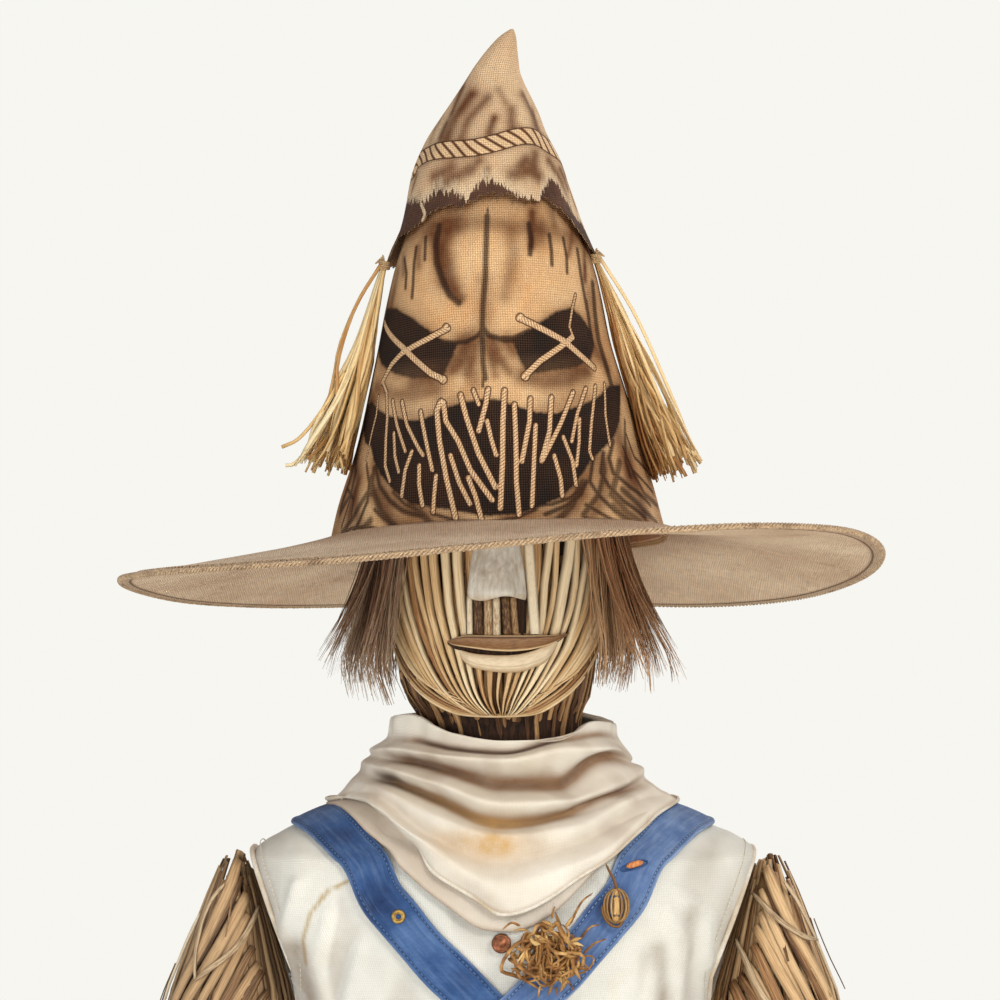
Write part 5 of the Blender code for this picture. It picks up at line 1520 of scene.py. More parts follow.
def lip(name, table, profile, material, replaces):
    """A lip between its top and bottom edges; profile gives (share down, lift off the face)."""
    x = np.linspace(table[0, 0], table[-1, 0], 80)
    row = smooth_table(table, x)
    end = np.clip(np.minimum(x - x[0], x[-1] - x) / 0.006, 0.12, 1) ** 0.7
    rings = []
    for share, lift in profile:
        z = row[:, 0] + (row[:, 1] - row[:, 0]) * share
        rings.append(np.stack([x, face_y(x, z) - lift * (end if lift > 0 else 1), z], -1))
    rings = np.array(rings)
    floats = {
        "tint": np.full(rings.shape[:2], 0.5),
        "along": np.broadcast_to(np.linspace(0, 1, 80)[None], rings.shape[:2]),
        "across": np.broadcast_to(np.array([2 * s - 1 for s, _ in profile])[:, None], rings.shape[:2]),
    }
    return build(
        name,
        rings,
        grid_faces(len(profile), 80, closed=True),
        material,
        "head",
        floats=floats,
        replaces=replaces,
    )


upper_look = Look("lip_wood_brown")
across = upper_look.read("across")
grain = upper_look.noise(
    upper_look.join(upper_look.times(upper_look.read("along"), 14.0), upper_look.times(across, 5.0)),
    1.0,
    4.0,
    0.65,
)
colour = upper_look.mix(upper_look.remap(grain, 0.3, 0.7), rgb(120, 84, 56), rgb(160, 122, 84))
# A lighter rim along the bottom edge; a painted highlight along the top edge, with a painted shade line just
# below it.
colour = upper_look.mix(upper_look.remap(across, 0.70, 0.86), colour, rgb(206, 176, 132))
colour = upper_look.mix(upper_look.remap(across, -0.80, -0.92), colour, rgb(196, 170, 130))
colour = upper_look.mix(
    upper_look.remap(upper_look.math("ABSOLUTE", upper_look.plus(across, 0.68)), 0.07, 0.16, 0.75, 0.0),
    colour,
    rgb(58, 36, 24),
)
upper_material = upper_look.finish(colour, 0.5, upper_look.bump(grain, 0.0003, 0.5))
lower_look = Look("lip_reed_cream")
across = lower_look.read("across")
grain = lower_look.noise(
    lower_look.join(lower_look.times(lower_look.read("along"), 12.0), lower_look.times(across, 6.0)),
    1.0,
    4.0,
    0.6,
)
colour = lower_look.mix(lower_look.remap(grain, 0.3, 0.7), rgb(208, 184, 148), rgb(230, 214, 184))
# Painted shade darkens the lower part of the lip towards its bottom edge; a faint darker line runs along it
# just below the middle.
colour = lower_look.mix(lower_look.remap(across, 0.45, 1.0, 0.0, 0.8), colour, rgb(168, 134, 92))
colour = lower_look.mix(
    lower_look.remap(lower_look.math("ABSOLUTE", lower_look.minus(across, 0.30)), 0.03, 0.14, 0.35, 0.0),
    colour,
    rgb(150, 118, 82),
)
lower_material = lower_look.finish(colour, 0.5, lower_look.bump(grain, 0.0003, 0.4))
lip(
    "upper_lip_carved", UPPER_LIP,
    (
        (0.0, -0.0008), (0.0, 0.0034), (0.05, 0.0044), (0.12, 0.0040), (0.35, 0.0034), (0.65, 0.0042),
        (0.86, 0.0056), (0.95, 0.0060), (1.0, 0.0054), (1.0, -0.0008)
    ),
    upper_material, ("upper_lip",),
)
lip(
    "lower_lip_carved", LOWER_LIP,
    (
        (0.0, -0.0008), (0.0, 0.0040), (0.07, 0.0056), (0.28, 0.0066), (0.55, 0.0070), (0.72, 0.0062),
        (0.90, 0.0046), (1.0, 0.0030), (1.0, -0.0008)
    ),
    lower_material, ("lower_lip",),
)
gap = np.array(
    [
        (-0.0325, 0.6790, 0.6770),
        (-0.0290, 0.6790, 0.6745),
        (-0.020, 0.6775, 0.6725),
        (-0.010, 0.6755, 0.6700),
        (0.0, 0.6745, 0.6695),
        (0.010, 0.6745, 0.6700),
        (0.020, 0.6760, 0.6725),
        (0.030, 0.6785, 0.6770),
        (0.0375, 0.6825, 0.6818),
    ]
)
lip(
    "mouth_gap",
    gap,
    ((0.0, -0.0008), (0.0, 0.0016), (0.5, 0.0020), (1.0, 0.0016), (1.0, -0.0008)),
    dark_core_and_shade_material,
    ("mouth_lining",),
)

# ---- hair --------------------------------------------------------------------------------------

# The left hair's colours are a darker, cooler copy of the right's: painted shade on the side away from the
# key light, painted light on the lit side; the back hair shares the shaded copy.
hair_left = stalk_look(
    "hair_fibre_left_painted_shade", (72, 50, 38), (150, 112, 84), (218, 190, 158), along=60.0, gloss=0.6, spread=1.2
)
hair_right = stalk_look(
    "hair_fibre_right_painted_light", (88, 50, 30), (170, 114, 74), (228, 188, 142), along=60.0, gloss=0.6, spread=1.2
)
SIDE = np.array(
    [
        (0.646, 0.014, 0.0700), (0.660, 0.0130, 0.0660), (0.672, 0.0115, 0.0560), (0.690, 0.0100, 0.0420),
        (0.712, 0.0090, 0.0285), (0.735, 0.0085, 0.0200), (0.760, 0.0085, 0.0155), (0.785, 0.0085, 0.0125)
    ]
)
BACK = np.array(
    [
        (0.650, 0.018, 0.030), (0.662, 0.0170, 0.0280), (0.690, 0.0110, 0.0220), (0.720, 0.0085, 0.0170),
        (0.750, 0.0085, 0.0150), (0.785, 0.0085, 0.0125)
    ]
)


def hair(name, table, from_turn, to_turn, low, high, count, seed, material, node):
    rng = np.random.default_rng(seed)
    clumps = count // 13
    centre = rng.uniform(from_turn, to_turn, clumps)
    tip_z = rng.uniform(low, high, clumps) ** 1.0
    pick = rng.integers(0, clumps, count)
    turn_tip = np.radians(centre[pick] + rng.normal(0, 1.6, count))
    turn_top = np.radians(centre[pick] + rng.normal(0, 6.0, count))
    end = tip_z[pick] + np.abs(rng.normal(0, 0.010, count)) - 0.004
    end = np.clip(end, 0.638, 0.72)
    lean = rng.uniform(0, 1, clumps)[pick]
    depth = lean * 0.86 + rng.uniform(0, 0.14, count)
    # The outer locks are cut higher, so the fringe has a sloping, ragged outline.
    end = end + 0.011 * lean
    share = np.linspace(0, 1, 9)
    z = 0.782 + (end[:, None] - 0.782) * share[None, :]
    turn = turn_top[:, None] + (turn_tip - turn_top)[:, None] * share[None, :] ** 1.3
    inner, outer = np.moveaxis(smooth_table(table, z), -1, 0)
    grow = inner + (outer - inner) * depth[:, None]
    kink = 0.0010 * ripple(seed, pick[:, None] * 1.7, share[None, :] * 6) * share[None, :]
    path = head_at(turn, z, grow + kink)
    outward = np.stack([np.cos(turn), np.sin(turn), 0.3 + 0 * turn], -1)
    half = (rng.uniform(0.0005, 0.0012, count))[:, None] * (1 - 0.8 * share[None, :] ** 2)
    points, faces, floats = strips(path, half, half * 0.5, outward, FLAT)
    floats["tint"] = np.clip(
        np.repeat(rng.uniform(0, 1, clumps)[pick] * 0.5 + rng.uniform(0, 0.35, count), 9 * 4)
        + np.tile(np.repeat(0.35 * share**2, 4), count),
        0,
        1,
    )
    build(name, points, faces, material, "head", floats=floats, replaces=(node,))


hair("hair_strands_left", SIDE, 134, 218, 0.636, 0.676, 720, 51, hair_left, "hair_left")
hair("hair_strands_right", SIDE, -40, 46, 0.642, 0.682, 720, 52, hair_right, "hair_right")
hair("hair_strands_back", BACK, 44, 136, 0.660, 0.705, 420, 53, hair_left, "hair_back")

# ---- the stuffed body --------------------------------------------------------------------------


def body_at(turn, z, grow):
    row = smooth_table(BODY, z)
    x = (row[..., 0] + grow) * signed_power(np.cos(turn), 2 / BODY_POWER)
    y = (row[..., 1] + grow) * signed_power(np.sin(turn), 2 / BODY_POWER)
    return np.stack(np.broadcast_arrays(x, y, z), -1)


def body_levels(low, high, count):
    """Heights that crowd together where the shoulders flatten."""
    a = np.linspace(low, 0.535, int(count * 0.55), endpoint=False)
    b = np.linspace(0.535, high, count - len(a))
    return np.concatenate([a, b])


def grown_body(grow, low=0.2120, high=0.584, rows=120, columns=240):
    """The body pushed out evenly along its own normals."""
    turns = np.linspace(0, TAU, columns, endpoint=False)
    levels = body_levels(low, high, rows)
    T, Z = np.meshgrid(turns, levels)
    p = body_at(T, Z, 0.0)
    across = np.roll(p, -1, 1) - np.roll(p, 1, 1)
    up = np.gradient(p, axis=0)
    normal = unit(np.cross(across, up))
    return p, normal, T, Z, p + normal * grow


base, base_normal, base_T, _, skin = grown_body(SKIN)
skin_faces = grid_faces(*skin.shape[:2], around=True)
lid = [list(range((skin.shape[0] - 1) * skin.shape[1], skin.shape[0] * skin.shape[1]))]
SKIN_TREE = BVHTree.FromPolygons(skin.reshape(-1, 3).tolist(), skin_faces.tolist() + lid)


def cast(start, way, lift=0.0):
    """Where a ray meets the vest from outside, lifted off it, and the normal there."""
    hit, normal, _, _ = SKIN_TREE.ray_cast(Vector(start), Vector(way))
    if hit is None:
        hit, normal, _, _ = SKIN_TREE.find_nearest(Vector(start))
    n = np.array(normal)
    if n @ np.array(way) > 0:
        n = -n
    return np.array(hit) + n * lift, n


def nearest(spot):
    """The nearest point of the vest and its normal there, facing out."""
    hit, normal, _, _ = SKIN_TREE.find_nearest(Vector(spot))
    n = np.array(normal)
    h = np.array(hit)
    return h, -n if n @ (h - [0.0, 0.0, 0.45]) < 0 else n


def cleared(points, gap):
    """The points pushed out until each is at least gap off the vest."""
    shape = points.shape
    flat = points.reshape(-1, 3).copy()
    gaps = np.broadcast_to(gap, shape[:-1]).ravel()
    for i, p in enumerate(flat):
        if p[2] > 0.600:
            continue
        hit, normal, _, _ = SKIN_TREE.find_nearest(Vector(p))
        n = np.array(normal)
        h = np.array(hit)
        if n[2] < -0.2 or n @ np.array([h[0], h[1], 0.05]) < 0:
            n = -n
        d = (p - h) @ n
        if d < gaps[i]:
            flat[i] = h + n * gaps[i]
    return flat.reshape(shape)


def cotton_look(name, light, mid, stain, dirt_and_shade_colour, pitch=0.00095, key="cloth", extra=None):
    look = Look(name)
    u, v, _ = look.split(look.read(key, vector=True))
    wob = look.times(look.minus(look.noise(look.join(u, v), 40.0, 2.0), 0.5), 0.002)
    threads, over = look.weave(look.plus(u, wob), look.minus(v, wob), pitch)
    patchy = look.noise(look.place, 11.0, 5.0, 0.6)
    fine = look.noise(look.place, 65.0, 4.0, 0.65)
    colour = look.mix(look.remap(patchy, 0.35, 0.68), rgb(*light), rgb(*mid))
    colour = look.mix(look.remap(fine, 0.5, 0.8, 0.0, 0.3), colour, rgb(*mid))
    blot = look.noise(look.stretch(look.place, 14, 14, 8), 1.0, 4.0, 0.6)
    colour = look.mix(look.remap(blot, 0.58, 0.76, 0.0, 0.38), colour, rgb(*stain))
    if extra:
        colour = extra(look, colour, fine)
    # Dirt and painted shade, from the attribute, in one colour.
    dirt_and_shade_amount = look.read("dirt_and_painted_shade")
    colour = look.mix(look.times(dirt_and_shade_amount, look.remap(fine, 0.2, 0.7, 0.65, 1.1), clamp=True), colour, rgb(*dirt_and_shade_colour))
    tone = look.remap(threads, 0.1, 0.95, 0.84, 1.03)
    colour = look.mix(1.0, colour, look.join(tone, tone, tone), "MULTIPLY")
    return look.finish(
        colour, 0.85, look.bump(look.plus(threads, look.times(fine, 0.8)), 0.00035, 0.6), sheen=0.05
    )


# ---- where the straps lie ----------------------------------------------------------------------

FRONT = (
    (0.058, 0.362), (0.0575, 0.374), (0.054, 0.389), (0.047, 0.404), (0.037, 0.419), (0.026, 0.432),
    (0.013, 0.445),
    (0.0, 0.457), (-0.012, 0.468), (-0.024, 0.480), (-0.036, 0.4915), (-0.048, 0.504), (-0.060, 0.518),
    (-0.071, 0.531),
)
OVER = (
    (-0.079, 10), (-0.088, 19), (-0.096, 30), (-0.103, 42), (-0.109, 56), (-0.1125, 71), (-0.1135, 87),
    (-0.1135, 103),
    (-0.111, 118), (-0.107, 132), (-0.102, 144), (-0.097, 156), (-0.092, 168),
)


def strap_line(sign, lift, count=230):
    found = []
    normals = []
    for x, z in FRONT:
        hit, n = cast((-sign * x, -0.3, z), (0, 1, 0))
        found.append(hit)
        normals.append(n)
    for x, degrees in OVER:
        a = math.radians(degrees)
        way = np.array([0.0, -math.cos(a), math.sin(a)])
        start = np.array([-sign * x, 0.0, 0.535]) + way * 0.3
        hit, n = cast(start, -way)
        found.append(hit)
        normals.append(n)
    for x, z in zip(np.linspace(-0.087, -0.063, 11), np.linspace(0.530, 0.362, 11)):
        hit, n = cast((-sign * x, 0.3, z), (0, -1, 0))
        found.append(hit)
        normals.append(n)
    path = smooth_path(found, count)
    normal = np.array([nearest(spot)[1] for spot in path])
    for _ in range(4):
        normal = unit(
            normal + 0.5 * np.roll(normal, 1, 0) * (np.arange(count) > 0)[:, None]
            + 0.5 * np.roll(normal, -1, 0) * (np.arange(count) < count - 1)[:, None]
        )
    near = np.clip((0.066 - np.hypot(path[:, 0], path[:, 2] - 0.457)) / 0.026, 0, 1) * (path[:, 1] < 0)
    near = near * near * (3 - 2 * near)
    extra = near * (0.0030 if sign > 0 else 0.0)
    return path + normal * (lift + extra)[:, None], normal


STRAPS = {sign: strap_line(sign, 0.0028) for sign in (-1, 1)}

# ---- vest --------------------------------------------------------------------------------------

columns, rows = 420, 190
turns = np.linspace(0, TAU, columns, endpoint=False)
levels = body_levels(0.2148, 0.584, rows)
T, Z = np.meshgrid(turns, levels)
p = body_at(T, Z, 0.0)
across = np.roll(p, -1, 1) - np.roll(p, 1, 1)
up = np.gradient(p, axis=0)
normal = unit(np.cross(across, up))
x, y, z = p[..., 0], p[..., 1], p[..., 2]
front = np.clip(-y / 0.05, 0, 1)
wrinkle = 0.0011 * ripple(61, x * 60, z * 24, waves=7) + 0.0007 * ripple(62, x * 150, z * 40, waves=6)


def crease_line(x, z, knots, wide, high):
    """A soft fold along a line across the front or back."""
    line = np.asarray(knots, float)
    best = np.full(x.shape, 1.0)
    for a, b in zip(line[:-1], line[1:]):
        ab = b - a
        t = np.clip(((x - a[0]) * ab[0] + (z - a[1]) * ab[1]) / (ab @ ab), 0, 1)
        best = np.minimum(best, np.hypot(x - a[0] - t * ab[0], z - a[1] - t * ab[1]))
    return high * np.exp(-((best / wide) ** 2))


VEST_FOLDS = (
    (((0.092, 0.525), (0.105, 0.505), (0.100, 0.478), (0.096, 0.450)), 0.0042, 0.0032),
    (((0.100, 0.532), (0.117, 0.515), (0.118, 0.490)), 0.0040, 0.0026),
    (((0.083, 0.515), (0.089, 0.495), (0.083, 0.465), (0.080, 0.43)), 0.0045, 0.0026),
    (((-0.118, 0.535), (-0.126, 0.510), (-0.120, 0.475), (-0.108, 0.44)), 0.0040, 0.0028),
    (((-0.100, 0.520), (-0.106, 0.490), (-0.100, 0.455)), 0.0045, 0.0024),
    (((-0.082, 0.500), (-0.090, 0.470), (-0.085, 0.44)), 0.0045, 0.0020),
    (((0.050, 0.44), (0.056, 0.41), (0.052, 0.37)), 0.005, 0.0024),
    (((-0.030, 0.42), (-0.036, 0.39), (-0.030, 0.365)), 0.005, 0.0022),
    (((0.010, 0.44), (0.008, 0.40), (0.012, 0.365)), 0.005, 0.0020),
    (((-0.075, 0.42), (-0.080, 0.39), (-0.074, 0.365)), 0.005, 0.0024),
    (((0.075, 0.40), (0.080, 0.38), (0.078, 0.362)), 0.004, 0.0022),
)
for knots, wide, high in VEST_FOLDS:
    wrinkle = wrinkle + crease_line(x, z, knots, wide, high) * front
gather = np.clip(1 - np.abs(z - 0.3425) / 0.060, 0, 1)
pleat = np.sin(base_T[0, 0] + T * 46 + 1.5 * np.sin(T * 5)) * 0.5 + 0.5
wrinkle = wrinkle + 0.0030 * pleat * gather * np.where(z < 0.3425, 1.0, 0.7)
skirt = np.clip((0.325 - z) / 0.11, 0, 1)
wrinkle = wrinkle + (0.0055 * (np.sin(T * 14 + 2.1 * np.sin(T * 3)) * 0.5 + 0.5)) * skirt
belt = np.exp(-(((z - 0.3425) / 0.016) ** 4))
wrinkle = wrinkle * (1 - belt)
wrinkle = np.maximum(wrinkle, -0.0010) * np.clip((0.578 - z) / 0.02, 0.15, 1)
# Under each strap the cloth is pressed flat, so the straps lie on it.
for sign in (-1, 1):
    line = STRAPS[sign][0][::3]
    gap = np.full(p.shape[:2], 1.0)
    for spot in line:
        gap = np.minimum(gap, np.linalg.norm(p - spot, axis=-1))
    pressed = np.clip((gap - 0.0145) / 0.010, 0, 1)
    wrinkle = wrinkle * pressed + 0.0002 * (1 - pressed)
vest_out = p + normal * (SKIN + wrinkle)[..., None]


def axis_of(sign):
    middle = np.array([sign * SHOULDER_X, 0.0, SHOULDER_Z])
    way = np.array([sign * math.cos(ARMHOLE_LEAN), 0.0, -math.sin(ARMHOLE_LEAN)])
    return middle, way


keep = np.ones(p.shape[:2], bool)
hole_at = np.zeros(p.shape[:2])
for sign in (-1, 1):
    middle, way = axis_of(sign)
    cell = 0.0030
    for _ in range(2):
        off = vest_out - middle
        along = off @ way
        flat = off - along[..., None] * way
        rho = np.linalg.norm(flat, axis=-1)
        near = sign * vest_out[..., 0] > 0.05
        to_rim = near & (along > cell) & (rho < ARMHOLE_RADIUS) & (rho > ARMHOLE_RADIUS - cell)
        to_plane = near & (along > 0) & (along <= cell) & (rho < ARMHOLE_RADIUS)
        rim = middle + along[..., None] * way + flat / np.maximum(rho, 1e-6)[..., None] * ARMHOLE_RADIUS
        vest_out = np.where(
            to_rim[..., None],
            rim,
            np.where(to_plane[..., None], vest_out - along[..., None] * way, vest_out),
        )
    keep &= ~(near & (along > cell) & (rho <= ARMHOLE_RADIUS - cell))
    gone = np.hypot(np.maximum(-along, 0), np.maximum(rho - ARMHOLE_RADIUS, 0))
    hole_at = np.maximum(hole_at, np.where(near, np.clip(1 - gone / 0.012, 0, 1), 0))
quads = grid_faces(rows, columns, around=True)
flags = keep.ravel()
quads = quads[flags[quads].all(1)]
used = np.unique(quads)
index = np.full(p.shape[0] * p.shape[1], -1)
index[used] = np.arange(len(used))
vest_points = vest_out.reshape(-1, 3)[used]
vest_faces = index[quads]
# The cloth darkens towards the hem and round the armholes. Painted shade lies along the creases at the sides
# below the straps and in the hollows of the wrinkles; random blotches of dirt lie lower down.
dirt_and_painted_shade = 0.55 * np.clip((0.245 - z) / 0.03, 0, 1) + 0.5 * hole_at**2 * 0.6
dirt_and_painted_shade = (
    dirt_and_painted_shade + 0.65 * crease_line(x, z, ((-0.118, 0.50), (-0.112, 0.475), (-0.109, 0.44)), 0.006, 1.0) * front
)
dirt_and_painted_shade = dirt_and_painted_shade + 0.45 * crease_line(x, z, ((0.088, 0.50), (0.092, 0.47), (0.088, 0.44)), 0.005, 1.0) * front
dirt_and_painted_shade = dirt_and_painted_shade + 0.35 * crease_line(x, z, ((0.108, 0.52), (0.104, 0.49), (0.106, 0.46)), 0.005, 1.0) * front
dirt_and_painted_shade = (
    dirt_and_painted_shade + 0.26 * np.clip(-wrinkle / 0.0012, 0, 1)
    + 0.22 * np.clip((0.43 - z) / 0.20, 0, 1) * np.clip(ripple(63, T * 9, z * 30), 0, 1)
)
seam = (
    crease_line(
        x,
        z,
        ((-0.083, 0.541), (-0.100, 0.533), (-0.110, 0.520), (-0.114, 0.505), (-0.112, 0.49)),
        0.0011,
        1.0,
    )
    * front
)
seam = np.maximum(seam, crease_line(x, z, ((-0.100, 0.533), (-0.106, 0.527)), 0.0010, 1.0) * front)
arc = np.cumsum(np.linalg.norm(np.diff(p[rows // 3], axis=0, prepend=p[rows // 3, :1]), axis=-1))
height = np.cumsum(np.linalg.norm(np.diff(p, axis=0, prepend=p[:1]), axis=-1), axis=0)
uv = np.stack([np.broadcast_to(arc[None, :], T.shape) * 1.0, height, 0 * height], -1)


def vest_marks(look, colour, fine):
    line = look.read("seam")
    colour = look.mix(look.times(line, 0.8, clamp=True), colour, rgb(176, 146, 84))
    cool = look.noise(look.place, 9.0, 3.0)
    return look.mix(look.remap(cool, 0.45, 0.7, 0.0, 0.55), colour, rgb(188, 190, 184))


vest_look = cotton_look(
    "aged_vest_cotton", (238, 236, 227), (218, 215, 203), (206, 176, 130), (120, 92, 64), 0.0010,
    extra=vest_marks
)
vest = build(
    "vest_cloth", vest_points, vest_faces, vest_look, "stand",
    floats={"dirt_and_painted_shade": np.clip(dirt_and_painted_shade, 0, 1).ravel()[used], "seam": np.clip(seam, 0, 1).ravel()[used]},
    vectors={"cloth": uv.reshape(-1, 3)[used]}, replaces=("vest",),
)
thicken = vest.modifiers.new("cloth", "SOLIDIFY")
thicken.thickness = 0.0012
thicken.offset = -1.0

# A rolled hem round each armhole, with stitches beside it.
thread_look = Look("hem_thread")
grain = thread_look.noise(thread_look.place, 900.0, 2.0)
thread_material = thread_look.finish(
    thread_look.mix(grain, rgb(188, 176, 150), rgb(226, 218, 198)),
    0.8,
    thread_look.bump(grain, 0.0002, 0.5),
)
hem_look = Look("rolled_hem_cotton")
grain = hem_look.noise(hem_look.place, 700.0, 3.0)
patchy = hem_look.noise(hem_look.place, 40.0, 3.0)
colour = hem_look.mix(hem_look.remap(patchy, 0.35, 0.65), rgb(226, 220, 206), rgb(190, 172, 146))
hem_material = hem_look.finish(
    hem_look.mix(hem_look.remap(grain, 0.4, 0.8, 0.0, 0.35), colour, rgb(160, 140, 112)),
    0.85,
    hem_look.bump(grain, 0.0003, 0.5),
    sheen=0.15,
)


def round_armhole(sign, back, lift, count=220):
    """Points on the vest along the armhole's edge, or this far back from it, and the normals there."""
    middle, way = axis_of(sign)
    u = np.array([0.0, 1.0, 0.0])
    v = np.cross(way, u)
    found = []
    normals = []
    for a in np.linspace(0, TAU, count, endpoint=False):
        ray = u * math.cos(a) + v * math.sin(a)
        start = middle + ray * 0.3 - way * back
        hit, n = cast(start, -ray, lift)
        if np.linalg.norm((hit - middle) - ((hit - middle) @ way) * way) > ARMHOLE_RADIUS + back:
            hit, n = cast(middle + way * 0.09 + ray * (ARMHOLE_RADIUS + back), -way, lift)
        found.append(hit)
        normals.append(n)
    return np.array(found), np.array(normals)


hems = []
for sign in (-1, 1):
    path, _ = round_armhole(sign, 0.0004, 0.0004)
    hems.append(tube(path, 0.0016, 8, closed=True))
points, faces, floats = joined(*hems)
build("armhole_hems", points, faces, hem_material, "stand", floats=floats)
stitches = []
outs = []
for sign in (-1, 1):
    path, normals = round_armhole(sign, 0.0065, 0.0010, 330)
    for k in range(0, 330, 3):
        stitches.append(path[[k, (k + 1) % 330, (k + 2) % 330]])
        outs.append(normals[[k, (k + 1) % 330, (k + 2) % 330]])
points, faces, floats = strips(np.array(stitches), 0.00035, 0.00025, np.array(outs), ROUND)
build("armhole_stitches", points, faces, thread_material, "stand", floats=floats)

# ---- straw body that shows at the armholes and under the hem -----------------------------------

inner = base - base_normal * 0.0022
for sign in (-1, 1):
    middle, way = axis_of(sign)
    off = inner - middle
    along = off @ way
    rho = np.linalg.norm(off - along[..., None] * way, axis=-1)
    seat = (sign * inner[..., 0] > 0.05) & (along > -0.006) & (rho < ARMHOLE_RADIUS + 0.004)
    inner = np.where(seat[..., None], inner - (along + 0.006)[..., None] * way, inner)
flat_top = np.array(
    [[0.03 * math.cos(t), 0.024 * math.sin(t), 0.5838] for t in np.linspace(0, TAU, 240, endpoint=False)]
)
flat_low = np.array(
    [[0.05 * math.cos(t), 0.045 * math.sin(t), 0.2135] for t in np.linspace(0, TAU, 240, endpoint=False)]
)
body_points = np.concatenate([flat_low, inner.reshape(-1, 3), flat_top])
body = build(
    "body_straw", body_points, grid_faces(120 + 2, 240, around=True), dark_core_and_shade_material, "stand",
    replaces=("body_stuffing",),
)

# ---- waistband and straps ----------------------------------------------------------------------


def denim_look(name, dark, mid, light, wear):
    look = Look(name)
    u, v, _ = look.split(look.read("cloth", vector=True))
    pitch = 0.00105
    diagonal = look.times(look.plus(u, v), TAU / pitch)
    rib = look.remap(look.math("SINE", diagonal), -1.0, 1.0)
    slub = look.noise(look.join(look.times(u, 110.0), look.times(v, 900.0)), 1.0, 3.0, 0.6)
    patchy = look.noise(look.place, 26.0, 5.0, 0.62)
    colour = look.ramp(
        look.remap(patchy, 0.28, 0.72), (0.0, rgb(*dark)), (0.5, rgb(*mid)), (1.0, rgb(*light))
    )
    edge = look.read("edge")
    worn = look.times(look.remap(edge, 0.0, 0.10, 1.0, 0.0), look.remap(slub, 0.3, 0.7, 0.3, 1.0))
    colour = look.mix(look.times(worn, 0.65), colour, rgb(*wear))
    streak = look.noise(look.join(look.times(u, 22.0), look.times(v, 240.0)), 1.0, 4.0, 0.65)
    colour = look.mix(look.remap(streak, 0.5, 0.75, 0.0, 0.24), colour, rgb(*wear))
    colour = look.mix(look.remap(streak, 0.48, 0.26, 0.0, 0.4), colour, rgb(*dark))
    tone = look.times(look.remap(rib, 0.0, 1.0, 0.78, 1.08), look.remap(slub, 0.25, 0.75, 0.88, 1.1))
    colour = look.mix(1.0, colour, look.join(tone, tone, tone), "MULTIPLY")
    seam = look.math("ABSOLUTE", look.minus(edge, 0.21))
    gutter = look.remap(seam, 0.03, 0.07, 0.55, 0.0)
    colour = look.mix(gutter, colour, rgb(*(0.55 * c for c in dark)))
    dash = look.remap(look.math("SINE", look.times(u, TAU / 0.0030)), -0.35, -0.1)
    thread = look.times(look.remap(seam, 0.014, 0.026, 1.0, 0.0), dash)
    colour = look.mix(thread, colour, rgb(*light))
    height = look.plus(look.times(rib, 0.5), look.times(thread, 1.5))
    height = look.minus(height, look.times(gutter, 1.5))
    return look.finish(colour, 0.86, look.bump(height, 0.0003, 0.7), sheen=0.05)


# The left strap's denim is a darker copy of the right strap's: painted shade on the side away from the key
# light, painted light on the lit side.
denim_left_painted_shade = denim_look("denim_left_painted_shade", (28, 48, 88), (50, 82, 130), (84, 114, 160), (150, 170, 200))
denim_right_painted_light = denim_look("denim_right_painted_light", (50, 74, 120), (84, 112, 158), (122, 148, 188), (182, 196, 218))
denim_band = denim_look("denim_band", (46, 68, 116), (70, 100, 152), (104, 132, 182), (160, 180, 210))


def lay_flat(spots, normal):
    return spots, normal


def lay_on_vest(spots, normal):
    """Each point set as high over the vest as the strap's middle is."""
    middle = spots.copy()
    out = normal.copy()
    for i, spot in enumerate(spots):
        hit, n = nearest(spot)
        high = LIFTS[i]
        middle[i] = hit + n * high
        out[i] = n
    return middle, out


def ribbon(name, path, normal, width, thick, material, closed=False, node=None, laid=lay_flat):
    """A band of cloth with turned edges along a path, lying on the surface with this normal."""
    n = len(path)
    if closed:
        along = unit(np.roll(path, -1, 0) - np.roll(path, 1, 0))
    else:
        along = unit(np.gradient(path, axis=0))
    side = unit(np.cross(along, normal))
    shares = np.array(
        [
            -1, -0.985, -0.94, -0.86, -0.76, -0.70, -0.5, -0.25, 0, 0.25, 0.5, 0.70, 0.76, 0.86, 0.94,
            0.985, 1
        ]
    )
    swell = np.array(
        [0.5, 0.85, 1.05, 1.08, 1.0, 0.90, 0.96, 1, 1, 1, 0.96, 0.90, 1.0, 1.08, 1.05, 0.85, 0.5]
    )
    length = np.concatenate([[0], np.cumsum(np.linalg.norm(np.diff(path, axis=0), axis=1))])
    top = []
    for s, w in zip(shares, swell):
        wave = 1 + 0.020 * ripple(71, length * 90)
        at, out = laid(path + side * (s * width / 2 * wave)[:, None], normal)
        top.append(at + out * thick * (w - 0.5))
    under = []
    for s in (0.98, 0.5, 0.0, -0.5, -0.98):
        at, out = laid(path + side * (s * width / 2), normal)
        under.append(at - out * thick * 0.5)
    rings = np.array(top + under)
    edge = np.concatenate([1 - np.abs(shares), [0.02, 0.5, 1, 0.5, 0.02]])
    cross = np.concatenate([shares, [0.98, 0.5, 0, -0.5, -0.98]]) * width / 2
    faces = grid_faces(n, len(rings), around=True, closed=closed)
    points = np.swapaxes(rings, 0, 1)
    uv = np.stack(
        [
            np.broadcast_to(length[:, None], (n, len(rings))),
            np.broadcast_to(cross[None], (n, len(rings))),
            np.zeros((n, len(rings))),
        ],
        -1,
    )
    if not closed:
        m = len(rings)
        caps = [[j, j + 1, m - 2 - j, m - 1 - j] for j in range(m // 2 - 1)]
        caps = np.array(caps)
        faces = np.concatenate([faces, caps[:, ::-1], caps + (n - 1) * m])
    obj = build(
        name, points, faces, material, "stand", floats={"edge": np.broadcast_to(edge[None], (n, len(rings)))},
        vectors={"cloth": uv}, replaces=(node,) if node else (),
    )
    return obj, float(length[-1])


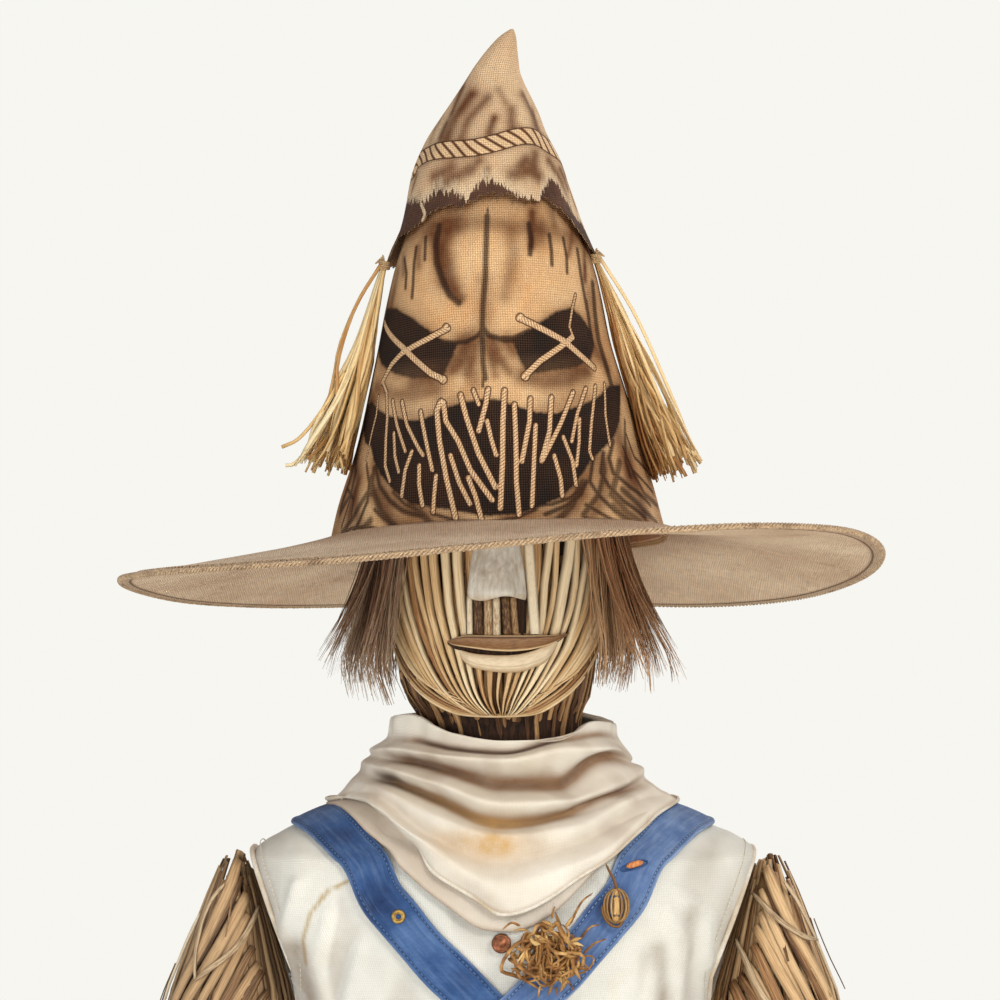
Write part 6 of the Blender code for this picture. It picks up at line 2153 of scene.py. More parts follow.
z_band = 0.3425
band_turns = np.linspace(0, TAU, 260, endpoint=False)
band_path = body_at(band_turns, np.full(260, z_band), SKIN + 0.0004 + 0.0012)
band_normal = unit(np.stack([np.cos(band_turns) * 0.078, np.sin(band_turns) * 0.097, 0 * band_turns], -1))
band, long = ribbon(
    "waistband_cloth", band_path, band_normal, 0.035, 0.0025, denim_band, closed=True,
    node="waistband"
)

for sign, label, material in ((-1, "left", denim_left_painted_shade), (1, "right", denim_right_painted_light)):
    path, normal = STRAPS[sign]
    LIFTS = np.array([(spot - nearest(spot)[0]) @ nearest(spot)[1] for spot in path])
    strap, long = ribbon(
        f"strap_{label}_cloth", path, normal, 0.027, 0.0022, material, node=f"strap_{label}",
        laid=lay_on_vest
    )

# Turn and height knots of the pale husks on each arm: the start's, then the end's.
HUSKS = {
    -1: (
        (((-132, 0.520), (-118, 0.511), (-96, 0.496)), ((-72, 0.484), (-60, 0.477)), 0.0019, 0.0040),
        (((-60, 0.478), (-54, 0.492), (-52, 0.508)), ((-60, 0.524), (-78, 0.534)), 0.0013, 0.0042),
        (((-150, 0.452), (-142, 0.430), (-134, 0.400)), ((-126, 0.360), (-121, 0.330)), 0.0016, 0.0030),
        (((-40, 0.515), (-28, 0.490), (-22, 0.450)), ((-20, 0.400), (-19, 0.360)), 0.0015, 0.0026),
    ),
    1: (
        (((-128, 0.528), (-108, 0.522), (-84, 0.512)), ((-58, 0.503), (-38, 0.500)), 0.0017, 0.0040),
        (((-140, 0.500), (-124, 0.490), (-104, 0.470)), ((-84, 0.448), (-70, 0.425)), 0.0019, 0.0036),
        (((-70, 0.535), (-52, 0.522), (-38, 0.500)), ((-28, 0.460), (-24, 0.430)), 0.0013, 0.0030),
        (((-146, 0.440), (-136, 0.415), (-126, 0.385)), ((-118, 0.355), (-112, 0.325)), 0.0015, 0.0030),
    ),
}

twine_look = Look("jute_twine")
grain = twine_look.noise(twine_look.place, 1100.0, 3.0, 0.6)
tone = twine_look.noise(twine_look.place, 160.0, 2.0)
colour = twine_look.mix(twine_look.remap(grain, 0.3, 0.7), rgb(142, 108, 70), rgb(208, 178, 132))
twine_material = twine_look.finish(
    twine_look.mix(twine_look.remap(tone, 0.5, 0.7, 0.0, 0.4), colour, rgb(98, 70, 44)),
    0.85,
    twine_look.bump(grain, 0.0003, 0.7),
    sheen=0.1,
)

# ---- scarf -------------------------------------------------------------------------------------

# Each curve of the cowl from its rim to its lower edge: turn from the front, positive to the
# viewer's right, with its height and its radius.
COWL = (
    (
        (-180, 0.632, 0.0565), (-135, 0.631, 0.0575), (-90, 0.629, 0.0585), (-60, 0.632, 0.0575),
        (-30, 0.6225, 0.0550), (0, 0.6180, 0.0540), (30, 0.6185, 0.0550), (60, 0.6280, 0.0570),
        (90, 0.626, 0.0580), (135, 0.631, 0.0575)
    ),
    (
        (-180, 0.634, 0.0620), (-135, 0.632, 0.0640), (-90, 0.631, 0.0670), (-60, 0.634, 0.0640),
        (-30, 0.6240, 0.0600), (0, 0.6200, 0.0580), (30, 0.6205, 0.0600), (60, 0.6300, 0.0640),
        (90, 0.627, 0.0670), (135, 0.632, 0.0640)
    ),
    (
        (-180, 0.622, 0.0660), (-135, 0.621, 0.0670), (-90, 0.619, 0.0695), (-60, 0.619, 0.0660),
        (-30, 0.6145, 0.0615), (0, 0.6125, 0.0605), (30, 0.6185, 0.0615), (60, 0.6220, 0.0660),
        (90, 0.619, 0.0695), (135, 0.621, 0.0670)
    ),
    (
        (-180, 0.612, 0.0740), (-135, 0.612, 0.0760), (-90, 0.612, 0.0800), (-60, 0.614, 0.0735),
        (-30, 0.6110, 0.0685), (0, 0.6090, 0.0680), (30, 0.6140, 0.0685), (60, 0.6143, 0.0735),
        (90, 0.607, 0.0770), (135, 0.611, 0.0750)
    ),
    (
        (-180, 0.606, 0.0740), (-135, 0.607, 0.0765), (-90, 0.608, 0.0800), (-60, 0.6065, 0.0690),
        (-30, 0.6010, 0.0640), (0, 0.5935, 0.0640), (30, 0.5935, 0.0640), (60, 0.6095, 0.0690),
        (90, 0.603, 0.0770), (135, 0.606, 0.0750)
    ),
    (
        (-180, 0.600, 0.0800), (-135, 0.602, 0.0820), (-90, 0.604, 0.0850), (-60, 0.6030, 0.0800),
        (-30, 0.5960, 0.0775), (0, 0.5850, 0.0790), (30, 0.5860, 0.0775), (60, 0.5950, 0.0800),
        (90, 0.600, 0.0850), (135, 0.601, 0.0820)
    ),
    (
        (-180, 0.594, 0.0800), (-135, 0.596, 0.0825), (-90, 0.5985, 0.0860), (-60, 0.5940, 0.0760),
        (-30, 0.5835, 0.0725), (0, 0.5715, 0.0750), (30, 0.5765, 0.0735), (60, 0.5870, 0.0770),
        (90, 0.5945, 0.0860), (135, 0.595, 0.0825)
    ),
    (
        (-180, 0.586, 0.0860), (-135, 0.589, 0.0880), (-90, 0.5930, 0.0910), (-60, 0.5930, 0.0865),
        (-30, 0.5790, 0.0850), (0, 0.5670, 0.0875), (30, 0.5720, 0.0850), (60, 0.5860, 0.0865),
        (90, 0.5905, 0.0910), (135, 0.588, 0.0880)
    ),
    (
        (-180, 0.576, 0.0910), (-135, 0.581, 0.0930), (-90, 0.5870, 0.0955), (-60, 0.5885, 0.0920),
        (-30, 0.5660, 0.0885), (0, 0.5515, 0.0885), (30, 0.5610, 0.0885), (60, 0.5780, 0.0920),
        (90, 0.5870, 0.0955), (135, 0.581, 0.0930)
    ),
    (
        (-180, 0.562, 0.0930), (-135, 0.572, 0.0970), (-90, 0.5825, 0.1000), (-60, 0.5850, 0.0960),
        (-30, 0.5640, 0.0965), (0, 0.5395, 0.0975), (30, 0.5535, 0.0985), (60, 0.5770, 0.0985),
        (90, 0.5845, 0.1000), (135, 0.572, 0.0970)
    ),
    (
        (-180, 0.550, 0.0930), (-135, 0.562, 0.0990), (-90, 0.5780, 0.1035), (-78, 0.5800, 0.0960),
        (-64, 0.5790, 0.0850), (-36, 0.5597, 0.0880), (-23.6, 0.5438, 0.0955), (-10, 0.5307, 0.0960),
        (0, 0.5215, 0.0975), (30, 0.5452, 0.1000), (60, 0.5720, 0.1015), (90, 0.5800, 0.1035),
        (135, 0.562, 0.0990)
    ),
)


def round_curve(rows, turns):
    """A closed smooth curve through (turn, ...) rows, read at every turn in degrees."""
    rows = np.array(rows, float)
    rows = np.concatenate([rows[-3:] - [360, 0, 0], rows, rows[:3] + [360, 0, 0]])
    return smooth_table(rows, turns)


columns = 300
deg = np.linspace(-180, 180, columns, endpoint=False)
curves = np.array([round_curve(rows, deg) for rows in COWL])
front_share = np.clip((75 - np.abs(deg)) / 25, 0, 1)
for which, deeper in ((2, 0.0025), (4, 0.0045), (6, 0.0035), (8, 0.0015)):
    curves[which, :, 1] -= deeper * front_share
for which, prouder in ((3, 0.0010), (5, 0.0015), (7, 0.0015), (9, 0.0010)):
    curves[which, :, 1] += prouder * front_share
spans = (3, 10, 14, 14, 14, 14, 10, 14, 14, 16)
grid = []
for k, steps in enumerate(spans):
    # Ridges are round and valleys are soft: a cubic through the four nearest curves.
    p0 = curves[max(k - 1, 0)]
    p1, p2 = curves[k], curves[k + 1]
    p3 = curves[min(k + 2, len(curves) - 1)]
    for t in np.linspace(0, 1, steps, endpoint=False):
        m1 = (p2 - p0) * 0.45
        m2 = (p3 - p1) * 0.45
        grid.append(
            (2 * t**3 - 3 * t**2 + 1) * p1 + (t**3 - 2 * t**2 + t) * m1 + (-2 * t**3 + 3 * t**2) * p2
            + (t**3 - t**2) * m2
        )
grid.append(curves[-1])
grid = np.array(grid)
rows = len(grid)
Z, R = grid[..., 0], grid[..., 1]
D = np.broadcast_to(np.radians(deg), Z.shape)
R = R + 0.0007 * ripple(81, D * 5, Z * 130) + 0.0005 * ripple(82, D * 14, Z * 60)
cowl = np.stack([R * np.sin(D), -R * np.cos(D), Z], -1)
cowl[..., 1] *= np.where(cowl[..., 1] > 0, 0.94, 1.0)
cowl = cleared(cowl, 0.0066)
lengths = np.linalg.norm(np.diff(cowl, axis=0, prepend=cowl[:1]), axis=-1)
uv = np.stack([D * 0.085, np.cumsum(lengths, axis=0), 0 * D], -1)


def scarf_stains_and_painted_shade(look, colour, fine):
    # Painted shade in the fold valleys, ochre stains, and painted shadow in the dark slits.
    shade = look.read("fold")
    colour = look.mix(
        look.times(shade, look.remap(fine, 0.2, 0.8, 0.8, 1.1), clamp=True), colour, rgb(142, 108, 78)
    )
    ochre = look.times(look.read("ochre"), look.remap(fine, 0.3, 0.7, 0.45, 1.15), clamp=True)
    colour = look.mix(ochre, colour, rgb(206, 164, 104))
    painted_slit_shadow = look.read("painted_slit_shadow")
    return look.mix(painted_slit_shadow, colour, rgb(74, 55, 44))


def near_curve(which, wide):
    """How near each grid row is to one of the curves: 1 on it."""
    at = sum(spans[:which])
    distance = np.linalg.norm(cowl - cowl[at][None], axis=-1)
    return np.exp(-((distance / wide) ** 2))


cx, cz = cowl[..., 0], cowl[..., 2]
in_front = np.clip(-cowl[..., 1] / 0.03, 0, 1)
# Painted shade in the valleys along curves 2, 4 and 6, and a little along 8, strongest over the front.
fold = 0.85 * near_curve(2, 0.0028) + 1.25 * near_curve(4, 0.0072) + 1.15 * near_curve(6, 0.0060)
reach = np.clip((78 - np.abs(deg - 4)) / 20, 0, 1)[None, :]
fold = fold * (0.25 + 0.75 * reach)
fold = fold + 0.25 * near_curve(8, 0.006) * reach
ochre = 0.85 * near_curve(6, 0.0045) * np.clip(1 - np.abs(cx - (-0.012)) / 0.060, 0, 1) ** 0.7
ochre = ochre + 0.75 * np.exp(-(((cx + 0.006) / 0.024) ** 2 + ((cz - 0.561) / 0.0105) ** 2)) * in_front
ochre = ochre + 0.45 * np.exp(-(((cx + 0.004) / 0.008) ** 2 + ((cz - 0.563) / 0.008) ** 2)) * in_front
ochre = ochre + 0.30 * np.exp(-(((cx + 0.030) / 0.014) ** 2 + ((cz - 0.564) / 0.006) ** 2)) * in_front
# Painted shadow: a dark line under the collar's rim across the front, a dark corner at the left end of curve
# 6, and fainter lines along curves 4 and 6.
painted_slit_shadow = np.zeros_like(cx)
painted_shadow_line = (
    near_curve(2, 0.0017) * np.clip((cx + 0.055) / 0.012, 0, 1) * np.clip((0.036 - cx) / 0.010, 0, 1)
    * in_front
)
painted_slit_shadow = np.maximum(painted_slit_shadow, 0.95 * painted_shadow_line)
painted_corner_shadow = (
    np.exp(-(((cx + 0.0665) / 0.0075) ** 2 + ((cz - (0.5975 - 0.12 * (cx + 0.0665))) / 0.0042) ** 2))
    * in_front
)
painted_slit_shadow = np.maximum(painted_slit_shadow, 0.95 * painted_corner_shadow * near_curve(6, 0.010))
painted_slit_shadow = np.maximum(
    painted_slit_shadow, 0.45 * near_curve(4, 0.0022) * np.clip((0.062 - np.abs(cx + 0.004)) / 0.02, 0, 1) * in_front
)
painted_slit_shadow = np.maximum(
    painted_slit_shadow, 0.40 * near_curve(6, 0.0020) * np.clip((0.066 - np.abs(cx + 0.020)) / 0.02, 0, 1) * in_front
)
# Darker along the cowl's lower edge, with random blotches of dirt.
dirt_and_painted_shade = (
    0.5 * np.clip(1 - np.linalg.norm(cowl - cowl[-1][None], axis=-1) / 0.004, 0, 1)
    + 0.25 * np.clip(ripple(84, D * 7, Z * 90) - 0.5, 0, 1)
)
scarf_look = cotton_look(
    "scarf_linen", (240, 234, 220), (220, 208, 188), (204, 182, 148), (146, 112, 80), 0.00085,
    extra=scarf_stains_and_painted_shade
)
scarf = build(
    "scarf_cowl", cowl, grid_faces(rows, columns, around=True), scarf_look, "stand",
    floats={
        "fold": np.clip(fold, 0, 1),
        "ochre": np.clip(ochre, 0, 1),
        "painted_slit_shadow": np.clip(painted_slit_shadow, 0, 1),
        "dirt_and_painted_shade": np.clip(dirt_and_painted_shade, 0, 1),
    },
    vectors={"cloth": uv}, replaces=("scarf_collar", "scarf_wrap"),
)
thicken = scarf.modifiers.new("cloth", "SOLIDIFY")
thicken.thickness = 0.0013
thicken.offset = -1.0
edge_path = cowl[-1] + [0, 0, 0.0003]
points, faces, floats = tube(edge_path, 0.0011, 7, closed=True)
build("scarf_edge_roll", points, faces, hem_material, "stand", floats=floats)

# The fold that shows below the cowl on the viewer's left and at the right of the point.
UNDER = np.array(
    [
        (-104, 0.5800, 0.1040), (-90, 0.5765, 0.1050), (-72, 0.5740, 0.0985), (-55, 0.5640, 0.0960),
        (-42, 0.5500, 0.0950), (-30, 0.5360, 0.0945),
        (-18, 0.5230, 0.0940), (-6, 0.5125, 0.0940), (4, 0.5115, 0.0940), (16, 0.5200, 0.0945),
        (24, 0.5300, 0.0950), (34, 0.5460, 0.0965), (48, 0.5620, 0.0985),
        (60, 0.5700, 0.1000),
    ]
)
deg = np.linspace(-104, 60, 170)
low = smooth_table(UNDER, deg)
top_z = round_curve(COWL[8], deg)[:, 0]
share = np.linspace(0, 1, 34)[:, None]
Z = top_z[None] + (low[None, :, 0] - top_z[None]) * share
R = 0.080 + (low[None, :, 1] - 0.080) * share**0.6
D = np.broadcast_to(np.radians(deg), Z.shape)
R = R + 0.0006 * ripple(86, D * 9, Z * 120)
under = np.stack([R * np.sin(D), -R * np.cos(D), Z], -1)
under = cleared(under, 0.0060 - 0.0012 * np.clip(share, 0, 1) + 0 * Z)
under[..., 1] = np.maximum(under[..., 1], -0.0985)
ux = under[..., 0]
# Painted shade over the under layer, strongest midway down and towards the viewer's left.
fold = 0.55 + 0.35 * np.clip(1 - np.abs(share - 0.55) / 0.4, 0, 1) + 0 * Z
fold = fold * (0.55 + 0.45 * np.clip((-ux - 0.01) / 0.03, 0, 1))
lengths = np.linalg.norm(np.diff(under, axis=0, prepend=under[:1]), axis=-1)
uv = np.stack([D * 0.095, np.cumsum(lengths, axis=0), 0 * D], -1)
dirt_and_painted_shade = 0.6 * np.clip((share - 0.93) / 0.07, 0, 1) + 0 * Z
zero = np.zeros_like(ux)
under_fold = build(
    "scarf_under_layer", under, grid_faces(34, 170), scarf_look, "stand",
    floats={"fold": np.clip(fold, 0, 1) * 0.6, "ochre": zero, "painted_slit_shadow": zero, "dirt_and_painted_shade": dirt_and_painted_shade},
    vectors={"cloth": uv}, replaces=("scarf_under_fold",),
)
thicken = under_fold.modifiers.new("cloth", "SOLIDIFY")
thicken.thickness = 0.0012
thicken.offset = -1.0

# ---- arms --------------------------------------------------------------------------------------

# The left arm's straw is a darker copy of the right arm's: painted shade on the side away from the key light,
# painted light on the lit side.
arm_look_left_painted_shade = stalk_look(
    "arm_straw_left", (62, 42, 28), (142, 108, 74), (194, 160, 118), along=26.0, gloss=0.5, spread=0.9
)
arm_look_right_painted_light = stalk_look(
    "arm_straw_right", (78, 48, 28), (168, 124, 80), (216, 182, 136), along=26.0, gloss=0.5, spread=0.9
)
hand_look = stalk_look(
    "hand_straw", (92, 64, 38), (176, 140, 92), (220, 190, 142), along=30.0, gloss=0.5, spread=0.9
)
pale_look = stalk_look(
    "pale_husk", (126, 98, 68), (204, 178, 142), (232, 214, 184), along=22.0, gloss=0.5, spread=0.6
)


def arm_at(sign, turn, z, grow):
    """turn 0 is the outer side, -90 degrees the front and 180 the side next to the body."""
    row = smooth_table(ARM, z)
    x = row[..., 0] + (row[..., 1] + grow) * np.cos(turn)
    y = (row[..., 2] + grow) * np.sin(turn)
    return np.stack(np.broadcast_arrays(sign * x, y, z), -1)


def clear_of_body(sign, points, gap):
    """No strand crosses the plane of the armhole."""
    middle, way = axis_of(sign)
    past = (points - middle) @ way
    return points + np.clip(gap - past, 0, None)[..., None] * way


for sign, label, material in ((-1, "left", arm_look_left_painted_shade), (1, "right", arm_look_right_painted_light)):
    seed = 100 + sign
    rng = np.random.default_rng(seed)
    node = f"arm_straw_{label}"
    body_name = f"arm_{label}"
    # A dark core.
    levels = np.linspace(0.2625, 0.5420, 40)
    turns = np.linspace(0, TAU, 40, endpoint=False)
    T, Z = np.meshgrid(turns, levels)
    core = arm_at(sign, T, Z, -0.0065 - 0.006 * np.clip((Z - 0.525) / 0.017, 0, 1))
    thin = smooth_table(ARM, Z)[..., 1] < 0.009
    core[thin] = arm_at(sign, T, Z, -0.002)[thin]
    core = clear_of_body(sign, core, 0.0062)
    ends = [np.repeat(core[0].mean(0)[None], 40, 0), np.repeat(core[-1].mean(0)[None], 40, 0)]
    core = np.concatenate([ends[0][None], core, ends[1][None]])
    build(
        f"arm_core_{label}",
        core,
        grid_faces(42, 40, around=True),
        dark_core_and_shade_material,
        body_name,
        replaces=(node,),
    )
    parts = []
    # Long stalks all round, under the curved ones.
    count = 52
    share = np.linspace(0, 1, 18)
    turn0 = np.linspace(0, TAU, count, endpoint=False) + rng.uniform(-0.04, 0.04, count)
    top = 0.548 - 0.022 * rng.random(count)
    z = top[:, None] + (0.2595 - top[:, None]) * share[None, :]
    turn = (
        turn0[:, None] + 0.35 * np.sin(turn0)[:, None] * (1 - share)[None, :] ** 2
        + 0.03 * ripple(seed, turn0[:, None] * 30, share[None, :] * 4)
    )
    grow = -0.0024 + rng.uniform(-0.001, 0.0006, count)[:, None]
    path = clear_of_body(sign, arm_at(sign, turn, z, grow), 0.0050)
    outward = np.stack([sign * np.cos(turn), np.sin(turn), 0 * turn], -1)
    width = (
        (rng.uniform(0.0018, 0.0030, count))[:, None]
        * np.interp(share, [0, 0.15, 0.8, 1], [0.55, 1, 1, 0.55])[None, :]
    )
    grow = grow - 0.001
    parts.append(strips(path, width, 0.0011, outward, CROWNED))
    # Wide stalks that spring from the armhole, bend outward and join the fall of the arm.
    for side in (-1, 1):
        count = 22
        start_z = np.linspace(0.545, 0.350, count) + rng.uniform(-0.004, 0.004, count)
        end_z = np.clip(start_z - rng.uniform(0.19, 0.27, count), 0.2595, None)
        rank = np.linspace(0, 1, count)
        end_turn = np.radians(-(8 + 118 * rank) + rng.uniform(-8, 8, count)) * -side
        begin_turn = np.radians(-(112 + 52 * rank) + rng.uniform(-6, 6, count)) * -side
        share = np.linspace(0, 1, 22)
        fall = share[None, :] ** 1.25
        z = start_z[:, None] + (end_z - start_z)[:, None] * fall
        bend = 1 - (1 - share[None, :]) ** 2.0
        turn = begin_turn[:, None] + (end_turn - begin_turn)[:, None] * bend
        grow = (
            0.0004 + rng.uniform(-0.0006, 0.0012, count)[:, None]
            + 0.0012 * np.sin(math.pi * share)[None, :]
        )
        path = clear_of_body(sign, arm_at(sign, turn, z, grow), 0.0048)
        outward = np.stack([sign * np.cos(turn), np.sin(turn), 0.15 + 0 * turn], -1)
        width = (
            (rng.uniform(0.0028, 0.0044, count))[:, None]
            * np.interp(share, [0, 0.12, 0.75, 1], [0.8, 1, 0.9, 0.45])[None, :]
        )
        parts.append(strips(path, width, 0.0014, outward, CROWNED))
    # A few loose split ends along the outline.
    count = 26
    turn0 = rng.uniform(-1.9, 1.9, count)
    start_z = rng.uniform(0.33, 0.53, count)
    share = np.linspace(0, 1, 8)
    z = start_z[:, None] - 0.028 * share[None, :] * rng.uniform(0.6, 1.6, count)[:, None]
    path = clear_of_body(
        sign,
        arm_at(sign, turn0[:, None] + 0.1 * share[None, :], z, 0.0010 + 0.0030 * share[None, :] ** 2),
        0.0052,
    )
    outward = np.stack([sign * np.cos(turn0), np.sin(turn0), 0 * turn0], -1)[:, None, :]
    parts.append(
        strips(
            path,
            (rng.uniform(0.0007, 0.0016, count))[:, None] * (1 - 0.6 * share)[None, :],
            0.0005,
            outward,
            FLAT,
        )
    )
    points, faces, floats = joined(*parts)
    build(f"arm_stalks_{label}", points, faces, material, body_name, floats=floats)
    # Pale husks hooked over the front of the shoulder.
    husks = []
    for begin, finish, width_h, lift in HUSKS[sign]:
        a = np.linspace(0, 1, 14)
        knots = np.array(begin + finish)
        line = smooth_path(knots, 16)
        turn = np.radians(line[:, 0])
        husks.append(
            (
                clear_of_body(
                    sign, arm_at(sign, turn, line[:, 1], lift + 0.0004 * np.arange(16) / 16), 0.0048
                ),
                width_h,
                np.stack([sign * np.cos(turn), np.sin(turn), 0.1 + 0 * turn], -1),
            )
        )
    husk_taper = np.interp(np.linspace(0, 1, 16), [0, 0.2, 0.85, 1], [0.6, 1, 1, 0.35])[None, :]
    husk_width = np.array([h[1] for h in husks])[:, None] * husk_taper
    husk_lines, husk_out = np.array([h[0] for h in husks]), np.array([h[2] for h in husks])
    points, faces, floats = strips(husk_lines, husk_width, 0.0011, husk_out, CROWNED)
    build(f"pale_husks_{label}", points, faces, pale_look, body_name, floats=floats)

    # ---- hand and wrist
    rng = np.random.default_rng(seed + 40)
    hand = []
    for layer, (count, grow) in enumerate(((54, -0.0035), (56, -0.0008), (30, -0.012))):
        turn0 = np.linspace(0, TAU, count, endpoint=False) + rng.uniform(-0.05, 0.05, count)
        low = 0.1505 + 0.016 * rng.random(count) ** 1.5
        share = np.linspace(0, 1, 12)
        z = 0.2605 + (low[:, None] - 0.2605) * share[None, :]
        row = smooth_table(HAND, z)
        turn = turn0[:, None] + rng.normal(0, 0.10, count)[:, None] * share[None, :]
        g = grow * (0.3 + 0.7 * share[None, :]) + rng.uniform(-0.002, 0.0, count)[:, None] * share[None, :]
        x = sign * (row[..., 0] + (row[..., 1] + g) * np.cos(turn))
        y = (row[..., 2] + g) * np.sin(turn)
        path = np.stack([x, y, z], -1)
        outward = np.stack([sign * np.cos(turn), np.sin(turn), 0 * turn], -1)
        width = (
            rng.uniform(0.0011, 0.0022, count)[:, None]
            * np.interp(share, [0, 0.3, 0.9, 1], [0.7, 1, 1, 0.6])[None, :]
        )
        hand.append(strips(path, width, 0.0010, outward, CROWNED))
    points, faces, floats = joined(*hand)
    build(
        f"hand_stalks_{label}",
        points,
        faces,
        hand_look,
        body_name,
        floats=floats,
        replaces=(f"hand_straw_{label}",),
    )
    turns = np.linspace(0, TAU, 40, endpoint=False)
    T, Z = np.meshgrid(turns, np.linspace(0.163, 0.2600, 14))
    row = smooth_table(HAND, Z)
    plug = np.stack(
        [sign * (row[..., 0] + (row[..., 1] - 0.0065) * np.cos(T)), (row[..., 2] - 0.0065) * np.sin(T), Z],
        -1,
    )
    plug = np.concatenate(
        [
            np.repeat(plug[0].mean(0)[None, None], 40, 1),
            plug,
            np.repeat(plug[-1].mean(0)[None, None], 40, 1),
        ]
    )
    build(
        f"hand_core_{label}",
        plug,
        grid_faces(16, 40, around=True),
        dark_core_and_shade_material,
        body_name,
    )
    laps = 5
    t = np.linspace(0, TAU * laps, laps * 44)
    rise = 0.2574 + 0.0094 * t / t[-1]
    r = 0.0236 + 0.0007 * np.sin(t * 2.3) + 0.0004 * np.sin(t * 7)
    path = np.stack([sign * 0.1800 + r * np.cos(t), r * np.sin(t), rise + 0.0006 * np.sin(t * 1.3)], -1)
    wound = []
    for strand in range(2):
        phase = t * 26 + math.pi * strand
        outward = np.stack([np.cos(t), np.sin(t), 0 * t], -1)
        wound.append(
            tube(
                path + outward * (0.0006 * np.cos(phase))[:, None]
                + np.stack([0 * t, 0 * t, 0.0006 * np.sin(phase)], -1),
                0.00085,
                5,
            )
        )
    for k in (-1, 1):
        knot = smooth_path(
            [
                (sign * 0.180 + 0.0005 * k, -0.0245, 0.262),
                (sign * 0.180 + 0.004 * k, -0.0262, 0.2585),
                (sign * 0.180 + 0.006 * k, -0.0258, 0.248),
                (sign * 0.180 + 0.009 * k, -0.0262, 0.240),
            ],
            12,
        )
        wound.append(tube(knot, 0.0010, 6))
    points, faces, floats = joined(*wound)
    build(
        f"wrist_twine_{label}",
        points,
        faces,
        twine_material,
        body_name,
        floats=floats,
        replaces=(f"wrist_tie_{label}",),
    )

# ---- straw fringe under the vest ---------------------------------------------------------------

fringe_look = stalk_look(
    "waist_fringe", (88, 62, 36), (172, 136, 86), (218, 188, 138), along=34.0, gloss=0.5, spread=1.0
)
fringe = []
rng = np.random.default_rng(77)
for count, start, finish, long in (
    (120, (0.096, 0.082), (0.0845, 0.0705), 1.0),
    (110, (0.088, 0.074), (0.077, 0.063), 0.9),
    (90, (0.076, 0.063), (0.064, 0.051), 0.8),
):
    turn0 = np.linspace(0, TAU, count, endpoint=False) + rng.uniform(-0.03, 0.03, count)
    share = np.linspace(0, 1, 10)
    low = 0.1605 + 0.014 * rng.random(count)
    z = 0.2138 + (low[:, None] - 0.2138) * share[None, :]
    turn = turn0[:, None] + rng.normal(0, 0.05, count)[:, None] * share[None, :]
    rx = start[0] + (finish[0] - start[0]) * share[None, :] ** 1.2
    ry = start[1] + (finish[1] - start[1]) * share[None, :] ** 1.2
    bow = 0.0008 * ripple(78, turn0[:, None] * 33, share[None, :] * 4)
    path = np.stack([(rx + bow) * np.cos(turn), (ry + bow) * np.sin(turn), z], -1)
    outward = np.stack([np.cos(turn), np.sin(turn), 0 * turn], -1)
    width = (
        rng.uniform(0.0016, 0.0030, count)[:, None]
        * np.interp(share, [0, 0.2, 0.9, 1], [0.8, 1, 0.9, 0.5])[None, :]
    )
    fringe.append(strips(path, width, 0.0010, outward, CROWNED))
points, faces, floats = joined(*fringe)
build(
    "waist_fringe",
    points,
    faces,
    fringe_look,
    "stand",
    floats=floats,
    replaces=("waist_straw",),
)

# ---- raffia tufts ------------------------------------------------------------------------------

TUFT = {
    -1: np.array(
        [
            (0.030, 0.0022, 0.0172, 0.0270),
            (0.050, 0.0024, 0.0150, 0.0250),
            (0.080, 0.0028, 0.0105, 0.0190),
            (0.110, 0.0030, 0.0070, 0.0140),
            (0.140, 0.0032, 0.0045, 0.0095),
            (0.162, 0.0042, 0.0026, 0.0055),
        ]
    ),
    1: np.array(
        [
            (0.030, 0.0022, 0.0168, 0.0280),
            (0.050, 0.0024, 0.0155, 0.0260),
            (0.080, 0.0028, 0.0120, 0.0200),
            (0.110, 0.0030, 0.0095, 0.0150),
            (0.140, 0.0032, 0.0060, 0.0100),
            (0.162, 0.0042, 0.0026, 0.0055),
        ]
    ),
}
raffia_left = stalk_look(
    "raffia_left", (170, 118, 62), (236, 198, 134), (252, 232, 186), along=26.0, gloss=0.4, spread=1.1,
    edges=0.35
)
raffia_right = stalk_look(
    "raffia_right", (160, 104, 54), (234, 194, 130), (252, 230, 182), along=26.0, gloss=0.4, spread=1.1,
    edges=0.35
)


def tuft_at(sign, h, u, v):
    """u runs out from the crown, -1 to 1; v runs from front to back, -1 to 1."""
    crown = smooth_table(CROWN, np.clip(h, 0, 0.2))
    row = smooth_table(TUFT[sign], np.clip(h, 0.030, 0.162))
    x = (
        crown[..., 1]
        + sign * (crown[..., 0] + row[..., 0] - (0.0012 if sign < 0 else 0.0038) + row[..., 1] * (1 + u))
    )
    y = -0.010 + row[..., 2] * v
    # Nothing goes into the crown in front of or behind its widest line.
    room = np.sqrt(np.clip(1 - (y / (HAT_DEPTH * (crown[..., 0] + 0.004))) ** 2, 0, 1))
    x = np.where(np.abs(x) < crown[..., 0] * room + 0.0022, sign * (crown[..., 0] * room + 0.0022), x)
    return on_hat(np.stack([x, y, h], -1))


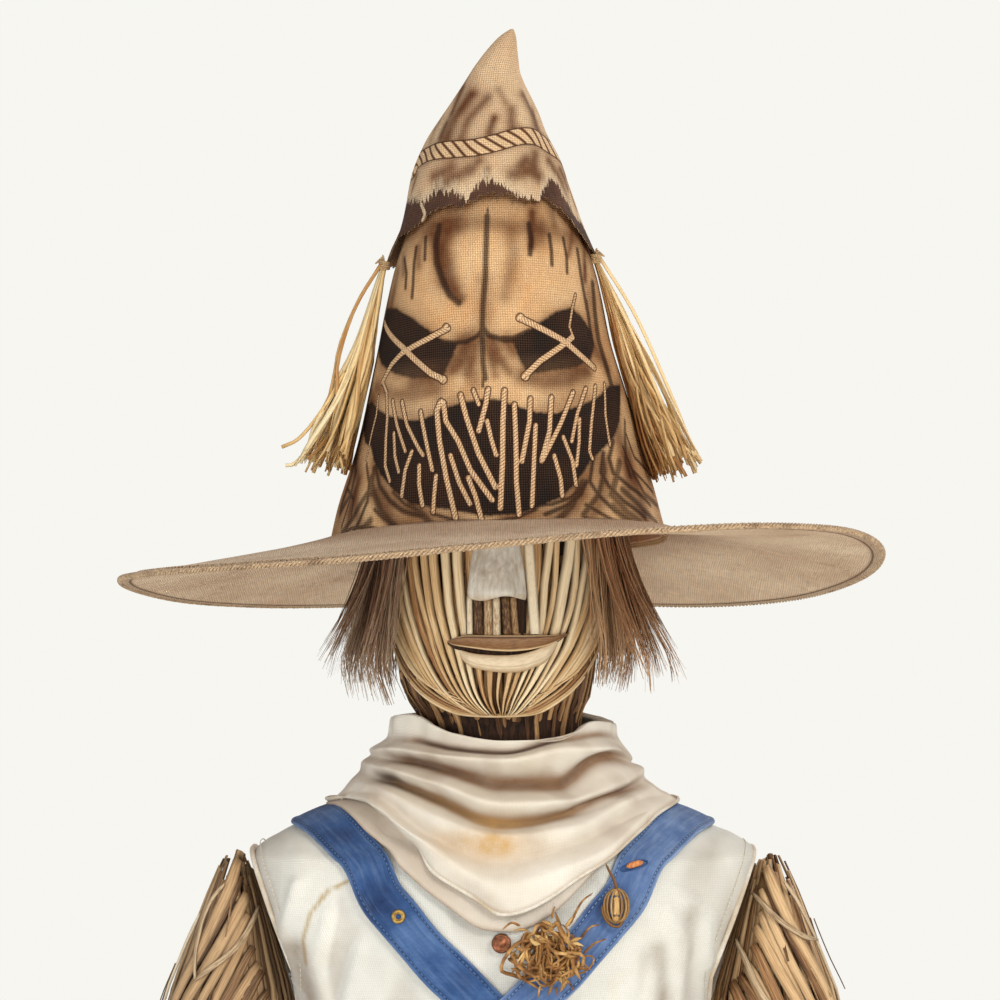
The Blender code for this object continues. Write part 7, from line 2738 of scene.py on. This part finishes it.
for sign, label, material in ((-1, "left", raffia_left), (1, "right", raffia_right)):
    rng = np.random.default_rng(200 + sign)
    count = 120
    share = np.linspace(0, 1, 16)
    u_end = rng.uniform(-1, 1, count)
    v_end = rng.uniform(-1, 1, count)
    outer = (u_end + 1) / 2
    low = (
        np.where(
            sign < 0, 0.040 + 0.026 * outer * rng.random(count), 0.030 + 0.022 * outer * rng.random(count)
        )
        + 0.010 * rng.random(count) ** 2
    )
    h = 0.166 + (low[:, None] - 0.166) * share[None, :]
    spread_by = share[None, :] ** 0.8
    wave = 0.10 * ripple(201 + sign, u_end[:, None] * 20 + v_end[:, None] * 9, share[None, :] * 5)
    tangle = (
        0.42 * ripple(211 + sign, u_end[:, None] * 31 + v_end[:, None] * 17, share[None, :] * 2.6, waves=7)
        * np.sin(np.pi * share[None, :])
    )
    u = np.clip(
        u_end[:, None] * (0.3 + 0.7 * spread_by) + (wave + tangle) * (0.25 + share[None, :]), -1, 1.06
    )
    v = np.clip(v_end[:, None] * (0.35 + 0.65 * spread_by) + wave * share[None, :] * 0.8, -1.05, 1.05)
    path = tuft_at(sign, h, u, v)
    tilt = rng.uniform(-1.2, 1.2, count)
    outward = np.stack([sign * np.cos(tilt), np.sin(tilt), 0 * tilt], -1)[:, None, :] + 0 * path
    width = (
        rng.uniform(0.0008, 0.0021, count)[:, None]
        * np.interp(share, [0, 0.15, 0.9, 1], [0.45, 0.9, 1, 0.75])[None, :]
    )
    parts = [strips(path, width, 0.0004, outward, CROWNED)]
    # Strands nearer the crown get darker tints: painted shade between the tuft and the crown.
    parts[0][2]["tint"] = np.repeat(
        np.clip(0.15 + 0.6 * outer + rng.uniform(-0.25, 0.35, count), 0, 1), 16 * 6
    )
    # Stray strands that bow away from the rest.
    if sign < 0:
        strays = (
            (
                (-0.0665, -0.012, 0.166), (-0.0830, -0.016, 0.139), (-0.0935, -0.020, 0.108),
                (-0.0945, -0.022, 0.092), (-0.0980, -0.024, 0.066), (-0.1130, -0.026, 0.048)
            ),
            (
                (-0.0665, -0.010, 0.166), (-0.0800, -0.014, 0.145), (-0.0920, -0.018, 0.118),
                (-0.0960, -0.018, 0.100), (-0.1010, -0.020, 0.080), (-0.1080, -0.020, 0.058)
            ),
            (
                (-0.0900, -0.020, 0.100), (-0.1040, -0.020, 0.078), (-0.1180, -0.018, 0.062),
                (-0.1290, -0.016, 0.057)
            ),
            (
                (-0.0900, -0.020, 0.090), (-0.1060, -0.022, 0.064), (-0.1200, -0.024, 0.047),
                (-0.1265, -0.026, 0.045)
            ),
        )
    else:
        strays = (
            (
                (0.0650, -0.010, 0.166), (0.0850, -0.014, 0.130), (0.1030, -0.018, 0.085),
                (0.1150, -0.020, 0.052), (0.1210, -0.022, 0.040)
            ),
            (
                (0.0650, -0.010, 0.160), (0.0820, -0.020, 0.120), (0.0990, -0.026, 0.075),
                (0.1120, -0.030, 0.046), (0.1175, -0.032, 0.043)
            ),
            (
                (0.0850, -0.022, 0.070), (0.0980, -0.030, 0.052), (0.1080, -0.034, 0.036),
                (0.1110, -0.036, 0.030)
            ),
        )
    lines = np.array([on_hat(smooth_path(k, 16)) for k in strays])
    parts.append(strips(lines, 0.0011, 0.0004, np.array([0.2, -1.0, 0.1]), CROWNED))
    points, faces, floats = joined(*parts)
    build(
        f"raffia_strands_{label}",
        points,
        faces,
        material,
        "hat",
        floats=floats,
        replaces=(f"raffia_tuft_{label}",),
    )
    knot_at = np.array(
        [sign * (float(smooth_table(CROWN, 0.162)[0]) + (0.0044 if sign < 0 else 0.0022)), -0.010, 0.1650]
    )
    loops = []
    for k in range(5):
        t = np.linspace(0, TAU, 26, endpoint=False)
        r = 0.0028 + 0.0003 * math.sin(2.1 * k)
        ring = np.stack([r * np.cos(t), r * 1.05 * np.sin(t), 0.0009 * (k - 2) + 0.0005 * np.sin(t + k)], -1)
        loops.append(tube(on_hat(knot_at + ring), 0.0007, 6, closed=True))
    for k in range(5):
        end = knot_at + [sign * (0.001 + 0.0012 * k), -0.0025 + 0.001 * k, 0.0065 - 0.0012 * k]
        loops.append(
            tube(on_hat(smooth_path([knot_at, (knot_at + end) / 2 + [0, 0, 0.002], end], 8)), 0.0006, 5)
        )
    points, faces, floats = joined(*loops)
    floats["tint"] = np.full(len(points), 0.6)
    build(
        f"raffia_knot_wrap_{label}",
        points,
        faces,
        twine_material,
        "hat",
        floats=floats,
        replaces=(f"raffia_knot_{label}",),
    )

# ---- straw padding inside the crown ------------------------------------------------------------

rng = np.random.default_rng(300)
count = 64
t = np.linspace(0, TAU, 60, endpoint=False)
coils = []
outs = []
for k in range(count):
    angle = TAU * k / count
    deep = 0.5 + 0.46 * math.cos(angle) * (0.6 + 0.4 * rng.random())
    high = (
        0.083 + 0.0115 * math.sin(angle) * (0.6 + 0.4 * rng.random())
        + 0.0008 * np.sin(t * 3 + rng.uniform(0, 6))
    )
    outer = smooth_table(CROWN, high)
    ox = outer[..., 1] + (outer[..., 0] - 0.0032) * np.sin(t)
    oy = -HAT_DEPTH * (outer[..., 0] - 0.0032) * np.cos(t)
    ix = HEAD_X + 0.0612 * np.sin(t)
    iy = 0.006 - 0.0682 * np.cos(t)
    mixed = deep + 0.05 * np.sin(t * 2 + rng.uniform(0, 6))
    # The head stands upright in the tilted hat, so the ring's inner line is set in the hat's frame.
    local_in = (np.stack([ix, iy, HAT_CENTRE[2] + high], -1) - HAT_CENTRE) @ HAT_TURN
    local = np.stack(
        [
            local_in[:, 0] + (ox - local_in[:, 0]) * mixed,
            local_in[:, 1] + (oy - local_in[:, 1]) * mixed,
            high,
        ],
        -1,
    )
    coils.append(tube(on_hat(local), 0.0014, 5, closed=True))
points, faces, floats = joined(*coils)
floats["tint"] = np.repeat(rng.random(count), 60 * 5)
padding = build(
    "hat_padding_straw",
    points,
    faces,
    fringe_look,
    "hat",
    floats=floats,
    replaces=("hat_padding",),
)


# ---- small metal and wooden pieces -------------------------------------------------------------


def metal_look(name, dark, light, rough=0.35, scale=180.0):
    look = Look(name)
    patina = look.noise(look.place, scale, 4.0, 0.65)
    scratch = look.noise(look.stretch(look.place, 2600, 300, 300), 1.0, 2.0)
    colour = look.mix(look.remap(patina, 0.35, 0.68), rgb(*light), rgb(*dark))
    return look.finish(
        colour,
        look.remap(patina, 0.3, 0.7, rough, rough + 0.3),
        look.bump(scratch, 0.0001, 0.3),
        metallic=0.85,
    )


brass_look = metal_look("aged_brass", (112, 84, 40), (206, 170, 96))
copper_look = metal_look("old_copper", (62, 38, 26), (168, 108, 76))
zinc_look = metal_look("zinc_steel", (120, 122, 124), (178, 180, 182), 0.4, 90.0)


def front_at(x, z, lift):
    """A point this far in front of the vest."""
    hit, n = cast((x, -0.3, z), (0, 1, 0))
    return hit + np.array([0.0, -lift, 0.0]), n


def turned(name, at, way, profile, material, node, segments=40, extra=()):
    """A turned piece: profile gives (radius, distance along the axis)."""
    way = unit(np.asarray(way, float))
    side = unit(np.cross(way, [0.1, 0.2, 0.97]))
    other = np.cross(way, side)
    t = np.linspace(0, TAU, segments, endpoint=False)
    rings = []
    for r, h in profile:
        rings.append(at + way * h + r * (np.cos(t)[:, None] * side + np.sin(t)[:, None] * other))
    points, faces = np.array(rings).reshape(-1, 3), grid_faces(len(profile), segments, around=True)
    for more_points, more_faces, _ in extra:
        faces = np.concatenate([faces, np.asarray(more_faces) + len(points)])
        points = np.concatenate([points, more_points])
    return build(name, points, faces, material, "stand", replaces=(node,))


at, n = front_at(-0.060, 0.519, 0.0)
way = unit(n)
ring_at = at + way * 0.0042
t = np.linspace(0, TAU, 36, endpoint=False)
side = unit(np.cross(way, [0.0, 0.0, 1.0]))
other = np.cross(way, side)
circle = ring_at + 0.0031 * (np.cos(t)[:, None] * side + np.sin(t)[:, None] * other)
points, faces, floats = tube(circle, 0.00115, 10, closed=True)
flange = tube(
    ring_at - way * 0.0002 + 0.0021 * (np.cos(t)[:, None] * side + np.sin(t)[:, None] * other),
    0.0006,
    8,
    closed=True,
)
points, faces, floats = joined((points, faces, floats), flange)
build(
    "strap_eyelet_ring",
    points,
    faces,
    brass_look,
    "stand",
    floats=floats,
    replaces=("strap_eyelet",),
)
at, n = front_at(-0.001, 0.5045, 0.0)
way = unit(n)
turned(
    "copper_button_cast", at + way * 0.0016, way,
    (
        (0.0, 0.0), (0.0050, 0.0), (0.0056, 0.0006), (0.0057, 0.0016), (0.0052, 0.0025), (0.0044, 0.0027),
        (0.0038, 0.0021), (0.0034, 0.0019), (0.0024, 0.0024), (0.0012, 0.0030), (0.0, 0.0031)
    ),
    copper_look, "copper_button",
)
for sign, label in ((-1, "left"), (1, "right")):
    at, n = front_at(sign * 0.058, 0.343, 0.0)
    way = unit(n)
    turned(
        f"waist_button_{label}_cast", at + way * 0.0034, way,
        (
            (0.0, 0.0), (0.0066, 0.0), (0.0074, 0.0007), (0.0075, 0.0018), (0.0068, 0.0028),
            (0.0058, 0.0030), (0.0051, 0.0022), (0.0044, 0.0018), (0.0026, 0.0021), (0.0018, 0.0029),
            (0.0, 0.0032)
        ),
        brass_look, f"waist_button_{label}",
    )

toggle_look = Look("toggle_wood")
grain = toggle_look.noise(toggle_look.stretch(toggle_look.place, 900, 900, 300), 1.0, 3.0, 0.6)
toggle_material = toggle_look.finish(
    toggle_look.mix(toggle_look.remap(grain, 0.3, 0.7), rgb(170, 96, 48), rgb(222, 148, 88)),
    0.45,
    toggle_look.bump(grain, 0.0002, 0.5),
)
at, n = front_at(0.0755, 0.5465, 0.0)
way = unit(n)
lie = unit(
    np.array([math.cos(math.radians(22)), 0.0, math.sin(math.radians(22))])
    - way * (np.array([math.cos(math.radians(22)), 0.0, math.sin(math.radians(22))]) @ way)
)
line = at + way * 0.0062 + np.linspace(-0.0056, 0.0056, 14)[:, None] * lie
radius = 0.0018 * np.clip(1 - np.abs(np.linspace(-1, 1, 14)) ** 4, 0.15, 1)
points, faces, floats = tube(line, radius, 12)
build(
    "strap_toggle_peg",
    points,
    faces,
    toggle_material,
    "stand",
    floats=floats,
    replaces=("strap_toggle",),
)
# The buttonhole behind it, worked in dark thread.
hole = (
    at + way * 0.0040 + (np.cos(t) * 0.0085)[:, None] * lie
    + (np.sin(t) * 0.0021)[:, None] * np.cross(way, lie)
)
slot_points, slot_faces, _ = tube(hole, 0.0006, 6, closed=True)
build(
    "buttonhole_stitch",
    slot_points,
    slot_faces,
    denim_left_painted_shade,
    "stand",
    floats={"edge": np.full(len(slot_points), 0.5)},
    vectors={"cloth": slot_points},
)

# ---- dried sprig -------------------------------------------------------------------------------

vine_look = Look("dried_vine")
grain = vine_look.noise(vine_look.stretch(vine_look.place, 700, 700, 700), 1.0, 3.0, 0.6)
tone = vine_look.noise(vine_look.place, 130.0, 3.0)
colour = vine_look.ramp(
    vine_look.remap(tone, 0.3, 0.7),
    (0.0, rgb(84, 52, 26)),
    (0.5, rgb(150, 104, 54)),
    (1.0, rgb(208, 166, 104)),
)
vine_material = vine_look.finish(
    vine_look.mix(vine_look.remap(grain, 0.55, 0.75, 0.0, 0.5), colour, rgb(62, 38, 20)),
    0.6,
    vine_look.bump(grain, 0.0003, 0.7),
)
leaf_look = stalk_look(
    "dried_leaf", (110, 72, 36), (184, 138, 78), (226, 192, 132), along=22.0, gloss=0.5, spread=0.9
)
rng = np.random.default_rng(401)
nest_at, n = front_at(0.027, 0.500, 0.0157)
vines = []
for k in range(30):
    t = np.linspace(0, TAU * rng.uniform(0.55, 1.05), 26)
    tilt_a = rng.uniform(0, TAU)
    rx = rng.uniform(0.006, 0.0195)
    rz = rng.uniform(0.005, 0.0165)
    cx0, cz0 = rng.uniform(-0.006, 0.006), rng.uniform(-0.005, 0.005)
    lx = cx0 + rx * np.cos(t + tilt_a) + 0.0022 * np.sin(3 * t + tilt_a * 2)
    lz = cz0 + rz * np.sin(t + tilt_a) + 0.0020 * np.cos(4 * t + tilt_a)
    ly = -0.0048 * np.sin(t * 2 + rng.uniform(0, 6)) * rng.uniform(0.4, 1.0) + rng.uniform(-0.0015, 0.0015)
    path = nest_at + np.stack([lx * 1.1, ly, lz], -1)
    size = rng.uniform(0.00055, 0.00115)
    vines.append(tube(path, np.interp(np.linspace(0, 1, 26), [0, 0.1, 0.9, 1], [0.3, 1, 1, 0.3]) * size, 6))
for start, finish, bow in (
    ((0.010, 0.516), (-0.0005, 0.5135), 0.003), ((0.014, 0.494), (0.004, 0.488), 0.002),
    ((0.022, 0.482), (0.020, 0.4745), 0.002), ((0.034, 0.486), (0.041, 0.478), 0.002),
    ((0.044, 0.508), (0.056, 0.516), 0.003), ((0.046, 0.500), (0.060, 0.508), 0.002),
    ((0.038, 0.516), (0.052, 0.534), 0.004), ((0.014, 0.508), (0.0035, 0.502), 0.002),
    ((0.040, 0.494), (0.0505, 0.4905), 0.002), ((0.028, 0.520), (0.030, 0.5265), 0.002),
    ((0.030, 0.481), (0.0315, 0.4755), 0.001),
):
    a, _ = front_at(*start, 0.0150)
    b, _ = front_at(*finish, 0.0112)
    middle = (a + b) / 2 + [0, -0.001, bow]
    vines.append(tube(smooth_path([a, middle, b], 12), np.linspace(0.0009, 0.0004, 12), 6))
points, faces, floats = joined(*vines)
build(
    "sprig_vines", points, faces, vine_material, "stand", floats=floats, replaces=("sprig_nest",),
)
leaves = []
outs = []
halves = []
for k in range(30):
    a = rng.uniform(0, TAU)
    r = rng.uniform(0.35, 1.0)
    base_at = nest_at + [0.0205 * r * math.cos(a), rng.uniform(-0.0055, 0.001), 0.0170 * r * math.sin(a)]
    b = a + rng.uniform(-1.2, 1.2)
    long = rng.uniform(0.005, 0.0095)
    tip = base_at + [long * math.cos(b), rng.uniform(-0.0012, 0.0012), long * math.sin(b)]
    middle = (base_at + tip) / 2 + [0, -0.0012, 0.0012 * math.sin(k)]
    leaves.append(smooth_path([base_at, middle, tip], 8))
    outs.append(np.broadcast_to(unit(np.array([0.5 * math.sin(5 * k), -1.0, 0.4 * math.cos(3 * k)])), (8, 3)))
    halves.append(
        rng.uniform(0.0008, 0.0017)
        * np.interp(np.linspace(0, 1, 8), [0, 0.35, 0.8, 1], [0.25, 1, 0.6, 0.08])
    )
points, faces, floats = strips(np.array(leaves), np.array(halves), 0.0004, np.array(outs), CROWNED)
build("sprig_leaves", points, faces, leaf_look, "stand", floats=floats)
pod_at, n = front_at(0.0655, 0.527, 0.0100)
pods = []
for k in range(7):
    t = np.linspace(-0.35, math.pi + 0.35, 20) + 0.0
    wide = 0.0068 * math.cos(math.pi * (k - 3) / 7.5)
    lobe = np.stack(
        [
            math.sin(math.pi * (k - 3) / 7.5) * 0.0072 * np.sin(t),
            -0.0008 - abs(wide) * 0.6 * np.sin(t),
            -0.0005 + 0.0098 * np.cos(t),
        ],
        -1,
    )
    pods.append(lobe + pod_at + [0.0, 0.0018, 0.0])
pod_out = np.array([unit(l - pod_at + [0, 0.004, 0]) for l in pods])
points, faces, floats = strips(
    np.array(pods),
    0.0020 * np.interp(np.linspace(0, 1, 20), [0, 0.3, 0.7, 1], [0.15, 0.8, 1, 0.5])[None, :],
    0.0008,
    pod_out,
    CROWNED,
)
stem = tube(
    smooth_path(
        [
            pod_at + [0, 0, 0.0085],
            pod_at + [-0.0012, -0.0005, 0.014],
            pod_at + [-0.0042, 0.001, 0.0195],
            pod_at + [-0.006, 0.0032, 0.0235],
        ],
        12,
    ),
    np.linspace(0.0011, 0.0006, 12),
    6,
)
curl = tube(
    smooth_path(
        [
            pod_at + [0.004, -0.001, -0.009],
            pod_at + [0.001, -0.002, -0.0125],
            pod_at + [-0.004, -0.0015, -0.011],
            pod_at + [-0.0075, -0.001, -0.006],
            pod_at + [-0.0085, -0.0008, 0.0],
        ],
        16,
    ),
    0.0008,
    6,
)
points, faces, floats = joined((points, faces, floats), stem, curl)
build(
    "seed_pod_husk", points, faces, leaf_look, "stand", floats=floats, replaces=("seed_pod",),
)

# ---- the wooden stand and its hardware, on the CAD's own meshes ----------------------------------


def timber(name, grain_axis, dark, light, seed):
    look = Look(name)
    scales = {"x": (9, 130, 130), "y": (130, 9, 130), "z": (130, 130, 9)}[grain_axis]
    place = look.place
    shifted = look.node("ShaderNodeVectorMath", operation="ADD")
    look.put(shifted.inputs[0], place)
    shifted.inputs[1].default_value = (0.37 * seed, 0.61 * seed, 0.23 * seed)
    place = shifted.outputs[0]
    warp = look.noise(place, 7.0, 2.0)
    long = look.noise(look.stretch(place, *scales), 1.0, 4.0, 0.6)
    rings = look.math("SINE", look.plus(look.times(long, 34.0), look.times(warp, 9.0)))
    pores = look.noise(look.stretch(place, *(s * 9 for s in scales)), 1.0, 3.0, 0.6)
    colour = look.mix(look.remap(rings, -0.8, 0.9), rgb(*dark), rgb(*light))
    colour = look.mix(look.remap(pores, 0.55, 0.75, 0.0, 0.5), colour, rgb(*(0.6 * c for c in dark)))
    worn = look.noise(place, 19.0, 5.0, 0.65)
    colour = look.mix(look.remap(worn, 0.5, 0.75, 0.0, 0.5), colour, rgb(150, 142, 130))
    height = look.minus(look.times(rings, 0.3), look.times(look.remap(pores, 0.5, 0.8), 0.8))
    return look.finish(colour, look.remap(worn, 0.3, 0.7, 0.55, 0.75), look.bump(height, 0.0004, 0.6))


def dress(node, material):
    obj = bpy.data.objects[node]
    if not obj.material_slots:
        obj.data.materials.append(material)
    for holder in obj.material_slots:
        holder.material = material


DARK_PINE, LIGHT_PINE = (146, 108, 70), (198, 160, 112)
for seed, (node, axis) in enumerate(
    (
        ("base_board_long", "x"), ("base_board_cross", "y"), ("post", "z"), ("brace_left", "x"),
        ("brace_right", "x"),
        ("brace_front", "y"), ("brace_back", "y"), ("yoke", "x"), ("neck_dowel", "z"),
        ("arm_bar_left", "z"), ("arm_bar_right", "z"),
    )
):
    dress(node, timber(f"pine_{node}", axis, DARK_PINE, LIGHT_PINE, seed + 1))
for node in ("yoke_bracket_left", "yoke_bracket_right", "shoulder_pin_left", "shoulder_pin_right"):
    dress(node, zinc_look)
felt_look = Look("washer_felt")
grain = felt_look.noise(felt_look.place, 600.0, 4.0, 0.7)
dress(
    "neck_washer",
    felt_look.finish(
        felt_look.mix(grain, rgb(34, 30, 28), rgb(78, 70, 64)), 0.95, felt_look.bump(grain, 0.0004, 0.8)
    ),
)

# ---- floor, light and camera -------------------------------------------------------------------

floor_look = Look("studio_floor")
grain = floor_look.noise(floor_look.place, 30.0, 3.0)
floor_material = floor_look.finish(floor_look.mix(grain, rgb(164, 162, 159), rgb(171, 169, 166)), 0.9)
floor_look.shader.inputs["Emission Color"].default_value = rgb(240, 239, 234)
floor_look.shader.inputs["Emission Strength"].default_value = 0.60
floor_mesh = bpy.data.meshes.new("studio_floor")
floor_mesh.from_pydata([(-3, -3, 0), (3, -3, 0), (3, 3, 0), (-3, 3, 0)], [], [(0, 1, 2, 3)])
floor_mesh.materials.append(floor_material)
floor = bpy.data.objects.new("studio_floor", floor_mesh)
bpy.context.scene.collection.objects.link(floor)

world = bpy.data.worlds.new("studio")
bpy.context.scene.world = world
world.use_nodes = True
links = world.node_tree.links
back = world.node_tree.nodes["Background"]
back.inputs["Color"].default_value = rgb(247, 246, 241)
back.inputs["Strength"].default_value = 1.0
fill = world.node_tree.nodes.new("ShaderNodeBackground")
fill.inputs["Color"].default_value = (0.93, 0.95, 1.0, 1.0)
fill.inputs["Strength"].default_value = 0.50
path = world.node_tree.nodes.new("ShaderNodeLightPath")
blend = world.node_tree.nodes.new("ShaderNodeMixShader")
links.new(path.outputs["Is Camera Ray"], blend.inputs[0])
links.new(fill.outputs[0], blend.inputs[1])
links.new(back.outputs[0], blend.inputs[2])
links.new(blend.outputs[0], world.node_tree.nodes["World Output"].inputs["Surface"])


def lamp(name, place, aim, size, power, colour):
    data = bpy.data.lights.new(name, "AREA")
    data.shape = "DISK"
    data.size = size
    data.energy = power
    data.color = colour
    obj = bpy.data.objects.new(name, data)
    bpy.context.scene.collection.objects.link(obj)
    obj.location = place
    obj.rotation_mode = "QUATERNION"
    obj.rotation_quaternion = (Vector(aim) - Vector(place)).to_track_quat("-Z", "Y")


lamp("key", (1.3, -1.9, 1.9), (0, 0, 0.75), 1.0, 34.0, (1.0, 0.97, 0.92))
lamp("fill", (-1.7, -1.7, 1.1), (0, 0, 0.7), 1.4, 14.0, (0.90, 0.95, 1.0))
lamp("under", (0.0, -1.5, 0.36), (0, 0, 0.80), 0.5, 6.5, (1.0, 0.96, 0.90))
lamp("rim", (0.9, 1.5, 1.5), (0, 0, 0.8), 0.8, 16.0, (1.0, 0.98, 0.95))

camera_data = bpy.data.cameras.new("camera")
camera_data.lens = 150.0
camera_data.sensor_width = 36.0
camera = bpy.data.objects.new("camera", camera_data)
bpy.context.scene.collection.objects.link(camera)
camera.location = (-0.0018, -2.5, 0.761)
camera.rotation_euler = (math.radians(90), 0, 0)
camera_data.clip_start = 0.05
bpy.context.scene.camera = camera
bpy.context.scene.view_settings.view_transform = "Standard"

bpy.context.view_layer.update()
